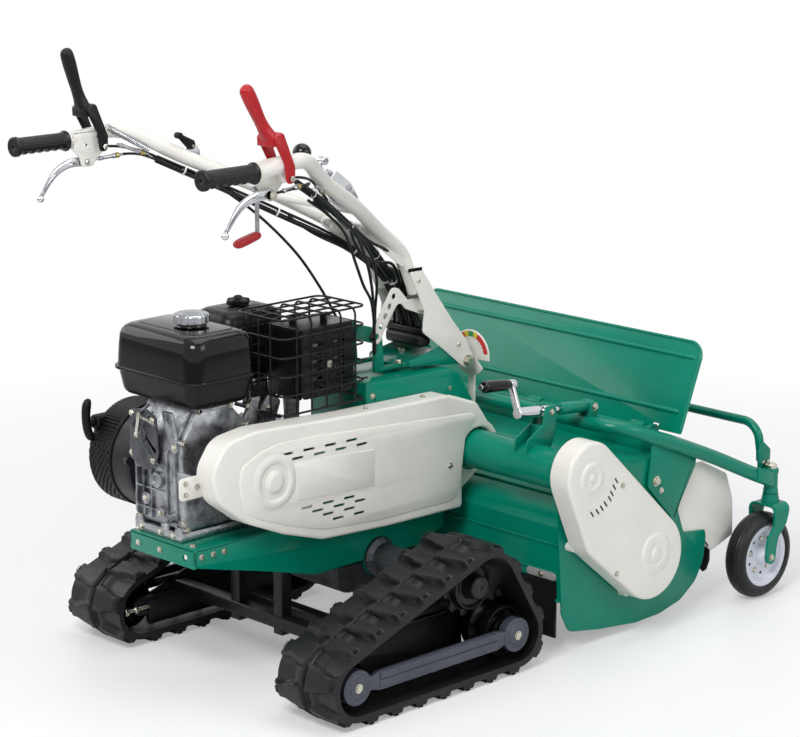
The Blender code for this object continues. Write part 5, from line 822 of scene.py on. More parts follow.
def crankcaseForms():      # 0 cast, 1 bright bolts, 2 dark plate, 3 light base plate
    low, high = engineLook["low"], engineLook["high"]
    left, right, rear, front = (engineLook[key] for key in ("left", "right", "rear", "front"))
    case = roundedOutline([(rear + .004, low + .02, .018), (front, low + .02, .014), (front, high - .05, .018),
            (front - .045, high, .004), (rear + .046, high, .004), (rear + .004, high - .062, .03)], 6)
    forms = plateForm(case, left + .03, right - .02, 0, .004)
    forms += plateForm(insetOutline(case, .006), left, left + .032, 0, .003)
    flange = insetOutline(case, -.0035)
    forms += plateForm(flange, right - .024, right - .017, 0, .0012)
    forms += plateForm(insetOutline(case, .001), right - .018, right, 0, .006)
    cover = [(right - .004, .076), (right + .012, .073, .006), (right + .017, .041, .004), (right + .022, .034, .003)]
    forms += softTurned(cover, 0, crankPlace, 56)
    for k in range(10):      # ribs that spread from the shaft bearing
        rib = turnedPlaces([(.036, -.0016), (.074, -.0016), (.074, .0016), (.036, .0016)], 36 * k + 12, crankPlace)
        forms += plateForm(rib, right + .004, right + .0155, 0, .0008)
    rim = insetOutline(case, .003)
    for k in np.linspace(0, len(rim), 9, endpoint=False).astype(int):
        y, z = rim[k]
        forms += turnedForm([(right - .026, 0), (right - .026, .007), (right + .0006, .0066), (right + .0006, 0)],
                0, (y, z), 20)
        forms += boltForm((right + .0004, y, z), 0, 1, .005, 1)
    for x in (-.097, -.074, -.052, -.004):      # upright ribs on the rear wall
        rib = roundedOutline([(rear + .01, .33), (rear - .0015, .338, .004), (rear - .0015, .47, .01),
                (rear + .026, .52)], 4)
        forms += plateForm(rib, x, x + .0032, 0, .001)
    for z in (.352, .392):      # level webs between them
        forms += blockForm((-.098, rear - .001, z), (-.003, rear + .006, z + .003), .0008, .001, 0)
    # round bosses
    for x, z, radius, out in ((-.03, .414, .015, .006), (-.064, .372, .012, .0045), (-.018, .352, .0125, .007),
            (-.086, .44, .0105, .004)):
        boss = [(rear + .01, radius + .002), (rear + .002, radius + .001, .002), (rear - out, radius, .0015),
                (rear - out, radius * .55, .001), (rear - out + .0022, radius * .5, .0005)]
        forms += softTurned(boss, 1, (x, z), 32)
    forms += boltRow(rear - .0045, ((-.018, .352), (-.064, .372)), 1, -1, .005, 1)
    plug = [(rear + .004, .0105), (rear - .012, .01, .001), (rear - .012, .007, .001), (rear - .018, .0066, .001)]
    forms += softTurned(plug, 1, (.012, .348), 12)      # oil plug
    for x, y in ((-.1, -.094), (-.02, -.096), (.018, -.092), (-.1, .098), (.018, .098)):
        forms += softTurned([(.318, .0125, 0), (.33, .0105, .002)], 2, (x, y), 24)
        forms += boltForm((x, y, .3295), 2, 1, .0058, 1)
    forms += blockForm((-.111, -.1035, low), (.0325, .113, .319), .0016, .006, 2, 3)
    for x in (-.088, -.03, .008):
        forms += boltForm((x, -.103, .31), 1, -1, .0048, 1)
    return forms


def cylinderForms():      # a block with equal fins along it, a head plate and turned ports
    forms = blockForm((-.085, .043, .378), (.015, .2, .47), .003, .006, 1)
    for n in range(8):      # cooling fins
        y = .078 + .0115 * n
        fin = roundedBox((-.104, .362), (.034, .486), .006, 4)
        forms += plateForm(fin, y, y + .0032, 1, .0009)
    head = roundedOutline([(.168, .366, .006), (.222, .372, .012), (.222, .476, .012), (.168, .482, .006)], 5)
    forms += plateForm(head, -.106, .036, 0, .003)
    for z in (.385, .405, .425, .445, .463):
        forms += blockForm((-.1, .22, z - .0015), (.03, .228, z + .0015), .0008, .001, 0)
    for x in (-.09, -.035, .02):
        for z in (.38, .468):
            forms += boltForm((x, .2215, z), 1, 1, .0055, 1)
    port = [(.47, .0175, 0), (.5, .015, .006), (.53, .0165, .003), (.5376, .019, .001)]
    forms += softTurned(port, 2, (.01, .196), 28)
    intake = [(.47, .014, 0), (.5596, .0125, .001)]
    forms += softTurned(intake, 2, (-.085, .195), 28)
    # carburettor
    forms += stackedForm((-.108, .166, 0), (-.062, .224, 0), ((.492, .004, .004), (.494, .001, .006),
            (.538, .001, .006), (.541, .004, .005)), 2, 2)
    return forms


def fittingForms():      # plates, stays and linkage on the rear of the case
    rear = engineLook["rear"]
    plate = roundedOutline([(-.108, .446, .012), (-.062, .428, .016), (-.03, .44, .01), (-.02, .47, .008),
            (-.026, .538, .01), (-.06, .55, .01), (-.104, .54, .01)], 5)
    forms = plateForm(plate, rear - .006, rear - .002, 1, .001, paint=2)
    rim = insetOutline(plate, .008)
    forms += pressedForm(rim, [(0.0, rear - .004), (0.0, rear - .0062), (.0016, rear - .0076)], axis=1, paint=2)
    forms += boltRow(rear - .0058, ((-.098, .534), (-.1, .456), (-.036, .452), (-.036, .53)), 1, -1, .0048, 1)
    dial = [(rear - .002, .0185), (rear - .0105, .018, .002), (rear - .0125, .012, .002), (rear - .016, .008, .002)]
    forms += softTurned(dial, 1, (-.072, .498), 36, 2)
    forms += boltForm((-.072, rear - .0158, .498), 1, -1, .0045, 1)
    lever = roundedOutline([(-.0765, .494, .003), (-.0675, .494, .003), (-.058, .542, .003), (-.066, .544, .003)], 4)
    forms += plateForm(lever, rear - .0185, rear - .016, 1, .0006, paint=1)
    turn = np.linspace(0, 18 * np.pi, 300)      # governor spring: a helix between the lever and the plate
    spring = np.stack([-.062 + .046 * turn / turn[-1], rear - .0172 + .0024 * np.cos(turn),
            .538 + .0024 * np.sin(turn) - .01 * turn / turn[-1]], 1)
    forms += sweptForm(spring, .0006, 6, 1)
    stay = roundedOutline([(-.014, .552, .003), (.014, .552, .003), (.026, .505, .006), (.031, .478, .004),
            (.018, .474, .004), (.002, .5, .01)], 5)
    hole = bore((.006, .536), .0042)
    forms += plateForm(stay, rear + .006, rear - .0015, 1, .0012, hole, 0)      # tank stay
    forms += boltForm((.022, rear - .0015, .486), 1, -1, .005, 1)
    forms += plateForm(roundedBox((rear + .003, .415), (rear + .013, .44), .003), .008, .0877, 0, .001, paint=0)
    pipe = splineThrough([(-.06, -.1, .556), (-.064, -.114, .545), (-.08, -.118, .528), (-.096, -.112, .505),
            (-.104, -.104, .48)], 8)
    forms += sweptForm(pipe, .0034, 12, 2)
    wire = splineThrough([(-.04, -.106, .546), (-.05, -.12, .53), (-.058, -.124, .5), (-.048, -.118, .47),
            (-.03, -.112, .45), (-.01, -.108, .44)], 8)
    forms += sweptForm(wire, .0018, 8, 2)
    return forms


def elbowForms():      # cast elbow, stays and bolts that show between the tank and the cover
    stay = roundedOutline([(.05, .47, .004), (.068, .47, .004), (.092, .52, .01), (.104, .552, .004),
            (.08, .552, .004), (.062, .52, .01)], 5)
    forms = plateForm(stay, .02, .028, 0, .0015)
    web = roundedOutline([(.06, .48, .003), (.152, .484, .004), (.17, .53, .008), (.14, .548, .006),
            (.108, .51, .012)], 5)
    forms += plateForm(web, .004, .01, 0, .0012)
    for x, y, z in ((.0275, .07, .536), (.0275, .064, .486), (.0095, .14, .52)):
        forms += boltForm((x, y, z), 0, 1, .005, 1)
    hose = splineThrough([(0.0, .06, .54), (.018, .085, .53), (.026, .12, .512), (.018, .16, .5)], 8)
    return forms + sweptForm(hose, .004, 12, 2)


def recoilForms():      # 0 dark shroud, 1 black mesh cover, 2 bolts
    centre = (-.01, .42)
    shroud = [(-.1153, .0985, .002), (-.125, .1, .004), (-.166, .102, .003), (-.168, .099, .001)]
    forms = softTurned(shroud, 0, centre, 96)
    for y, z in roundThe(centre, .0985, 28, 5):      # bolted ears round the shroud
        forms += softTurned([(-.1155, .0085, 0), (-.127, .008, .002)], 0, (y, z), 20)
        forms += boltForm((-.1268, y, z), 0, -1, .0042, 2)
    steps = [(-.167, .099), (-.1685, .104)]
    steps += [(x, .1048) for x in np.linspace(-.17, -.233, 44)]
    steps += [(-.235, .104), (-.24, .101), (-.245, .096), (-.25, .089), (-.253, .082), (-.2545, .074)]
    steps += [(-.255, r) for r in (.07, .064, .058, .052, .046)]
    steps += [(-.2552, .04), (-.2552, .0345), (-.2535, .032), (-.25, .03), (-.2496, 0)]

    def mesh(turn, share):      # staggered slots on the sides, long fins over the top
        row = share * 58
        upper = smoothStep(.25, .55, np.sin(turn))
        stagger = (np.floor(row / 4) % 2) * .5
        slot = smoothStep(.05, .25, np.sin(np.pi * ((row / 4) % 1)) - .3)
        slot = slot * smoothStep(-.2, .35, np.sin(2 * np.pi * (turn * 42 / (2 * np.pi) + stagger)))
        fin = smoothStep(-.3, .4, np.sin(turn * 84))
        side = smoothStep(3.5, 4.5, row) * smoothStep(45.5, 44.0, row)
        return .0026 * side * (slot * (1 - upper) + fin * upper)
    forms += reliefTurned(steps, 0, centre, 336, mesh, 1)
    spout = [(-.1018, .014, .003), (-.098, .015, .002), (-.056, .015, 0)]
    forms += softTurned(spout, 1, (-.2333, .488), 28, 1)
    for k in range(6):      # ribs on the end face
        rib = roundedOutline([(.04, -.003, .001), (.072, -.0045, .001), (.072, .0045, .001), (.04, .003, .001)], 3)
        forms += plateForm(turnedPlaces(rib, 60 * k + 30, centre), -.254, -.2553, 0, .0006, paint=1)
    return forms


def pullHandleForms():      # superellipse sections along a bowed line, and a turned stem
    middle = (-.2333, -.116, .488)
    t = np.linspace(-1, 1, 34)
    reach = np.sqrt(np.maximum(1 - np.abs(t) ** 5, 0))      # superellipse sections, thicker towards the ends
    turn = np.linspace(0, 2 * np.pi, 28, endpoint=False)
    wide = .0112 * (.8 + .2 * t ** 2) * reach
    deep = .0098 * (.85 + .25 * t ** 2) * reach
    z = middle[2] + .0065 + .0435 * t
    y = middle[1] - .004 + .009 * t ** 2 - .003 * t
    grid = np.stack([middle[0] + wide[:, None] * np.cos(turn), y[:, None] + deep[:, None] * np.sin(turn),
            np.broadcast_to(z[:, None], (len(t), len(turn)))], -1)
    forms = gridForm(grid, poles=(True, True))
    stem = [(-.1022, .009, .002), (-.11, .008, .002), (-.119, .006, 0)]
    return forms + softTurned(stem, 1, (middle[0], middle[2]), 24)


tankLook = {"low": (-.182, -.095, 0), "high": (.065, .07, 0), "neck": (-.04, -.01), "capRadius": .0345}


def tankForms():      # 0 gloss upper half, 1 duller lower half
    low, high = tankLook["low"], tankLook["high"]
    lower = ((.556, .026, .022), (.5568, .0205, .024), (.559, .015, .026), (.564, .01, .028), (.571, .0074, .03),
            (.59, .0045, .03), (.6065, .0018, .03), (.6085, .0012, .03))
    forms = stackedForm(low, high, lower, 2, 1)
    seam = ((.606, .001, .03), (.6064, -.0035, .033), (.6075, -.0046, .034), (.612, -.0048, .034),
            (.6133, -.004, .034), (.6137, .0006, .03))
    forms += stackedForm(low, high, seam, 2, 0)
    upper = ((.613, .0004, .03), (.616, .0006, .03), (.65, .0022, .03), (.674, .0042, .03), (.683, .007, .03),
            (.689, .0115, .029), (.693, .0175, .027), (.695, .0245, .024), (.6958, .033, .02))
    forms += stackedForm(low, high, upper, 2, 0)
    raised = roundedBox((-.15, -.062), (.034, .04), .02, 8)
    forms += pressedForm(raised, [(0.0, .6945), (0.0, .6958), (.001, .6968), (.004, .6974)], axis=2)
    neck = [(.694, .033, 0), (.6985, .029, .003), (.702, .028, .001), (.7038, .028, 0)]
    forms += softTurned(neck, 2, tankLook["neck"], 40)
    return forms


def fuelCapForms():      # a turned profile, drawn in by its grips
    radius = tankLook["capRadius"]
    profile = [(.7043, 0), (.7043, radius - .0015)] + [(z, radius) for z in np.linspace(.7052, .7178, 10)]
    profile += [(.72, radius - .0012), (.7216, radius - .004), (.7226, radius - .008), (.7222, radius - .011),
            (.7216, radius - .013), (.7236, .015), (.7248, .01), (.7252, .005), (.7253, 0)]

    def grips(turn, share):      # fourteen broad grip lobes with fine notches between
        body = smoothStep(.04, .12, share) * smoothStep(.66, .52, share)
        return .0016 * body * smoothStep(.55, .95, np.cos(turn * 14))
    return reliefTurned(profile, 2, tankLook["neck"], 168, grips)


cleanerLook = {"low": (-.172, .088, 0), "high": (-.05, .244, 0), "nut": (-.111, .166), "wings": 4}


def cleanerForms():      # 0 satin case, 1 dark clips
    low, high = cleanerLook["low"], cleanerLook["high"]
    base = ((.56, .014, .016), (.5612, .012, .018), (.57, .0085, .02), (.596, .005, .022), (.6, .0045, .022))
    forms = stackedForm(low, high, base)
    cover = ((.599, .003, .022), (.5996, .0006, .023), (.604, 0.0, .024), (.608, .0006, .024),
            (.6088, .0016, .024), (.674, .0032, .024), (.685, .006, .024), (.6925, .011, .022), (.697, .018, .02),
            (.699, .026, .018), (.6994, .034, .016))
    forms += stackedForm(low, high, cover)
    top = roundedBox((-.136, .122), (-.086, .21), .012, 6)
    forms += pressedForm(top, [(0.0, .698), (0.0, .6994), (.001, .7)], axis=2)
    for y in (.118, .214):
        forms += blockForm((-.0505, y - .008, .588), (-.0478, y + .008, .618), .0008, .002, 0, 1)
    return forms


def cleanerNutForms():      # a turned profile, drawn in between its wings
    profile = [(.7003, 0), (.7003, .013)] + [(z, .025) for z in np.linspace(.7034, .711, 6)]
    profile += [(.7122, .0235), (.713, .019), (.7132, .015), (.715, .011), (.719, .007), (.7201, .005), (.7202, 0)]

    def lobes(turn, share):      # the wings
        body = smoothStep(.06, .14, share) * smoothStep(.8, .62, share)
        return .01 * body * smoothStep(-.4, .6, -np.cos(turn * cleanerLook["wings"]))
    return reliefTurned(profile, 2, cleanerLook["nut"], 120, lobes)


mufflerLook = {"low": (-.03, .17, .538), "high": (.07, .308, .676), "louvreStep": .0165, "slotWidth": .03}


def mufflerForms():      # 0 black case and shield, 1 pale metal inside, 2 bright bolt
    (x0, y0, z0), (x1, y1, z1) = mufflerLook["low"], mufflerLook["high"]
    step = mufflerLook["louvreStep"]
    inner = roundedOutline([(x0 + .004, z0 + .004, .016), (x1 - .01, z0 + .004, .016),
            (x1 - .01, z1 - .006, .022), (x0 + .004, z1 - .006, .022)], 6)
    forms = plateForm(inner, y0 + .004, y1 - .004, 1, .004, paint=1)
    slots = []
    for y in (.21, .268):
        slots += [stadium((y, .576 + step * n), mufflerLook["slotWidth"], .0062) for n in range(5)]
    slots += [arcPoints((.188 + .0128 * n, .661), .0021, 0, 315, 7) for n in range(9)]
    shield = roundedOutline([(y0, z0, .012), (y1, z0, .012), (y1, z1, .014), (y0, z1, .014)], 5)
    forms += plateForm(shield, x1 - .002, x1, 0, .0008, slots)
    for y in (.21, .268):      # louvre lips over the slots
        for n in range(5):
            lip = roundedBox((y - .016, .5795 + step * n), (y + .016, .5835 + step * n), .0015)
            forms += plateForm(lip, x1 - .0004, x1 + .003, 0, .0012)
    forms += blockForm((x1 - .001, .2365, .548), (x1 + .0028, .2435, .652), .001, .002, 0)
    forms += boltForm((x1 + .0026, .24, .601), 0, 1, .0056, 2)
    rear = roundedOutline([(x0, z0, .012), (x1 - .001, z0, .004), (x1 - .001, z1, .014), (x0, z1, .014)], 5)
    forms += plateForm(rear, y0, y0 + .002, 1, .0008)
    forms += plateForm(rear, y1 - .002, y1, 1, .0008)
    forms += blockForm((x0, y0, z1 - .004), (x1 - .004, y1, z1), .0015, .006, 2)
    for n in range(12):      # edge teeth where the shield folds over the rear
        forms += blockForm((x0 + .01 + .0072 * n, y0 - .0012, z1 - .012), (x0 + .0135 + .0072 * n, y0 + .001, z1
                - .004), .0005, .001, 1)
    for x, y in ((.012, .206), (.04, .262)):      # two folded tabs on top
        forms += blockForm((x - .01, y - .008, z1 - .001), (x + .01, y - .0055, z1 + .018), .0008, .002, 1)
        forms += blockForm((x - .01, y - .008, z1 + .0155), (x + .01, y + .01, z1 + .018), .0008, .002, 2)
    pipe = [(y1 - .004, .013, 0), (y1 + .006, .0125, .001), (y1 + .006, .0095, .001), (y1 + .001, .009, 0)]
    forms += softTurned(pipe, 1, (x0 + .03, z1 - .03), 32)
    return forms


cageLook = {"low": (-.046, .1, .52), "high": (.094, .324, .71), "wire": .0021, "corner": .02, "hoops": 6}


def cageForms():      # closed hoops at equal steps up, crossed by wires bent over the top
    (x0, y0, z0), (x1, y1, z1) = cageLook["low"], cageLook["high"]
    wire, corner = cageLook["wire"], cageLook["corner"]
    hoop = roundedBox((x0 + wire, y0 + wire), (x1 - wire, y1 - wire), corner, 7)
    forms = []
    for n in range(cageLook["hoops"]):
        z = z0 + wire + (z1 - z0 - 2 * wire) * n / (cageLook["hoops"] - 1)
        ring = np.hstack([hoop, np.full((len(hoop), 1), z)])
        forms += wireForm(ring, wire, 10)
    lift = wire * 1.5
    for y in (.14, .178, .216, .254, .292):      # upright, over the top and down the far side
        path = roundedOutline([(x1 - lift, z0 + .002), (x1 - lift, z1 - lift, .014), (x0 + lift, z1 - lift, .014),
                (x0 + lift, z0 + .002)], 7)
        forms += sweptForm(onAxis(1, y, path[:, 0], path[:, 1]), wire, 10)
    for x in (-.012, .022, .056):      # front to back over the top, ends left long at the front
        path = roundedOutline([(y0 + lift, z0 + .002), (y0 + lift, z1 - lift, .014), (y1 - .002, z1 - lift)], 7)
        forms += sweptForm(onAxis(0, x, path[:, 0], path[:, 1]), wire, 10)
    for n in (1, 2):      # wire ends that reach past the corner
        z = z0 + wire + (z1 - z0 - 2 * wire) * n / (cageLook["hoops"] - 1)
        forms += sweptForm([(x1 - .004, y1 - .012, z + wire * 1.6), (x1 - .004, y1, z + wire * 1.6)], wire, 10)
    z = z0 + (z1 - z0 - .004) / 5
    for y in (.21, .27):
        forms += blockForm((.0733, y, z + .0003), (x1 - .002, y + .01, z + .0036), .0006, .002, 2)
    return forms


engineForms = crankcaseForms() + cylinderForms() + fittingForms() + elbowForms()
make("engineBlock", engineForms, "castAluminium zincBolt darkCast platedSteel", "machine", "engine_block", sharp=34)
make("recoilStarter", recoilForms(), "darkIron mouldedBlack zincBolt", "machine", "recoil_housing", sharp=40)
make("pullHandle", pullHandleForms(), "mouldedBlack", "recoil_pull", "recoil_handle")
rope = sweptForm([(-.2333, y, .488) for y in np.linspace(-.07, -.113, 24)], .0022, 12)
starterRope = make("starterRope", rope, "cable")      # left on no body; the real rope draws out of the reel with the handle
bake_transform(starterRope)
make("fuelTank", tankForms(), "glossBlack satinBlack", "machine", "fuel_tank", sharp=40)
make("fuelCap", fuelCapForms(), "capChrome", "fuel_cap", "fuel_cap", sharp=40)
make("airCleaner", cleanerForms(), "satinBlack darkIron", "machine", "air_cleaner", sharp=40)
make("airCleanerNut", cleanerNutForms(), "mouldedBlack", "air_cleaner_nut", "air_cleaner_nut", sharp=40)
make("muffler", mufflerForms(), "satinBlack castAluminium zincBolt", "machine", "muffler", sharp=35)
make("mufflerCage", cageForms(), "satinBlack", "machine", "muffler_guard", sharp=40)
print("engine ready")


# Handle

gripPlace = (.275, 1.036)
clutchPlace = (-.048, 1.021)
steerPlace = (-.08, .993)
crossRod = (.262, .906)
tiltPlace = (.631, .542)


def barPath(side):      # the middle line of one handle tube
    return splineThrough([(side * .0457, .497, .704), (side * .0457, .4745, .755), (side * .048, .452, .793),
            (side * .07, .37, .85), (side * .13, .25, .92), (side * .2, .11, .99), (side * .245, .04, 1.032),
            (side * .266, 0.0, 1.045), (side * .273, -.035, 1.045), (side * .275, -.1145, 1.0365)], 8)


def spindleForm(stations, axisX, paint=0, sides=28):
    # (y, z, half width, half depth) stations lofted as rounded sections square to the line through them
    line = splineThrough([(y, z, wide, deep) for y, z, wide, deep in stations], 6)
    step = np.gradient(line[:, :2], axis=0)
    step /= np.linalg.norm(step, axis=1)[:, None]
    turn = np.linspace(0, 2 * np.pi, sides, endpoint=False)
    squash = lambda value: np.sign(value) * np.abs(value) ** .72      # between a circle and a rounded box
    wide = line[:, 2:3] * squash(np.cos(turn))
    deep = line[:, 3:4] * squash(np.sin(turn))
    grid = np.stack([axisX + wide, line[:, :1] - step[:, 1:2] * deep, line[:, 1:2] + step[:, :1] * deep], -1)
    return gridForm(grid, paint=paint)


def handlebarForms():      # 0 white, 1 bright, 2 chrome
    forms = []
    for side in (-1, 1):
        forms += sweptForm(barPath(side), .0143, 28)
        forms += rodForm(-.235, -.106, .0113, 1, (side * gripPlace[0], gripPlace[1]), 20)
        collar = [(-.1165, .0158, .001), (-.1125, .016, .001), (-.102, .0152, .002)]
        forms += softTurned(collar, 1, (side * gripPlace[0], gripPlace[1] + .0004), 32)
        bracket = roundedOutline([(-.113, 1.05, .006), (-.029, 1.051, .01), (-.03, 1.02, .008),
                (-.056, .996, .008), (-.066, .9835, .007), (-.09, .9835, .007), (-.0965, 1.002, .01),
                (-.113, 1.019, .006)], 5)
        slot = [stadium((-.082, 1.026), .012, .005, -20)]
        forms += plateForm(bracket, side * .26, side * .2645, 0, .0012, slot)
        fold = roundedOutline([(-.113, 1.0475, .002), (-.03, 1.0485, .002), (-.03, 1.06, .004),
                (-.113, 1.0535, .004)], 4)
        forms += plateForm(fold, side * .26, side * .2735, 0, .003)
        back = roundedOutline([(-.1135, 1.022, .002), (-.1095, 1.02, .002), (-.1095, 1.05, .002),
                (-.1135, 1.05, .002)], 3)
        forms += plateForm(back, side * .26, side * .276, 0, .001)
        low = min(side * .2605, side * .2825)
        forms += rodForm(low, low + .022, .0039, 0, steerPlace, 20, 1)
        forms += boltForm((side * .2815, *steerPlace), 0, side, .0052, 1)
        forms += boltForm((side * .26, *steerPlace), 0, -side, .0046, 1)
        forms += boltForm((side * .26, -.05, 1.04), 0, -side, .0046, 1)
        reach = .0262
        forms += rodForm(side * .27 - reach, side * .27 + reach, .0039, 0, clutchPlace, 20, 1)
        for way in (-1, 1):
            forms += boltForm((side * .27 + way * .0246, *clutchPlace), 0, way, .0056, 1, False)
        y, z = clutchPlace
        lug = roundedOutline([(y - .008, z - .009, .005), (y + .008, z - .009, .005), (y + .012, 1.04),
                (y - .012, 1.04)], 5)
        forms += plateForm(lug, side * .262, side * .28, 0, .0015)
    tie = roundedOutline([(-.058, 0.0, .003), (.058, 0.0, .003), (.052, .108, .016), (-.052, .108, .016)], 5)
    span = np.array([(x, .352 + y * .858, .8605 - y * .514) for x, y in tie])
    back = span - (0, .0021, .0034)
    forms += gridForm(np.stack([back, span]), paint=0)
    for x in (-.034, .034):
        for share in (.25, .75):
            place = (x, .352 + .108 * share * .858, .8612 - .108 * share * .514)
            forms += turnedBy(boltForm(place, 2, 1, .0042, 1), 31, place)
    flank = roundedOutline([(.33, .852, .01), (.352, .87, .01), (.42, .834, .006), (.47, .77, .01),
            (.452, .76, .01), (.4, .8, .006)], 5)
    for side in (-1, 1):      # white side plates that fill the crotch of the tubes
        forms += plateForm(flank, side * .054, side * .057, 0, .001, [stadium((.352, .847), .026, .009, -30)])
    forms += rodForm(-.124, .124, .008, 0, crossRod, 24, soft=.002)
    pod = roundedOutline([(.112, .985, .004), (.15, .965, .004), (.15, 1.0, .006), (.135, 1.018, .006),
            (.12, 1.018, .006)], 4)
    forms += plateForm(pod, -.206, -.2, 0, .0012, paint=2)
    forms += rodForm(-.204, -.192, .0029, 0, (.127, 1.01), 16, 1)
    forms += rodForm(.227, .2625, .0034, 0, (-.079, 1.002), 16, 1)
    return forms


def shifterForms():      # chrome gear plate, springs and cable stays by the right tube
    forms = []
    plate = roundedOutline([(.196, .962, .008), (.224, .986, .008), (.262, .958, .01), (.282, .926, .008),
            (.262, .9, .008), (.232, .916, .01)], 6)
    forms += plateForm(plate, .096, .099, 0, .0008, [stadium((.238, .946), .024, .007, -48)])
    forms += plateForm(plate, .111, .1135, 0, .0008)
    for y, z in ((.214, .964), (.256, .948), (.268, .92), (.246, .918)):
        forms += boltForm((.1133, y, z), 0, 1, .0052)
        forms += rodForm(.095, .114, .0034, 0, (y, z), 16)
    for start, end, wraps in (((.104, .206, .986), (.104, .25, .966), 16), ((.092, .252, .93), (.088, .29, .896),
            14)):
        t = np.linspace(0, 1, wraps * 12)
        turn = t * wraps * 2 * np.pi
        line = np.array(start) + (np.array(end) - np.array(start)) * t[:, None]
        coil = line + np.stack([.0042 * np.cos(turn), .0026 * np.sin(turn), .0034 * np.sin(turn)], 1)
        forms += sweptForm(coil, .0008, 6)
    arm = splineThrough([(.104, .214, .964), (.104, .2, .984), (.103, .192, 1.0), (.102, .2, 1.01)], 8)
    forms += sweptForm(arm, .0034, 12)
    forms += rodForm(.094, .112, .008, 0, (.199, 1.006), 24, soft=.002)
    for x, y, z in ((-.118, .228, .934), (-.106, .246, .918)):      # small stays on the left tube
        forms += rodForm(x - .008, x + .008, .0075, 0, (y, z), 20, soft=.002)
    post = splineThrough([(-.112, .236, .922), (-.11, .222, .946), (-.108, .216, .962)], 8)
    forms += sweptForm(post, .0036, 12)
    forms += rodForm(-.114, -.1, .007, 0, (.216, .964), 20, soft=.002)
    return forms


def hangingForms():      # cables that hang from the tubes in loose loops and end on the turntable's post
    routes = [
        [(.172, .1, .95), (.15, .165, .915), (.135, .225, .868), (.12, .268, .8), (.104, .302, .752),
            (.082, .342, .714), (.064, .366, .676), (.054, .378, .636), (.042, .389, .592)],
        [(.165, .12, .945), (.14, .2, .905), (.12, .268, .858), (.108, .308, .795), (.093, .334, .745),
            (.073, .357, .706), (.06, .371, .67), (.051, .379, .64), (.042, .3895, .606)],
        [(.15, .15, .936), (.126, .225, .892), (.104, .292, .846), (.09, .34, .796), (.078, .362, .742),
            (.062, .373, .69), (.053, .379, .652), (.05, .37, .628), (.042, .3895, .62)],
        [(-.15, .15, .936), (-.126, .235, .868), (-.096, .304, .79), (-.073, .349, .715), (-.054, .374, .655),
            (-.042, .3895, .612)],
    ]
    forms = []
    for route in routes:
        path = splineThrough(route, 10)
        t = np.linspace(0, 1, len(path))
        forms += sweptForm(path, np.interp(t, [0, .93, .935, .985, 1], [.0029, .0029, .0042, .0042, .0034]), 12)
    return forms


def adjusterForms():      # 0 silver cable adjusters, 1 yellow rings, 3 the return spring
    forms = []
    for side in (-1, 1):
        stretches = [((side * .268, -.052, .995), (side * .262, .006, .999)), ((side * .236, .06, .9905),
                (side * .216, .098, .969))]
        if side < 0:
            stretches += [((-.262, -.006, 1.02), (-.236, .052, .996))]
        for start, end in stretches:
            start, end = np.array(start), np.array(end)
            t = np.linspace(0, 1, 25)
            radius = np.interp(t, [0, .1, .12, .2, .22, .6, .62, .72, .74, .86, .88, 1],
                    [.0026, .003, .0046, .0046, .0036, .0036, .005, .005, .0036, .0036, .0028, .0026])
            forms += sweptForm(start + (end - start) * t[:, None], radius, 14, 0)
            middle = np.array([start + (end - start) * share for share in (.74, .8, .86)])
            forms += sweptForm(middle, np.array([.0052, .0056, .0052]), 16, 1)
    eye = np.array([-.26, -.03, 1.056])      # return spring above the left tube's inner side
    far = np.array([-.23, .046, 1.008])
    t = np.linspace(0, 1, 330)
    turn = t * 27 * 2 * np.pi
    way = (far - eye) / np.linalg.norm(far - eye)
    across = np.cross(way, (0, 0, 1))
    across /= np.linalg.norm(across)
    upright = np.cross(across, way)
    coil = eye + (far - eye) * t[:, None] + .0056 * (np.cos(turn)[:, None] * across + np.sin(turn)[:, None] * upright)
    forms += sweptForm(coil, .0011, 6, 3)
    return forms


def columnForms():      # 0 white, 1 bright bolts
    outline = roundedOutline([(.463, .754, .006), (.5, .752, .008), (.535, .703, .02), (.582, .641, .03),
            (.627, .588, .016), (.65, .545, .014), (.632, .524, .014), (.606, .541, .014), (.563, .576, .01),
            (.503, .621, .01), (.508, .663, .01), (.49, .701, .02)], 6)
    hole = bore(tiltPlace, .0064)
    forms = []
    for side in (-1, 1):
        forms += plateForm(outline, side * .06, side * .064, 0, .0012, hole)
        for y, z in ((.489, .729), (.6045, .581)):
            forms += capScrewForm((side * .064, y, z), 0, side, .0046, 1)
    web = roundedOutline([(.5, .7505), (.535, .7015, .02), (.582, .6395, .03), (.618, .592), (.614, .59),
            (.578, .637, .03), (.531, .699, .02), (.4965, .7475)], 6)
    forms += plateForm(web, -.061, .061, 0, .0005)
    clampPlate = roundedOutline([(.462, .751, .003), (.5, .75, .003), (.5, .7545, .003), (.462, .7555, .003)], 3)
    forms += plateForm(clampPlate, -.064, .064, 0, .001)
    plate = roundedOutline([(.521, .652, .002), (.521, .688, .002), (.476, .69, .004), (.452, .716, .012),
            (.434, .722, .012), (.382, .644, .02), (.376, .618, .014), (.398, .606, .014), (.408, .63, .01),
            (.452, .692, .012), (.47, .672, .004)], 6)
    holes = []
    for n in range(5):
        share = n / 4
        holes += bore((.438 - .047 * share, .702 - .075 * share), .0062)
    forms += plateForm(plate, .044, .048, 0, .0009, holes)
    forms += blockForm((.045, .507, .664), (.061, .518, .684), .001, .002, 0)
    return forms


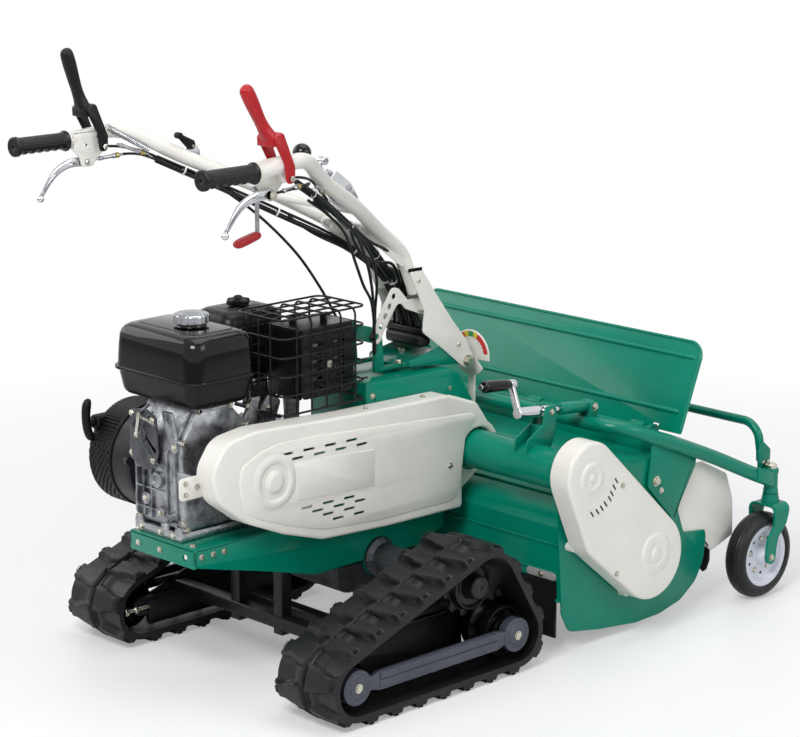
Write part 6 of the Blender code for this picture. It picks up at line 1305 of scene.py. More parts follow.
def turretForms():      # 0 green, 1 bright bolts
    disc = [(.552, .056, .001), (.562, .056, .002)]
    forms = softTurned(disc, 2, (0, .5), 64)
    ear = roundedOutline([(.47, .554, .002), (.61, .538, .01), (.643, .53, .01), (.643, .554, .01),
            (.56, .582, .01), (.47, .566, .006)], 6)
    hole = bore(tiltPlace, .0052)
    for side in (-1, 1):
        forms += plateForm(ear, side * .0547, side * .0597, 0, .001, hole)
    forms += blockForm((-.0577, .53, .5525), (.0577, .598, .5615), .0014, .003, 2)
    forms += rodForm(-.07, .07, .0059, 0, tiltPlace, 24, 1)
    for side in (-1, 1):
        forms += rodForm(side * .0643, side * .0662, .0125, 0, tiltPlace, 28, 1)
        head = [(side * .066, 0), (side * .066, .0095), (side * .072, .0095), (side * .073, .008), (side * .073, 0)]
        forms += turnedForm(head, 0, tiltPlace, 6, 1)
    arm = roundedOutline([(.39, .5526, .002), (.47, .5526), (.47, .5614), (.415, .5614, .006), (.408, .645, .003),
            (.39, .645, .003)], 4)
    forms += plateForm(arm, .0337, .0437, 0, .001)
    forms += plateForm(arm, -.0437, -.0337, 0, .001)
    forms += blockForm((-.0437, .4, .608), (.0437, .406, .64), .001, .003, 1)
    for z in (.618, .634):
        forms += rodForm(.033, .0437, .0052, 0, (.399, z), 20, 1)
    forms += boltRow(.5618, ((-.036, .462), (.036, .462), (-.036, .538), (.036, .538)), 2, 1, .0062, 1)
    return forms


def gripForms(side):      # a turned profile, drawn in by waves and ribs
    centre = (side * gripPlace[0], gripPlace[1])
    body = np.linspace(-.126, -.2285, 62)
    profile = [(-.118, 0), (-.118, .0188), (-.1186, .0197), (-.12, .02), (-.1216, .0197), (-.1224, .0186),
            (-.1236, .0172)] + [(y, .0166) for y in body]
    profile += [(-.2296, .0174), (-.2304, .0186), (-.2316, .019), (-.237, .019), (-.2388, .0184), (-.2398, .017),
            (-.24, .015), (-.2394, .006), (-.2386, .003), (-.237, .0026), (-.2368, 0)]

    def shape(turn, share):      # finger waves below, fine lengthwise ribs, a shallow flat on top
        row = share * (len(profile) - 1)
        body = smoothStep(6.5, 10, row) * smoothStep(69, 66, row)
        below = smoothStep(.2, .9, -np.sin(turn))
        wave = .5 - .5 * np.cos(2 * np.pi * (row - 8) / 10.5)
        ribs = smoothStep(.2, .8, np.cos(turn * 20)) * (1 - below)
        return body * (.0019 * below * wave + .0006 * ribs)
    return reliefTurned(profile, 1, centre, 120, shape)


def clutchForms(side, tip):      # two cheeks and a web, and a blade lofted from the knee to the tip
    y, z = clutchPlace
    kneeY, kneeZ = y - .03, z + .062
    middle = side * .27
    outline = roundedOutline([(y - .0095, z - .0095, .009), (y + .0095, z - .0095, .009),
            (y + .01, z + .02, .012), (kneeY + .013, kneeZ + .022, .006), (kneeY - .012, kneeZ + .014, .006),
            (y - .014, z + .026, .012)], 6)
    hole = bore(clutchPlace, .0044)
    forms = []
    for way in (-1, 1):
        forms += plateForm(outline, middle + way * .0195, middle + way * .0235, 0, .0012, hole)
        for share in (.3, .62):      # small rivets down each cheek
            ry, rz = y + (kneeY - y) * share, z + (kneeZ - z) * share
            forms += turnedForm([(middle + way * .023, 0), (middle + way * .023, .003),
                    (middle + way * .0243, .0024), (middle + way * .0243, 0)], 0, (ry + .002, rz), 16, 0)
    web = roundedOutline([(kneeY - .011, kneeZ - .004, .002), (kneeY + .015, kneeZ + .001, .002),
            (kneeY + .014, kneeZ + .0215, .002), (kneeY - .0118, kneeZ + .0136, .002)], 4)
    forms += plateForm(web, middle - .0205, middle + .0205, 0, .0008)
    start = np.array((kneeY + .001, kneeZ + .008))
    end = np.array(tip)
    along = (end - start) / np.linalg.norm(end - start)
    across = np.array((-along[1], along[0]))
    length = np.linalg.norm(end - start)
    stations = []
    for share, wide, deep, bow in ((0.0, .02, .012, 0), (.1, .015, .0118, .0004), (.22, .011, .0108, .001),
            (.36, .01, .0102, .0014), (.5, .01, .0112, .0012), (.64, .0104, .0122, .0006), (.78, .0106, .0128, 0),
            (.9, .0102, .0122, -.0004), (.965, .0084, .0098, -.0006), (.992, .005, .0058, -.0006),
            (1.0, .0012, .0014, -.0006)):
        spot = start + along * length * share + across * bow
        stations.append((spot[0], spot[1], wide, deep))
    return forms + spindleForm(stations, middle)


def steeringForms(side):      # a polished lever: a broad root with a slit, then one arm down to a ball
    near = side * .2708
    y, z = steerPlace
    upper = splineThrough([(.002, .0096), (-.02, .01), (-.04, .0066), (-.066, -.0052), (-.087, -.024),
            (-.1005, -.045), (-.103, -.058)], 8)
    lower = splineThrough([(.002, -.01), (-.018, -.0082), (-.038, -.01), (-.061, -.019), (-.08, -.035),
            (-.0945, -.0525), (-.103, -.06)], 8)
    outline = np.vstack([upper, lower[::-1]]) + (y, z)
    slit = np.vstack([upper[12:40] * .6 + lower[12:40] * .4, (upper[12:40] * .34 + lower[12:40]
            * .66)[::-1]]) + (y, z)
    rings = [(.0024, near - .004), (.0008, near - .0032), (0.0, near - .001), (0.0, near + .001),
            (.0008, near + .0032), (.0024, near + .004)]
    forms = pressedForm(outline, rings, [slit], [(0.0, near - .004), (0.0, near + .004)], 0)
    eye = [(near - .004, 0), (near - .004, .01), (near - .0034, .0106), (near + .0034, .0106), (near + .004, .01),
            (near + .004, 0)]
    forms += turnedForm(eye, 0, steerPlace, 32)
    angle = np.linspace(-np.pi / 2, np.pi / 2, 13)
    ball = [(z - .061 + .007 * math.sin(a), max(.007 * math.cos(a), 0)) for a in angle]
    ball[0], ball[-1] = (ball[0][0], 0), (ball[-1][0], 0)
    return forms + turnedForm(ball, 2, (near, y - .1036), 20)


def gearLeverForms():      # 0 black knob, 1 steel stalk
    x = .048
    path = splineThrough([(x, crossRod[0] - .006, crossRod[1] + .008), (x, .246, .94), (x + .001, .226, .975),
            (x + .002, .2, 1.004)], 8)
    forms = sweptForm(path, .0046, 16, 1)
    eyeRing = [(x - .008, .0083, 0), (x - .008, .014, .002), (x + .008, .014, .002), (x + .008, .0083, 0)]
    forms += ringForm(eyeRing, 0, crossRod, 32, 1)
    top = np.array((x + .002, .194, 1.016))
    axis = np.array((0, -.5, .866))
    steps = [(-.026, .0058), (-.022, .0064), (-.018, .008), (-.014, .0108)]
    steps += [(.018 * math.sin(a), .018 * math.cos(a)) for a in np.radians(np.linspace(-44, 80, 15))]
    steps += [(.018, .0012)]
    place = np.array([top + axis * along for along, _ in steps])
    side = np.cross(axis, (1, 0, 0))
    turn = np.linspace(0, 2 * np.pi, 36, endpoint=False)
    ring = np.cos(turn)[None, :, None] * np.array((1.0, 0, 0)) + np.sin(turn)[None, :, None] * side
    grid = place[:, None] + ring * np.array([r for _, r in steps])[:, None, None]
    return forms + gridForm(grid)


def throttleForms():      # a flat lever with a turned knob
    plate = roundedOutline([(.135, 1.003, .007), (.135, 1.019, .007), (.097, 1.037, .004), (.093, 1.029, .004),
            (.119, 1.003, .006)], 5)
    forms = plateForm(plate, -.1997, -.1957, 0, .0008, bore((.127, 1.01), .0033))
    return forms + rodForm(-.2055, -.19, .0064, 0, (.095, 1.033), 28, soft=.002)


def lockForms():      # 0 red paddle, 1 steel rod
    x, y, z = .233, -.079, 1.002
    eye = [(x - .005, .0038, 0), (x - .005, .0085, .001), (x + .005, .0085, .001), (x + .005, .0038, 0)]
    forms = ringForm(eye, 0, (y, z), 32, 1)
    forms += sweptForm([(x, y + .002, z - .007), (x, y + .002, z - .04), (x, y + .002, z - .088)], .004, 16, 1)
    stations = []
    for share, deep in ((0, .0014), (.03, .0046), (.1, .0072), (.3, .0082), (.6, .008), (.88, .0072),
            (.97, .0046), (1, .0014)):
        stations.append((y - .051 + .058 * share, z - .0992 + .014 * share, .004 + deep * .6, deep))
    return forms + spindleForm(stations, x)


def cableForms():      # 0 black cables, 1 white ties, 2 clamp
    forms = []
    turns = np.linspace(0, 2 * np.pi, 5, endpoint=False)
    for side in (-1, 1):
        path = splineThrough([(side * .205, .045, .992), (side * .165, .15, .938), (side * .104, .265, .874),
                (side * .046, .37, .812), (side * .013, .45, .748), (side * .012, .498, .68),
                (side * .011, .524, .615)], 8)
        across, up = pathFrames(path)
        spread = np.interp(np.linspace(0, 1, len(path)), [0, .08, .2, .5, .8, 1],
                [.0052, .0058, .006, .0058, .006, .005])
        for k, turn in enumerate(turns):
            wander = turn + .9 * np.sin(np.linspace(0, 5, len(path)) + k)
            line = path + spread[:, None] * (np.cos(wander)[:, None] * across + np.sin(wander)[:, None] * up)
            forms += sweptForm(line, .0029, 12)
        for share in (.1, .34, .58, .74):
            at = int(share * (len(path) - 1))
            ring = np.array([path[at] + .0094 * (math.cos(a) * across[at] + math.sin(a) * up[at])
                    for a in np.linspace(0, 2 * np.pi, 29)[:-1]])
            step = path[at + 1] - path[at]
            step /= np.linalg.norm(step)
            grid = np.stack([ring - step * .0016, ring + step * .0016])
            inner = np.stack([path[at] + (ring - path[at]) * .86 - step * .0016, path[at] + (ring - path[at])
                    * .86 + step * .0016])
            loop = np.stack([grid[0], grid[1], inner[1], inner[0]])
            forms += gridForm(loop, roundU=True, paint=1)
            tail = np.array([ring[7], ring[7] + (0, .003, .012)])
            forms += sweptForm(tail, .0008, 6, 1)
        feeds = [[(side * .269, -.06, .9945), (side * .268, -.04, .9955), (side * .262, .01, .999),
                (side * .246, .036, .9975), (side * .225, .052, .99), (side * .205, .07, .98),
                (side * .175, .13, .947)], [(side * .266, -.03, 1.018), (side * .262, .005, 1.0135),
                (side * .24, .046, 1.001), (side * .215, .088, .977), (side * .18, .14, .948)]]
        for feed in feeds:
            forms += sweptForm(splineThrough(feed, 8), .0026, 12)
    loops = [[(.108, .262, .872), (.082, .3, .832), (.066, .345, .792), (.048, .4, .776), (.028, .455, .76),
            (.014, .494, .7)], [(.112, .25, .886), (.094, .296, .856), (.078, .35, .826), (.056, .41, .8),
            (.034, .462, .764), (.018, .5, .69)], [(-.09, .28, .866), (-.07, .33, .828), (-.05, .392, .794),
            (-.03, .45, .76), (-.016, .496, .694)]]
    for loop in loops:
        forms += sweptForm(splineThrough(loop, 10), .003, 12)
    forms += blockForm((-.0595, .512, .61), (.0595, .534, .624), .002, .004, 0, 2)
    forms += blockForm((-.05, .506, .585), (.05, .539, .611), .004, .008, 0)      # rubber boot under the clamp
    for x in (-.04, -.026, -.011, .011, .026, .04):
        route = splineThrough([(x * .5, .5, .68), (x * .8, .515, .65), (x, .523, .622), (x, .5235, .598)], 6)
        forms += sweptForm(route, .0032, 12)
    return forms


make("handlebar", handlebarForms(), "whitePaint zincBolt chrome", "handle", "handlebar", sharp=40)
make("gearPlate", shifterForms(), "chrome", "handle", sharp=40)
make("cableAdjusters", adjusterForms(), "platedSteel yellowPlate cable platedSteel", "handle", sharp=40)
hanging = make("hangingCables", hangingForms(), "cable", sharp=50)
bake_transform(hanging)
make("handleColumn", columnForms(), "whitePaint zincBolt", "handle", "handle_column", sharp=35)
make("handleTurret", turretForms(), "greenPaint zincBolt", "handle_turret", "handle_turret", sharp=35)
make("driveClutchLever", clutchForms(-1, (-.117, 1.2115)),
        "leverBlack zincBolt", "drive_clutch_lever", "drive_clutch_lever", sharp=40)
make("knifeClutchLever", clutchForms(1, (-.135, 1.19)),
        "redCoat zincBolt", "knife_clutch_lever", "knife_clutch_lever", sharp=40)
for side, word in ((-1, "left"), (1, "right")):
    make(word + "Grip", gripForms(side), "gripRubber", "handle", word + "_grip", sharp=50)
    make(word + "SteeringLever", steeringForms(side), "chrome", word + "_steering_lever", word
            + "_steering_lever", sharp=40)
make("gearLever", gearLeverForms(), "glossBlack platedSteel", "gear_shift_lever", "gear_shift_lever", sharp=40)
make("throttleLever", throttleForms(), "mouldedBlack", "throttle_lever", "throttle_lever", sharp=40)
make("handleLockLever", lockForms(), "redCoat platedSteel", "handle_lock_lever", "handle_lock_lever", sharp=40)
make("controlCables", cableForms(), "cable whiteTie satinBlack", "handle", "control_cables", sharp=50)
print("handle ready")


# Mower deck, wheel arm and casters

deckHalf = .384
flapHinge = (.905, .396)
armBolt = (.846, .309)
spindlePlace = (.42, 1.193)
casterAxle = (1.157, .093)
linkPin = (.285, .761, .465)


flapLook = {"half": .405, "low": -.006, "high": .198, "lean": -22}


def flapForms():      # 0 green: a leaning sheet with a rolled rim, two round beads and hinge knuckles
    half, low, high = (flapLook[key] for key in ("half", "low", "high"))
    outline = roundedOutline([(-half, low + .01, .004), (-.343, low + .01), (-.343, .016), (-.327, .016),
            (-.327, low), (.327, low), (.327, .016), (.343, .016), (.343, low + .01), (half, low + .01, .004),
            (half, high, .036), (-half, high, .036)], 12)
    forms = plateForm(outline, .0004, .0034, 1, .0006)
    rim = roundedOutline([(half - .0022, .012), (half - .0022, high - .0022, .034),
            (-half + .0022, high - .0022, .034), (-half + .0022, .012)], 14)[1:-1]
    rim = np.vstack([(half - .0022, .012), rim, (-half + .0022, .012)])
    forms += sweptForm(np.stack([rim[:, 0], np.full(len(rim), .0012), rim[:, 1]], 1), .0033, 12)
    for z, reach in ((.164, half - .014), (.048, half - .016)):
        t = np.linspace(-1, 1, 90)
        swell = np.sqrt(np.clip(1 - ((np.abs(t) - .985) / .015).clip(0, 1) ** 2, .0004, 1))
        line = np.stack([t * reach, np.full(90, .0012), np.full(90, z)], 1)
        forms += sweptForm(line, .0058 * swell, 16)
    for x in (-.29, 0.0, .29):
        forms += blockForm((x - .018, -.002, -.004), (x + .018, .003, .012), .001, .003, 1)
        forms += rodForm(x - .018, x + .018, .0095, 0, (0, 0), 24, soft=.001)
    forms += rodForm(-.338, .338, .0059, 0, (0, 0), 20, soft=.001)
    return shifted(turnedBy(forms, flapLook["lean"], (0, 0, 0)), (0, *flapHinge))


def armForms():      # 0 green, 1 zinc bolts
    def route(side):      # the middle line of one arm
        return splineThrough([(side * .3, .752, .431), (side * .338, .758, .431), (side * .37, .786, .424),
                (side * .388, .838, .404), (side * .396, .905, .378), (side * .404, 1.02, .329),
                (side * .417, 1.12, .281), (side * .42, 1.193, .249)], 7)
    line = np.vstack([route(-1)[::-1], route(1)])
    forms = sweptForm(line, .015, 28)
    plate = roundedOutline([(.838, .4, .004), (.979, .345, .004), (.975, .318, .006), (.912, .222, .008),
            (.905, .218, .008), (.826, .3, .01)], 5)
    y = spindlePlace[1]
    for side in (-1, 1):
        forms += plateForm(plate, side * .386, side * .391, 0, .001)
        forms += rodForm(side * .378, side * .389, .0079, 0, armBolt, 20, 1)
        forms += boltForm((side * .3905, .8506, .309), 0, side, .0082, 1)
        forms += boltForm((side * .3905, .867, .286), 0, side, .0048, 1)
        sleeve = [(.222, .0103, .0005), (.222, .016, .002), (.23, .016, .001), (.233, .0148, .001),
                (.264, .0148, .001), (.267, .016, .001), (.277, .016, .002), (.277, .0103, .0005)]
        forms += ringForm(sleeve, 2, (side * spindlePlace[0], y), 36)
        cheek = roundedOutline([(1.13, .264, .004), (1.186, .238, .004), (1.186, .27, .004), (1.13, .294, .004)], 4)
        for x in (side * .4065, side * .4335):      # flat plates that join the arm to its sleeve
            forms += plateForm(cheek, x - .0016, x + .0016, 0, .0006)
    pinY, pinZ = linkPin[1:]
    lug = roundedOutline([(pinY - .018, .436), (pinY + .008, .434), (pinY + .012, pinZ + .011, .011),
            (pinY - .012, pinZ + .011, .011)], 6)
    for x in (linkPin[0] - .0145, linkPin[0] + .0095):
        forms += plateForm(lug, x, x + .005, 0, .001)
    forms += rodForm(linkPin[0] - .0165, linkPin[0] + .0165, .0049, 0, linkPin[1:], 20, 1)
    forms += boltForm((linkPin[0] + .0147, pinY, pinZ), 0, 1, .006, 1)
    forms += boltForm((linkPin[0] - .0147, pinY, pinZ), 0, -1, .006, 1)
    return forms


def guardBarForms():      # 0 green, 1 zinc: half the bar's line and its mirror image, swept
    y, legX, arcX = 1.19, .3925, .345
    bend = arcPoints((arcX, .325), .0432, 4, 88, 10)
    half = [(legX, y, .288), (legX - .001, y, .31)] + [(x, y, z) for x, z in bend] + [(arcX - .02, y, .368)]
    half = np.array(half)
    line = np.vstack([half, (half * (-1, 1, 1))[::-1]])
    forms = sweptForm(line, .0095, 24)
    plate = roundedOutline([(y - .018, .25, .006), (y + .018, .25, .006), (y + .02, .312, .008),
            (y - .006, .334, .006), (y - .02, .312, .006)], 5)
    for side in (-1, 1):
        forms += plateForm(plate, side * .3987, side * .4037, 0, .001)
        for by, bz in ((y - .006, .269), (y + .009, .269)):
            forms += boltForm((side * .3987, by, bz), 0, -side, .0056, 1)
            forms += boltForm((side * .4035, by, bz + .018), 0, side, .0048, 1, False)
    return forms


forkLook = {"outer": .036, "thick": .0058, "arch": .016, "top": .2035}


def forkForms(side):      # 0 green strap, 1 zinc axle and nut
    x, y = side * spindlePlace[0], spindlePlace[1]
    axleY, axleZ = casterAxle
    spindle = [(.201, 0), (.201, .0198), (.205, .02), (.219, .017), (.2217, .017), (.2217, .01), (.2773, .01),
            (.2773, 0)]
    forms = turnedForm(spindle, 2, (x, y), 32)
    cap = [(.2774, 0), (.2774, .0125), (.284, .0125), (.2868, .01), (.287, 0)]
    forms += turnedForm(cap, 2, (x, y), 24, 1)
    # the strap: a section of changing depth carried over an arch in x and z
    outer, thick, arch, top = forkLook.values()
    turn = np.radians(np.linspace(0, 90, 9))
    legZ = np.linspace(axleZ - .015, top - arch, 26)
    runX = np.concatenate([np.full(26, outer), outer - arch + arch * np.cos(turn[1:])])
    runZ = np.concatenate([legZ, top - arch + arch * np.sin(turn[1:])])
    runX = np.concatenate([runX, -runX[::-1]])
    runZ = np.concatenate([runZ, runZ[::-1]])
    inX = np.concatenate([np.full(26, outer - thick), outer - arch + (arch - thick) * np.cos(turn[1:])])
    inZ = np.concatenate([legZ, top - arch + (arch - thick) * np.sin(turn[1:])])
    inX = np.concatenate([inX, -inX[::-1]])
    inZ = np.concatenate([inZ, inZ[::-1]])
    knots = [axleZ - .015, axleZ - .013, axleZ - .009, axleZ, axleZ + .016, axleZ + .04, .16, .185, top]
    rear = np.interp(runZ, knots, [axleY - .003, axleY - .01, axleY - .014, axleY - .016, axleY - .016, axleY
            - .013, y - .027, y - .028, y - .0265])
    front = np.interp(runZ, knots, [axleY + .003, axleY + .01, axleY + .014, axleY + .016, axleY + .017, axleY
            + .023, y + .014, y + .022, y + .0225])
    loop = np.stack([np.stack([x + runX, rear + .001, runZ], 1), np.stack([x + runX, front - .001, runZ], 1),
            np.stack([x + (runX + inX) / 2, front, (runZ + inZ) / 2], 1), np.stack([x + inX, front - .001, inZ],
            1), np.stack([x + inX, rear + .001, inZ], 1), np.stack([x + (runX + inX) / 2, rear, (runZ + inZ) / 2],
            1)], 1)
    forms += gridForm(loop)
    forms += rodForm(x - .0385, x + .0385, .0059, 0, casterAxle, 20, 1)
    for way in (-1, 1):
        forms += boltForm((x + way * .035, *casterAxle), 0, way, .0056, 1)
    return forms


def rimForms(side):      # 0 white dish, 1 zinc nuts, 2 painted shade: dark discs that stand for holes
    x = side * spindlePlace[0]
    profile = [(x - .0285, .0063), (x - .0285, .016, .001), (x - .008, .02, .003), (x - .006, .05, .006),
            (x - .0195, .056, .004), (x - .021, .0662, .001), (x + .021, .0662, .001), (x + .0195, .056, .004),
            (x + .006, .05, .006), (x + .008, .02, .003), (x + .0285, .016, .001), (x + .0285, .0063)]
    forms = ringForm(profile, 0, casterAxle, 64)
    for centre in roundThe(casterAxle, .036, 20, 5):
        for way in (-1, 1):
            forms += boltForm((x + way * .0062, *centre), 0, way, .0052, 1)
    for centre in roundThe(casterAxle, .04, 56, 5):      # small round holes between the nuts, drawn as dark discs of painted shade
        for way in (-1, 1):
            forms += rodForm(x + way * .006, x + way * .0073, .0032, 0, centre, 16, 2)
    return forms


tyreLook = {"radius": .093, "half": .0205, "depth": .0022, "grooves": (-.6, -.2, .2, .6)}


def tyreForms(side):      # a round tyre with four grooves round the tread and a bead by the rim
    x = side * spindlePlace[0]
    across = np.linspace(-1, 1, 61)
    radius, half, depth, grooves = tyreLook.values()
    crown = radius - .0085 * np.abs(across) ** 2.6
    groove = sum(smoothStep(.045, .018, np.abs(across - at)) for at in grooves)
    tread = [(x + half * a, r - depth * g) for a, r, g in zip(across, crown, groove)]
    wall = [(.0225, .0815), (.0236, .078), (.024, .0745), (.0237, .071), (.0228, .0692), (.0215, .0685),
            (.0205, .0664)]
    profile = [(x - a, r) for a, r in wall[::-1]] + tread + [(x + a, r) for a, r in wall]
    return ringForm(profile, 0, casterAxle, 96)


def guardPlateForms(side):      # a lobed flat plate with a folded edge
    outline = roundedOutline([(.91, .183, .004), (.925, .15, .004), (1.012, .15, .003), (1.036, .124, .006),
            (1.05, .115, .006), (1.118, .136, .006), (1.116, .215, .05), (1.092, .277, .02), (1.01, .318, .008),
            (.985, .318, .008)], 6)
    hole = [arcPoints((1.062, .16), .0034, 0, 340, 17)]
    forms = plateForm(outline, side * .3757, side * .3797, 0, .001, hole)
    fold = roundedOutline([(1.012, .15, .002), (1.036, .124, .003), (1.04, .128, .003), (1.018, .154, .002)], 3)
    return forms + plateForm(fold, side * .372, side * .3797, 0, .0008)


skirtLook = {"teeth": 13, "reach": .3755, "tip": .062, "root": .092, "point": .82}


def skirtForms():      # 0 rubber teeth, 1 dark clamp bar, 2 zinc bolts
    teeth, reach, tip, root, point = skirtLook.values()
    line = np.linspace(-reach, reach, teeth * 8 + 1)
    place = (line + reach) / (2 * reach) * teeth % 1
    fang = tip + (root - tip) * np.abs(place - point) / np.where(place < point, point, 1 - point)
    forms = []
    edge = np.stack([line, np.clip(fang, tip, root)], 1)
    outline = np.vstack([edge, [(reach, .15), (-reach, .15)]])
    forms += plateForm(outline, 1.044, 1.05, 1, .0006)
    forms += blockForm((-reach, 1.04, .138), (reach, 1.054, .154), .0012, .002, 0, 1)
    for x in np.linspace(-.34, .34, 9):
        forms += boltForm((x, 1.0538, .146), 1, 1, .0045, 2)
    return forms


def deckForms():      # 0 green, 1 zinc, 2 bright strips
    skirt = [(.578, .085, .02), (.6, .043, .024), (.69, .027, .04), (.803, .014, .06), (.88, .016, .05),
            (.945, .03, .05), (.995, .063, .05), (1.018, .106, .04), (1.024, .15, .02), (1.021, .168, .006),
            (.95, .177, .012), (.905, .3, .02), (.89, .354, .012), (.79, .356, .01)]
    plain = roundedOutline(skirt + [(.594, .274, .004), (.578, .262, .004)], 6)
    ear = [(*point, 0) for point in arcPoints(jackPlace, .052, 60, 200, 16)]
    eared = roundedOutline(skirt + [(.66, .399, .01)] + ear + [(.562, .3, .004)], 6)
    forms = plateForm(plain, -deckHalf, -deckHalf + .004, 0, .0008)
    forms += plateForm(eared, deckHalf - .004, deckHalf, 0, .0008)
    sheet = roundedOutline([(.576, .11), (.576, .264, .008), (.588, .276, .01), (.775, .356, .03),
            (.905, .36, .012), (.928, .33), (.9245, .328), (.9025, .356, .01), (.776, .352, .03),
            (.59, .272, .006), (.58, .262, .004), (.58, .11)], 6)
    forms += plateForm(sheet, -.382, .382, 0, .0002)
    forms += sweptForm([(-.38, .5745, .1125), (.38, .5745, .1125)], .0036, 14)      # rolled lower edge
    for z in (.168, .226):      # pressed steps across the rear wall
        forms += blockForm((-.378, .5735, z - .003), (.378, .577, z + .003), .0012, .002, 0)
    for share in (.3, .7):      # pressed ribs along the sloping top
        y, z = .59 + .185 * share, .2785 + .08 * share
        forms += sweptForm([(-.376, y, z - .0006), (.376, y, z - .0006)], .0034, 12)
    tube = [(.114, .036, .001), (.114, .04, .001), (.118, .0403, .001), (.381, .04, .001), (.381, .036, .001)]
    forms += ringForm(tube, 0, jackPlace, 56)
    flange = [(.1145, .0404, .0005), (.1145, .047, .001), (.1195, .047, .001), (.1195, .0404, .0005)]
    forms += ringForm(flange, 0, jackPlace, 48)
    forms += ringForm([(.372, .0398, 0), (.372, .044, .002), (.3805, .0452, .001), (.3805, .0398, 0)],
            0, jackPlace, 48)
    forms += blockForm((-.355, .872, .3565), (.355, .876, .386), .001, .002, 1)
    forms += sweptForm([(-.354, .874, .3858), (.354, .874, .3858)], .003, 12)
    hinge = roundedOutline([(.87, .357), (.916, .357), (.919, .409, .012), (.891, .409, .012), (.87, .384, .004)], 5)
    for x in (-.335, .335):
        forms += plateForm(hinge, x - .003, x + .003, 0, .001, bore(flapHinge, .0063))
    bracket = roundedOutline([(.556, .404), (.627, .401), (.643, .44, .01), (.643, .49, .012), (.61, .492, .012),
            (.606, .455, .012), (.56, .43, .008)], 6)
    for low in (.267, .2985):
        forms += plateForm(bracket, low, low + .0045, 0, .001)
    for x, way in ((.267, -1), (.303, 1)):
        forms += boltForm((x, .628, .478), 0, way, .0046, 1)
    forms += blockForm((.269, .6, .41), (.301, .604, .454), .001, .002, 1)
    bearing = [(-.394, .0144), (-.394, .03, .002), (-.383, .042, .001), (-.38, .042), (-.38, .0144)]
    forms += ringForm(bearing, 0, rotorPlace, 40)
    forms += boltRow(-.385, roundThe(rotorPlace, .035, 45, 4), 0, -1, .005, 1)
    for side in (-1, 1):      # bright clamp strips above the rubber flap
        for start, end in ((.09, .17), (.291, .371)):
            low, high = sorted((side * start, side * end))
            forms += blockForm((low, .5722, .1515), (high, .5765, .168), .0008, .008, 1, 2)
            forms += boltForm(((low + high) / 2, .5724, .1598), 1, -1, .0045, 1)
    forms += boltRow(-deckHalf, ((.64, .2), (.64, .12), (.905, .26)), 0, -1, .0052, 1)
    return forms


crankLook = {"rear": -.216, "front": -.153, "throw": .06, "knob": .078, "swing": -25, "slope": -5.4}


def crankForms():      # drawn along y about the link pin, then tilted as the machine carries it
    rear, front, throw = (crankLook[key] for key in ("rear", "front", "throw"))
    hub = [(rear, .0115, .002), (front, .012, .002), (front, .005, 0), (-.142, .005, 0), (-.142, .0105, .001),
            (-.124, .0105, .001), (-.124, .005, 0), (-.071, .005, 0)]
    forms = softTurned(hub, 1, (0, 0), 28)
    arm = roundedOutline([(-.0075, 0.0, .003), (.0075, 0.0, .003), (.0062, throw + .007, .006),
            (-.0062, throw + .007, .006)], 5)
    forms += plateForm(arm, rear + .0008, rear + .0088, 1, .0014)
    collar = [(rear - .0004, .0098, .001), (rear + .014, .0098, .002)]
    forms += softTurned(collar, 1, (0, throw), 28)
    pinEnd = rear - crankLook["knob"] - .006
    pin = [(pinEnd, 0), (pinEnd, .0056), (pinEnd + .0028, .006), (pinEnd + .003, .0038), (rear + .004, .0038),
            (rear + .004, 0)]
    forms += turnedForm(pin, 1, (0, throw), 20)
    return forms


def knobForms():      # a closed profile turned round the crank's pin
    front = crankLook["rear"] + .001 - .0006
    rear = front - crankLook["knob"] + .002
    profile = [(rear, .0043), (rear, .008, .001), (rear + .0012, .0112, .002), (rear + .006, .0124, .002),
            (rear + .03, .0121, .01), (front - .014, .011, .006), (front - .006, .01, .002), (front, .0086, .001),
            (front, .0043)]
    return ringForm(profile, 1, (0, crankLook["throw"]), 36)


def crankTurned(forms, swing):      # the crank's own turn about its screw, then the slope, then its place
    if swing:
        forms = turnedBy(forms, crankLook["swing"], (0, 0, 0), 1)
    return shifted(turnedBy(forms, crankLook["slope"], (0, 0, 0)), linkPin)


def linkForms():      # a turned tube and an eye joined by a block
    body = [(-.09, .0054, 0), (-.09, .0125, .002), (-.025, .0125, .002), (-.025, .0054, 0)]
    forms = ringForm(body, 1, (0, 0), 36)
    forms += rodForm(-.03, -.024, .01, 1, (0, 0), 24)
    forms += blockForm((-.0088, -.027, -.008), (.0088, .002, .008), .001, .003, 0)
    eye = [(-.009, .0052, 0), (-.009, .012, .0015), (.009, .012, .0015), (.009, .0052, 0)]
    return crankTurned(forms + ringForm(eye, 0, (0, 0), 36), False)


gaugeLook = {"centre": (.036, .545), "radius": .052, "bands": ((172, 114, 1), (114, 99, 2), (99, 81, 3),
        (81, 66, 2), (66, 8, 1))}


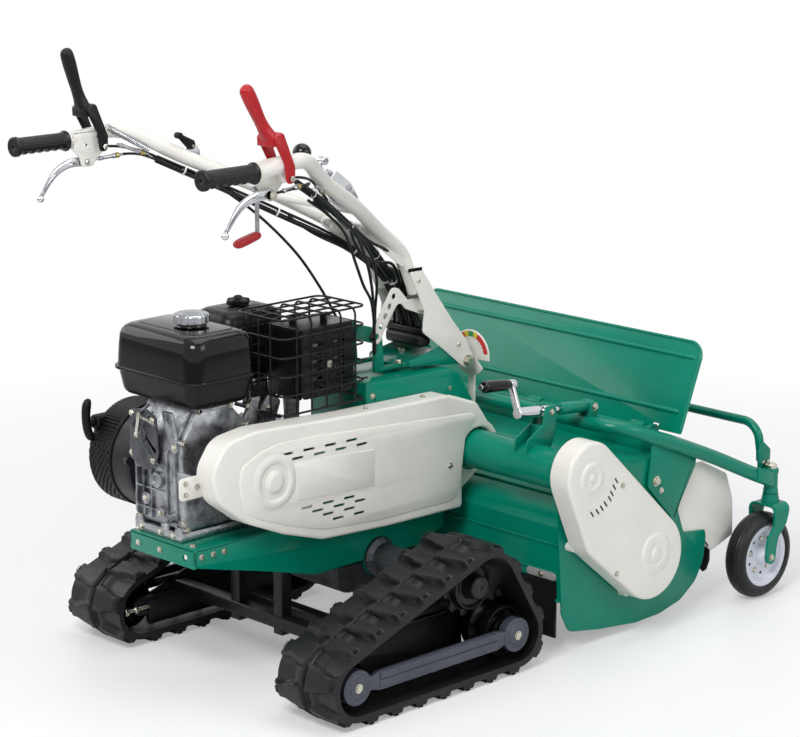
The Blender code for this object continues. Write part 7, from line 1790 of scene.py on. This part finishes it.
def gaugeForms():      # 0 white plate, 1 red, 2 yellow, 3 green, 4 black marks, 5 zinc
    x, z = gaugeLook["centre"]
    fan = np.vstack([arcPoints((x, z), gaugeLook["radius"], -8, 188, 48), [(x - .014, z - .008),
            (x - .01, z - .046), (x + .01, z - .046), (x + .014, z - .008)]])
    forms = plateForm(fan, .669, .672, 1, .0006)
    for start, end, paint in gaugeLook["bands"]:      # coloured arcs on the face towards the driver
        outer = arcPoints((x, z), .0492, end, start, 12)
        inner = arcPoints((x, z), .0375, start, end, 12)
        forms += plateForm(np.vstack([outer, inner]), .66885, .66915, 1, .0001, paint=paint)
    for n, turn in enumerate(range(18, 168, 12)):
        long = .03 if n % 2 else .033
        spot = np.radians(turn)
        way = np.array((math.cos(spot), math.sin(spot)))
        side = np.array((-way[1], way[0])) * .0004
        corners = [(x, z) + way * long - side, (x, z) + way * .0368 - side, (x, z) + way * .0368 + side,
                (x, z) + way * long + side]
        forms += plateForm(np.array(corners), .6688, .66915, 1, .0001, paint=4)
    forms += blockForm((x - .009, .6714, .4255), (x + .009, .675, .525), .0008, .002, 1)
    forms += blockForm((x - .0088, .6433, .425), (x + .0088, .6745, .429), .0008, .001, 1)
    forms += blockForm((x - .0098, .6433, .405), (x + .0098, .6463, .4285), .0008, .001, 1)
    forms += rodForm(.662, .67, .0024, 1, (x, z), 16, 5)
    return forms


def pendulumForms():      # a sector between two arcs
    x, z = gaugeLook["centre"]
    sector = np.vstack([arcPoints((x, z), .044, 218, 326, 24), arcPoints((x, z), .0068, 20, 160, 8)])
    return plateForm(sector, .6666, .66855, 1, .0004, [arcPoints((x, z), .0028, 0, 340, 17)])


bedLook = {"half": .0845, "left": -.112, "rear": -.114, "front": .548, "sheet": .005}


def bedForms():      # 0 green, 1 zinc: folded sheet with rounded folds
    half, left, rear, front, sheet = bedLook.values()
    top = roundedOutline([(left, rear, .004), (half, rear, .004), (half, front, .004), (-half, front, .004),
            (-half, .062), (left, .05, .004)], 4)
    forms = plateForm(top, .295, .3, 2, .0014)
    belly = [(.05, .224, .02), (.19, .186, .03), (.47, .186, .03), (front, .215, .006), (front, .299, .004)]
    window = [arcPoints(sprocketCircle[:2], .0408, 0, 352, 44)]
    right = roundedOutline([(rear, .266, .006)] + belly + [(rear, .299, .004)], 5)
    forms += plateForm(right, half - sheet, half, 0, .0012, window)
    wide = roundedOutline([(rear, .266, .006), (.05, .232, .004), (.05, .299), (rear, .299, .004)], 4)
    forms += plateForm(wide, left, left + sheet, 0, .0012)
    long = roundedOutline([(.048, .224)] + belly[1:] + [(.048, .299)], 5)
    forms += plateForm(long, -half, -half + sheet, 0, .0012, window)
    forms += blockForm((left + .001, .045, .234), (-half + .001, .05, .2985), .001, .002, 1)
    rearWall = roundedOutline([(left, .262, .006), (half, .262, .006), (half, .2995, .004), (left, .2995, .004)], 4)
    forms += plateForm(rearWall, rear, rear + sheet, 1, .0014, bore((.0545, .28), .007))
    forms += blockForm((-half, front - .005, .22), (half, front, .2985), .001, .002, 1)
    for y in (-.098, -.07, -.043, .21, .33):
        forms += boltForm((half, y, .285), 0, 1, .0046, 1)
    forms += boltRow(.3, ((-.1, -.1), (.06, -.098), (-.1, .03), (.06, .1), (.06, .18), (.06, .3)), 2, 1, .0058, 1)
    for x in (-.085, -.02):
        forms += boltForm((x, rear, .28), 1, -1, .0046, 1)
    return forms


columnBaseLook = {"half": .083, "panel": .0012}


def columnBaseForms():      # 0 green, 1 zinc
    half = columnBaseLook["half"]
    outline = roundedOutline([(.328, .546, .006), (.335, .548, .006), (.565, .54, .016), (.588, .528, .016),
            (.643, .44, .016), (.643, .3403, .01), (.546, .3003, .004), (.328, .3003, .004)], 6)
    forms = plateForm(outline, -half, half, 0, .004)
    boss = [(.53, .05, 0), (.544, .05, .001), (.545, .048, .001), (.5515, .048, .001)]
    forms += softTurned(boss, 2, (0, .5), 56)
    for y, z in ((.345, .33), (.345, .52), (.5, .33), (.56, .5)):
        forms += boltForm((half, y, z), 0, 1, .0046, 1)
        forms += boltForm((-half, y, z), 0, -1, .0046, 1)
    seam = roundedOutline([(.352, .32, .004), (.54, .32, .01), (.625, .356, .006), (.625, .434, .012),
            (.575, .514, .012), (.555, .524, .012), (.352, .53, .004)], 6)
    for side in (-1, 1):      # a shallow pressed panel on each side
        forms += plateForm(seam, side * (half - .001), side * (half + columnBaseLook["panel"]), 0, .001)
    return forms


make("frontFlap", flapForms(), "greenPaint", "front_flap", "front_flap", sharp=40)
make("wheelArm", armForms(), "greenPaint zincBolt", "wheel_arm", "wheel_arm", sharp=40)
make("frontGuardBar", guardBarForms(), "greenPaint zincBolt", "wheel_arm", "front_guard_bar", sharp=40)
for side, word in ((-1, "left"), (1, "right")):
    make(word + "CasterFork", forkForms(side), "greenPaint zincBolt", word + "_caster", word
            + "_caster_fork", sharp=40)
    make(word + "CasterRim", rimForms(side), "rimWhite zincBolt darkInside", word + "_caster_wheel", word
            + "_caster_wheel", sharp=35)
    make(word + "CasterTyre", tyreForms(side), "tyreRubber", word + "_caster_wheel", word + "_caster_tyre", sharp=50)
    make(word + "GuardPlate", guardPlateForms(side), "whitePaint", "machine", word + "_guard_plate")
make("frontSkirt", skirtForms(), "rubber frameBlack zincBolt", "machine", "front_rubber_skirt")
make("deckShell", deckForms(), "greenPaint zincBolt brightStrip", "machine", "deck_shell", sharp=35)
make("heightCrank", crankTurned(crankForms(), True), "chrome", "height_crank", "height_crank", sharp=40)
make("crankKnob", crankTurned(knobForms(), True), "glossBlack", "crank_knob", "crank_knob", sharp=40)
make("heightLink", linkForms(), "greenPaint", "height_link", "height_link", sharp=40)
make("slopeGauge", gaugeForms(), "whitePaint dialRed dialYellow dialGreen inkBlack zincBolt", "machine",
        "slope_gauge")
make("slopePendulum", pendulumForms(), "whitePaint", "slope_pendulum", "slope_pendulum")
make("chassisBed", bedForms(), "greenPaint zincBolt", "machine", "chassis_frame", sharp=35)
make("columnBase", columnBaseForms(), "greenPaint zincBolt", "machine", "column_base", sharp=35)
print("deck ready")


# CAD nodes that keep their own shape take these finishes

nodeFinish = {
    "gearbox": "darkCast", "knife_rotor": "darkCast", "crankshaft_pulley": "platedSteel", "jackshaft": "platedSteel",
    "drive_belt": "rubber", "side_belt": "rubber", "rear_rubber_flap": "rubber",
}
for nodeName, finishName in nodeFinish.items():
    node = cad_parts[nodeName]
    node.data.materials.clear()
    node.data.materials.append(finishes[finishName])


# Floor, light and camera

stageLook = {
    "floorColour": (.92, .92, .93, 1.0), "worldLight": .2,
    "lamps": {      # name: place, what it faces, width and height, watts
        "keyLamp": ((1.6, -3.2, 3.6), (0.0, 0.0, .45), (1.8, 1.4), 140.0),
        "sideLamp": ((4.2, 1.0, 2.6), (0.0, 0.0, .5), (2.2, 2.2), 52.0),
        "leftLamp": ((-3.6, -1.8, 2.4), (0.0, 0.0, .5), (2.4, 2.4), 40.0),
        "topLamp": ((.2, .6, 4.2), (0.0, .1, .3), (3.0, 3.0), 62.0),
    },
    "cameraPlace": (3.62, -3.488, 1.73), "cameraHeading": (-.7206, .6934), "cameraPitch": 13.37, "lens": 114.1,
}


def whiteForCamera(nodes, links):      # white straight to the camera, in mirrors and through glass
    path = nodes.new("ShaderNodeLightPath")
    seen = nodes.new("ShaderNodeMath")
    seen.operation = "MAXIMUM"
    links.new(path.outputs["Is Camera Ray"], seen.inputs[0])
    links.new(path.outputs["Is Glossy Ray"], seen.inputs[1])
    either = nodes.new("ShaderNodeMath")
    either.operation = "MAXIMUM"
    links.new(seen.outputs[0], either.inputs[0])
    links.new(path.outputs["Is Transmission Ray"], either.inputs[1])
    return either.outputs[0]


def buildStage():      # floor, room light, lamps and camera
    world = bpy.data.worlds.new("studio")
    bpy.context.scene.world = world
    world.use_nodes = True
    nodes, links = world.node_tree.nodes, world.node_tree.links
    room = nodes["Background"]
    room.inputs["Color"].default_value = (.93, .96, 1.0, 1.0)
    room.inputs["Strength"].default_value = stageLook["worldLight"]
    white = nodes.new("ShaderNodeBackground")
    white.inputs["Color"].default_value = (1.0, 1.0, 1.0, 1.0)
    mix = nodes.new("ShaderNodeMixShader")
    links.new(whiteForCamera(nodes, links), mix.inputs[0])
    links.new(room.outputs[0], mix.inputs[1])
    links.new(white.outputs[0], mix.inputs[2])
    links.new(mix.outputs[0], nodes["World Output"].inputs["Surface"])

    floorMesh = bpy.data.meshes.new("floor")
    floorMesh.from_pydata([(-30, -30, 0), (30, -30, 0), (30, 30, 0), (-30, 30, 0)], [], [(0, 1, 2, 3)])
    floor = bpy.data.objects.new("floor", floorMesh)
    bpy.context.scene.collection.objects.link(floor)
    ground = Finish("floorPaint")
    far = ground.node("ShaderNodeTexCoord", out="Object")
    length = ground.node("ShaderNodeVectorMath", {"operation": "LENGTH"}, {0: far}, 1)
    fade = ground.node("ShaderNodeMapRange", {}, {"Value": length, "From Min": 1.2, "From Max": 5.0})
    ground.put(ground.shader.inputs["Base Color"], ground.blend(fade, stageLook["floorColour"], (.93, .93, .94, 1.0)))
    ground.shader.inputs["Roughness"].default_value = .45
    glow = ground.node("ShaderNodeEmission", {}, {"Color": (1.0, 1.0, 1.0, 1.0), "Strength": 1.0})
    beyond = ground.node("ShaderNodeMapRange", {}, {"Value": length, "From Min": .9, "From Max": 2.4, "To Min": .3})
    path = ground.node("ShaderNodeLightPath", out="Is Camera Ray")
    mixed = ground.nodes.new("ShaderNodeMixShader")
    ground.links.new((beyond * path).socket, mixed.inputs[0])
    ground.links.new(ground.shader.outputs[0], mixed.inputs[1])
    ground.links.new(glow.socket, mixed.inputs[2])
    ground.links.new(mixed.outputs[0], ground.nodes["Material Output"].inputs["Surface"])
    floorMesh.materials.append(ground.material)

    for name, (place, aim, size, watts) in stageLook["lamps"].items():
        lamp = bpy.data.lights.new(name, "AREA")
        lamp.shape = "RECTANGLE"
        lamp.size, lamp.size_y = size
        lamp.energy = watts
        stand = bpy.data.objects.new(name, lamp)
        stand.location = place
        stand.rotation_euler = (Vector(aim) - Vector(place)).to_track_quat("-Z", "Y").to_euler()
        bpy.context.scene.collection.objects.link(stand)

    camera = bpy.data.cameras.new("camera")
    camera.lens = stageLook["lens"]
    camera.sensor_width = 36.0
    holder = bpy.data.objects.new("camera", camera)
    holder.location = stageLook["cameraPlace"]
    headX, headY = stageLook["cameraHeading"]
    drop = math.tan(math.radians(stageLook["cameraPitch"]))
    holder.rotation_euler = Vector((headX, headY, -drop)).to_track_quat("-Z", "Y").to_euler()
    bpy.context.scene.collection.objects.link(holder)
    bpy.context.scene.camera = holder
    bpy.context.scene.view_settings.view_transform = "Standard"


buildStage()
print("stage ready")
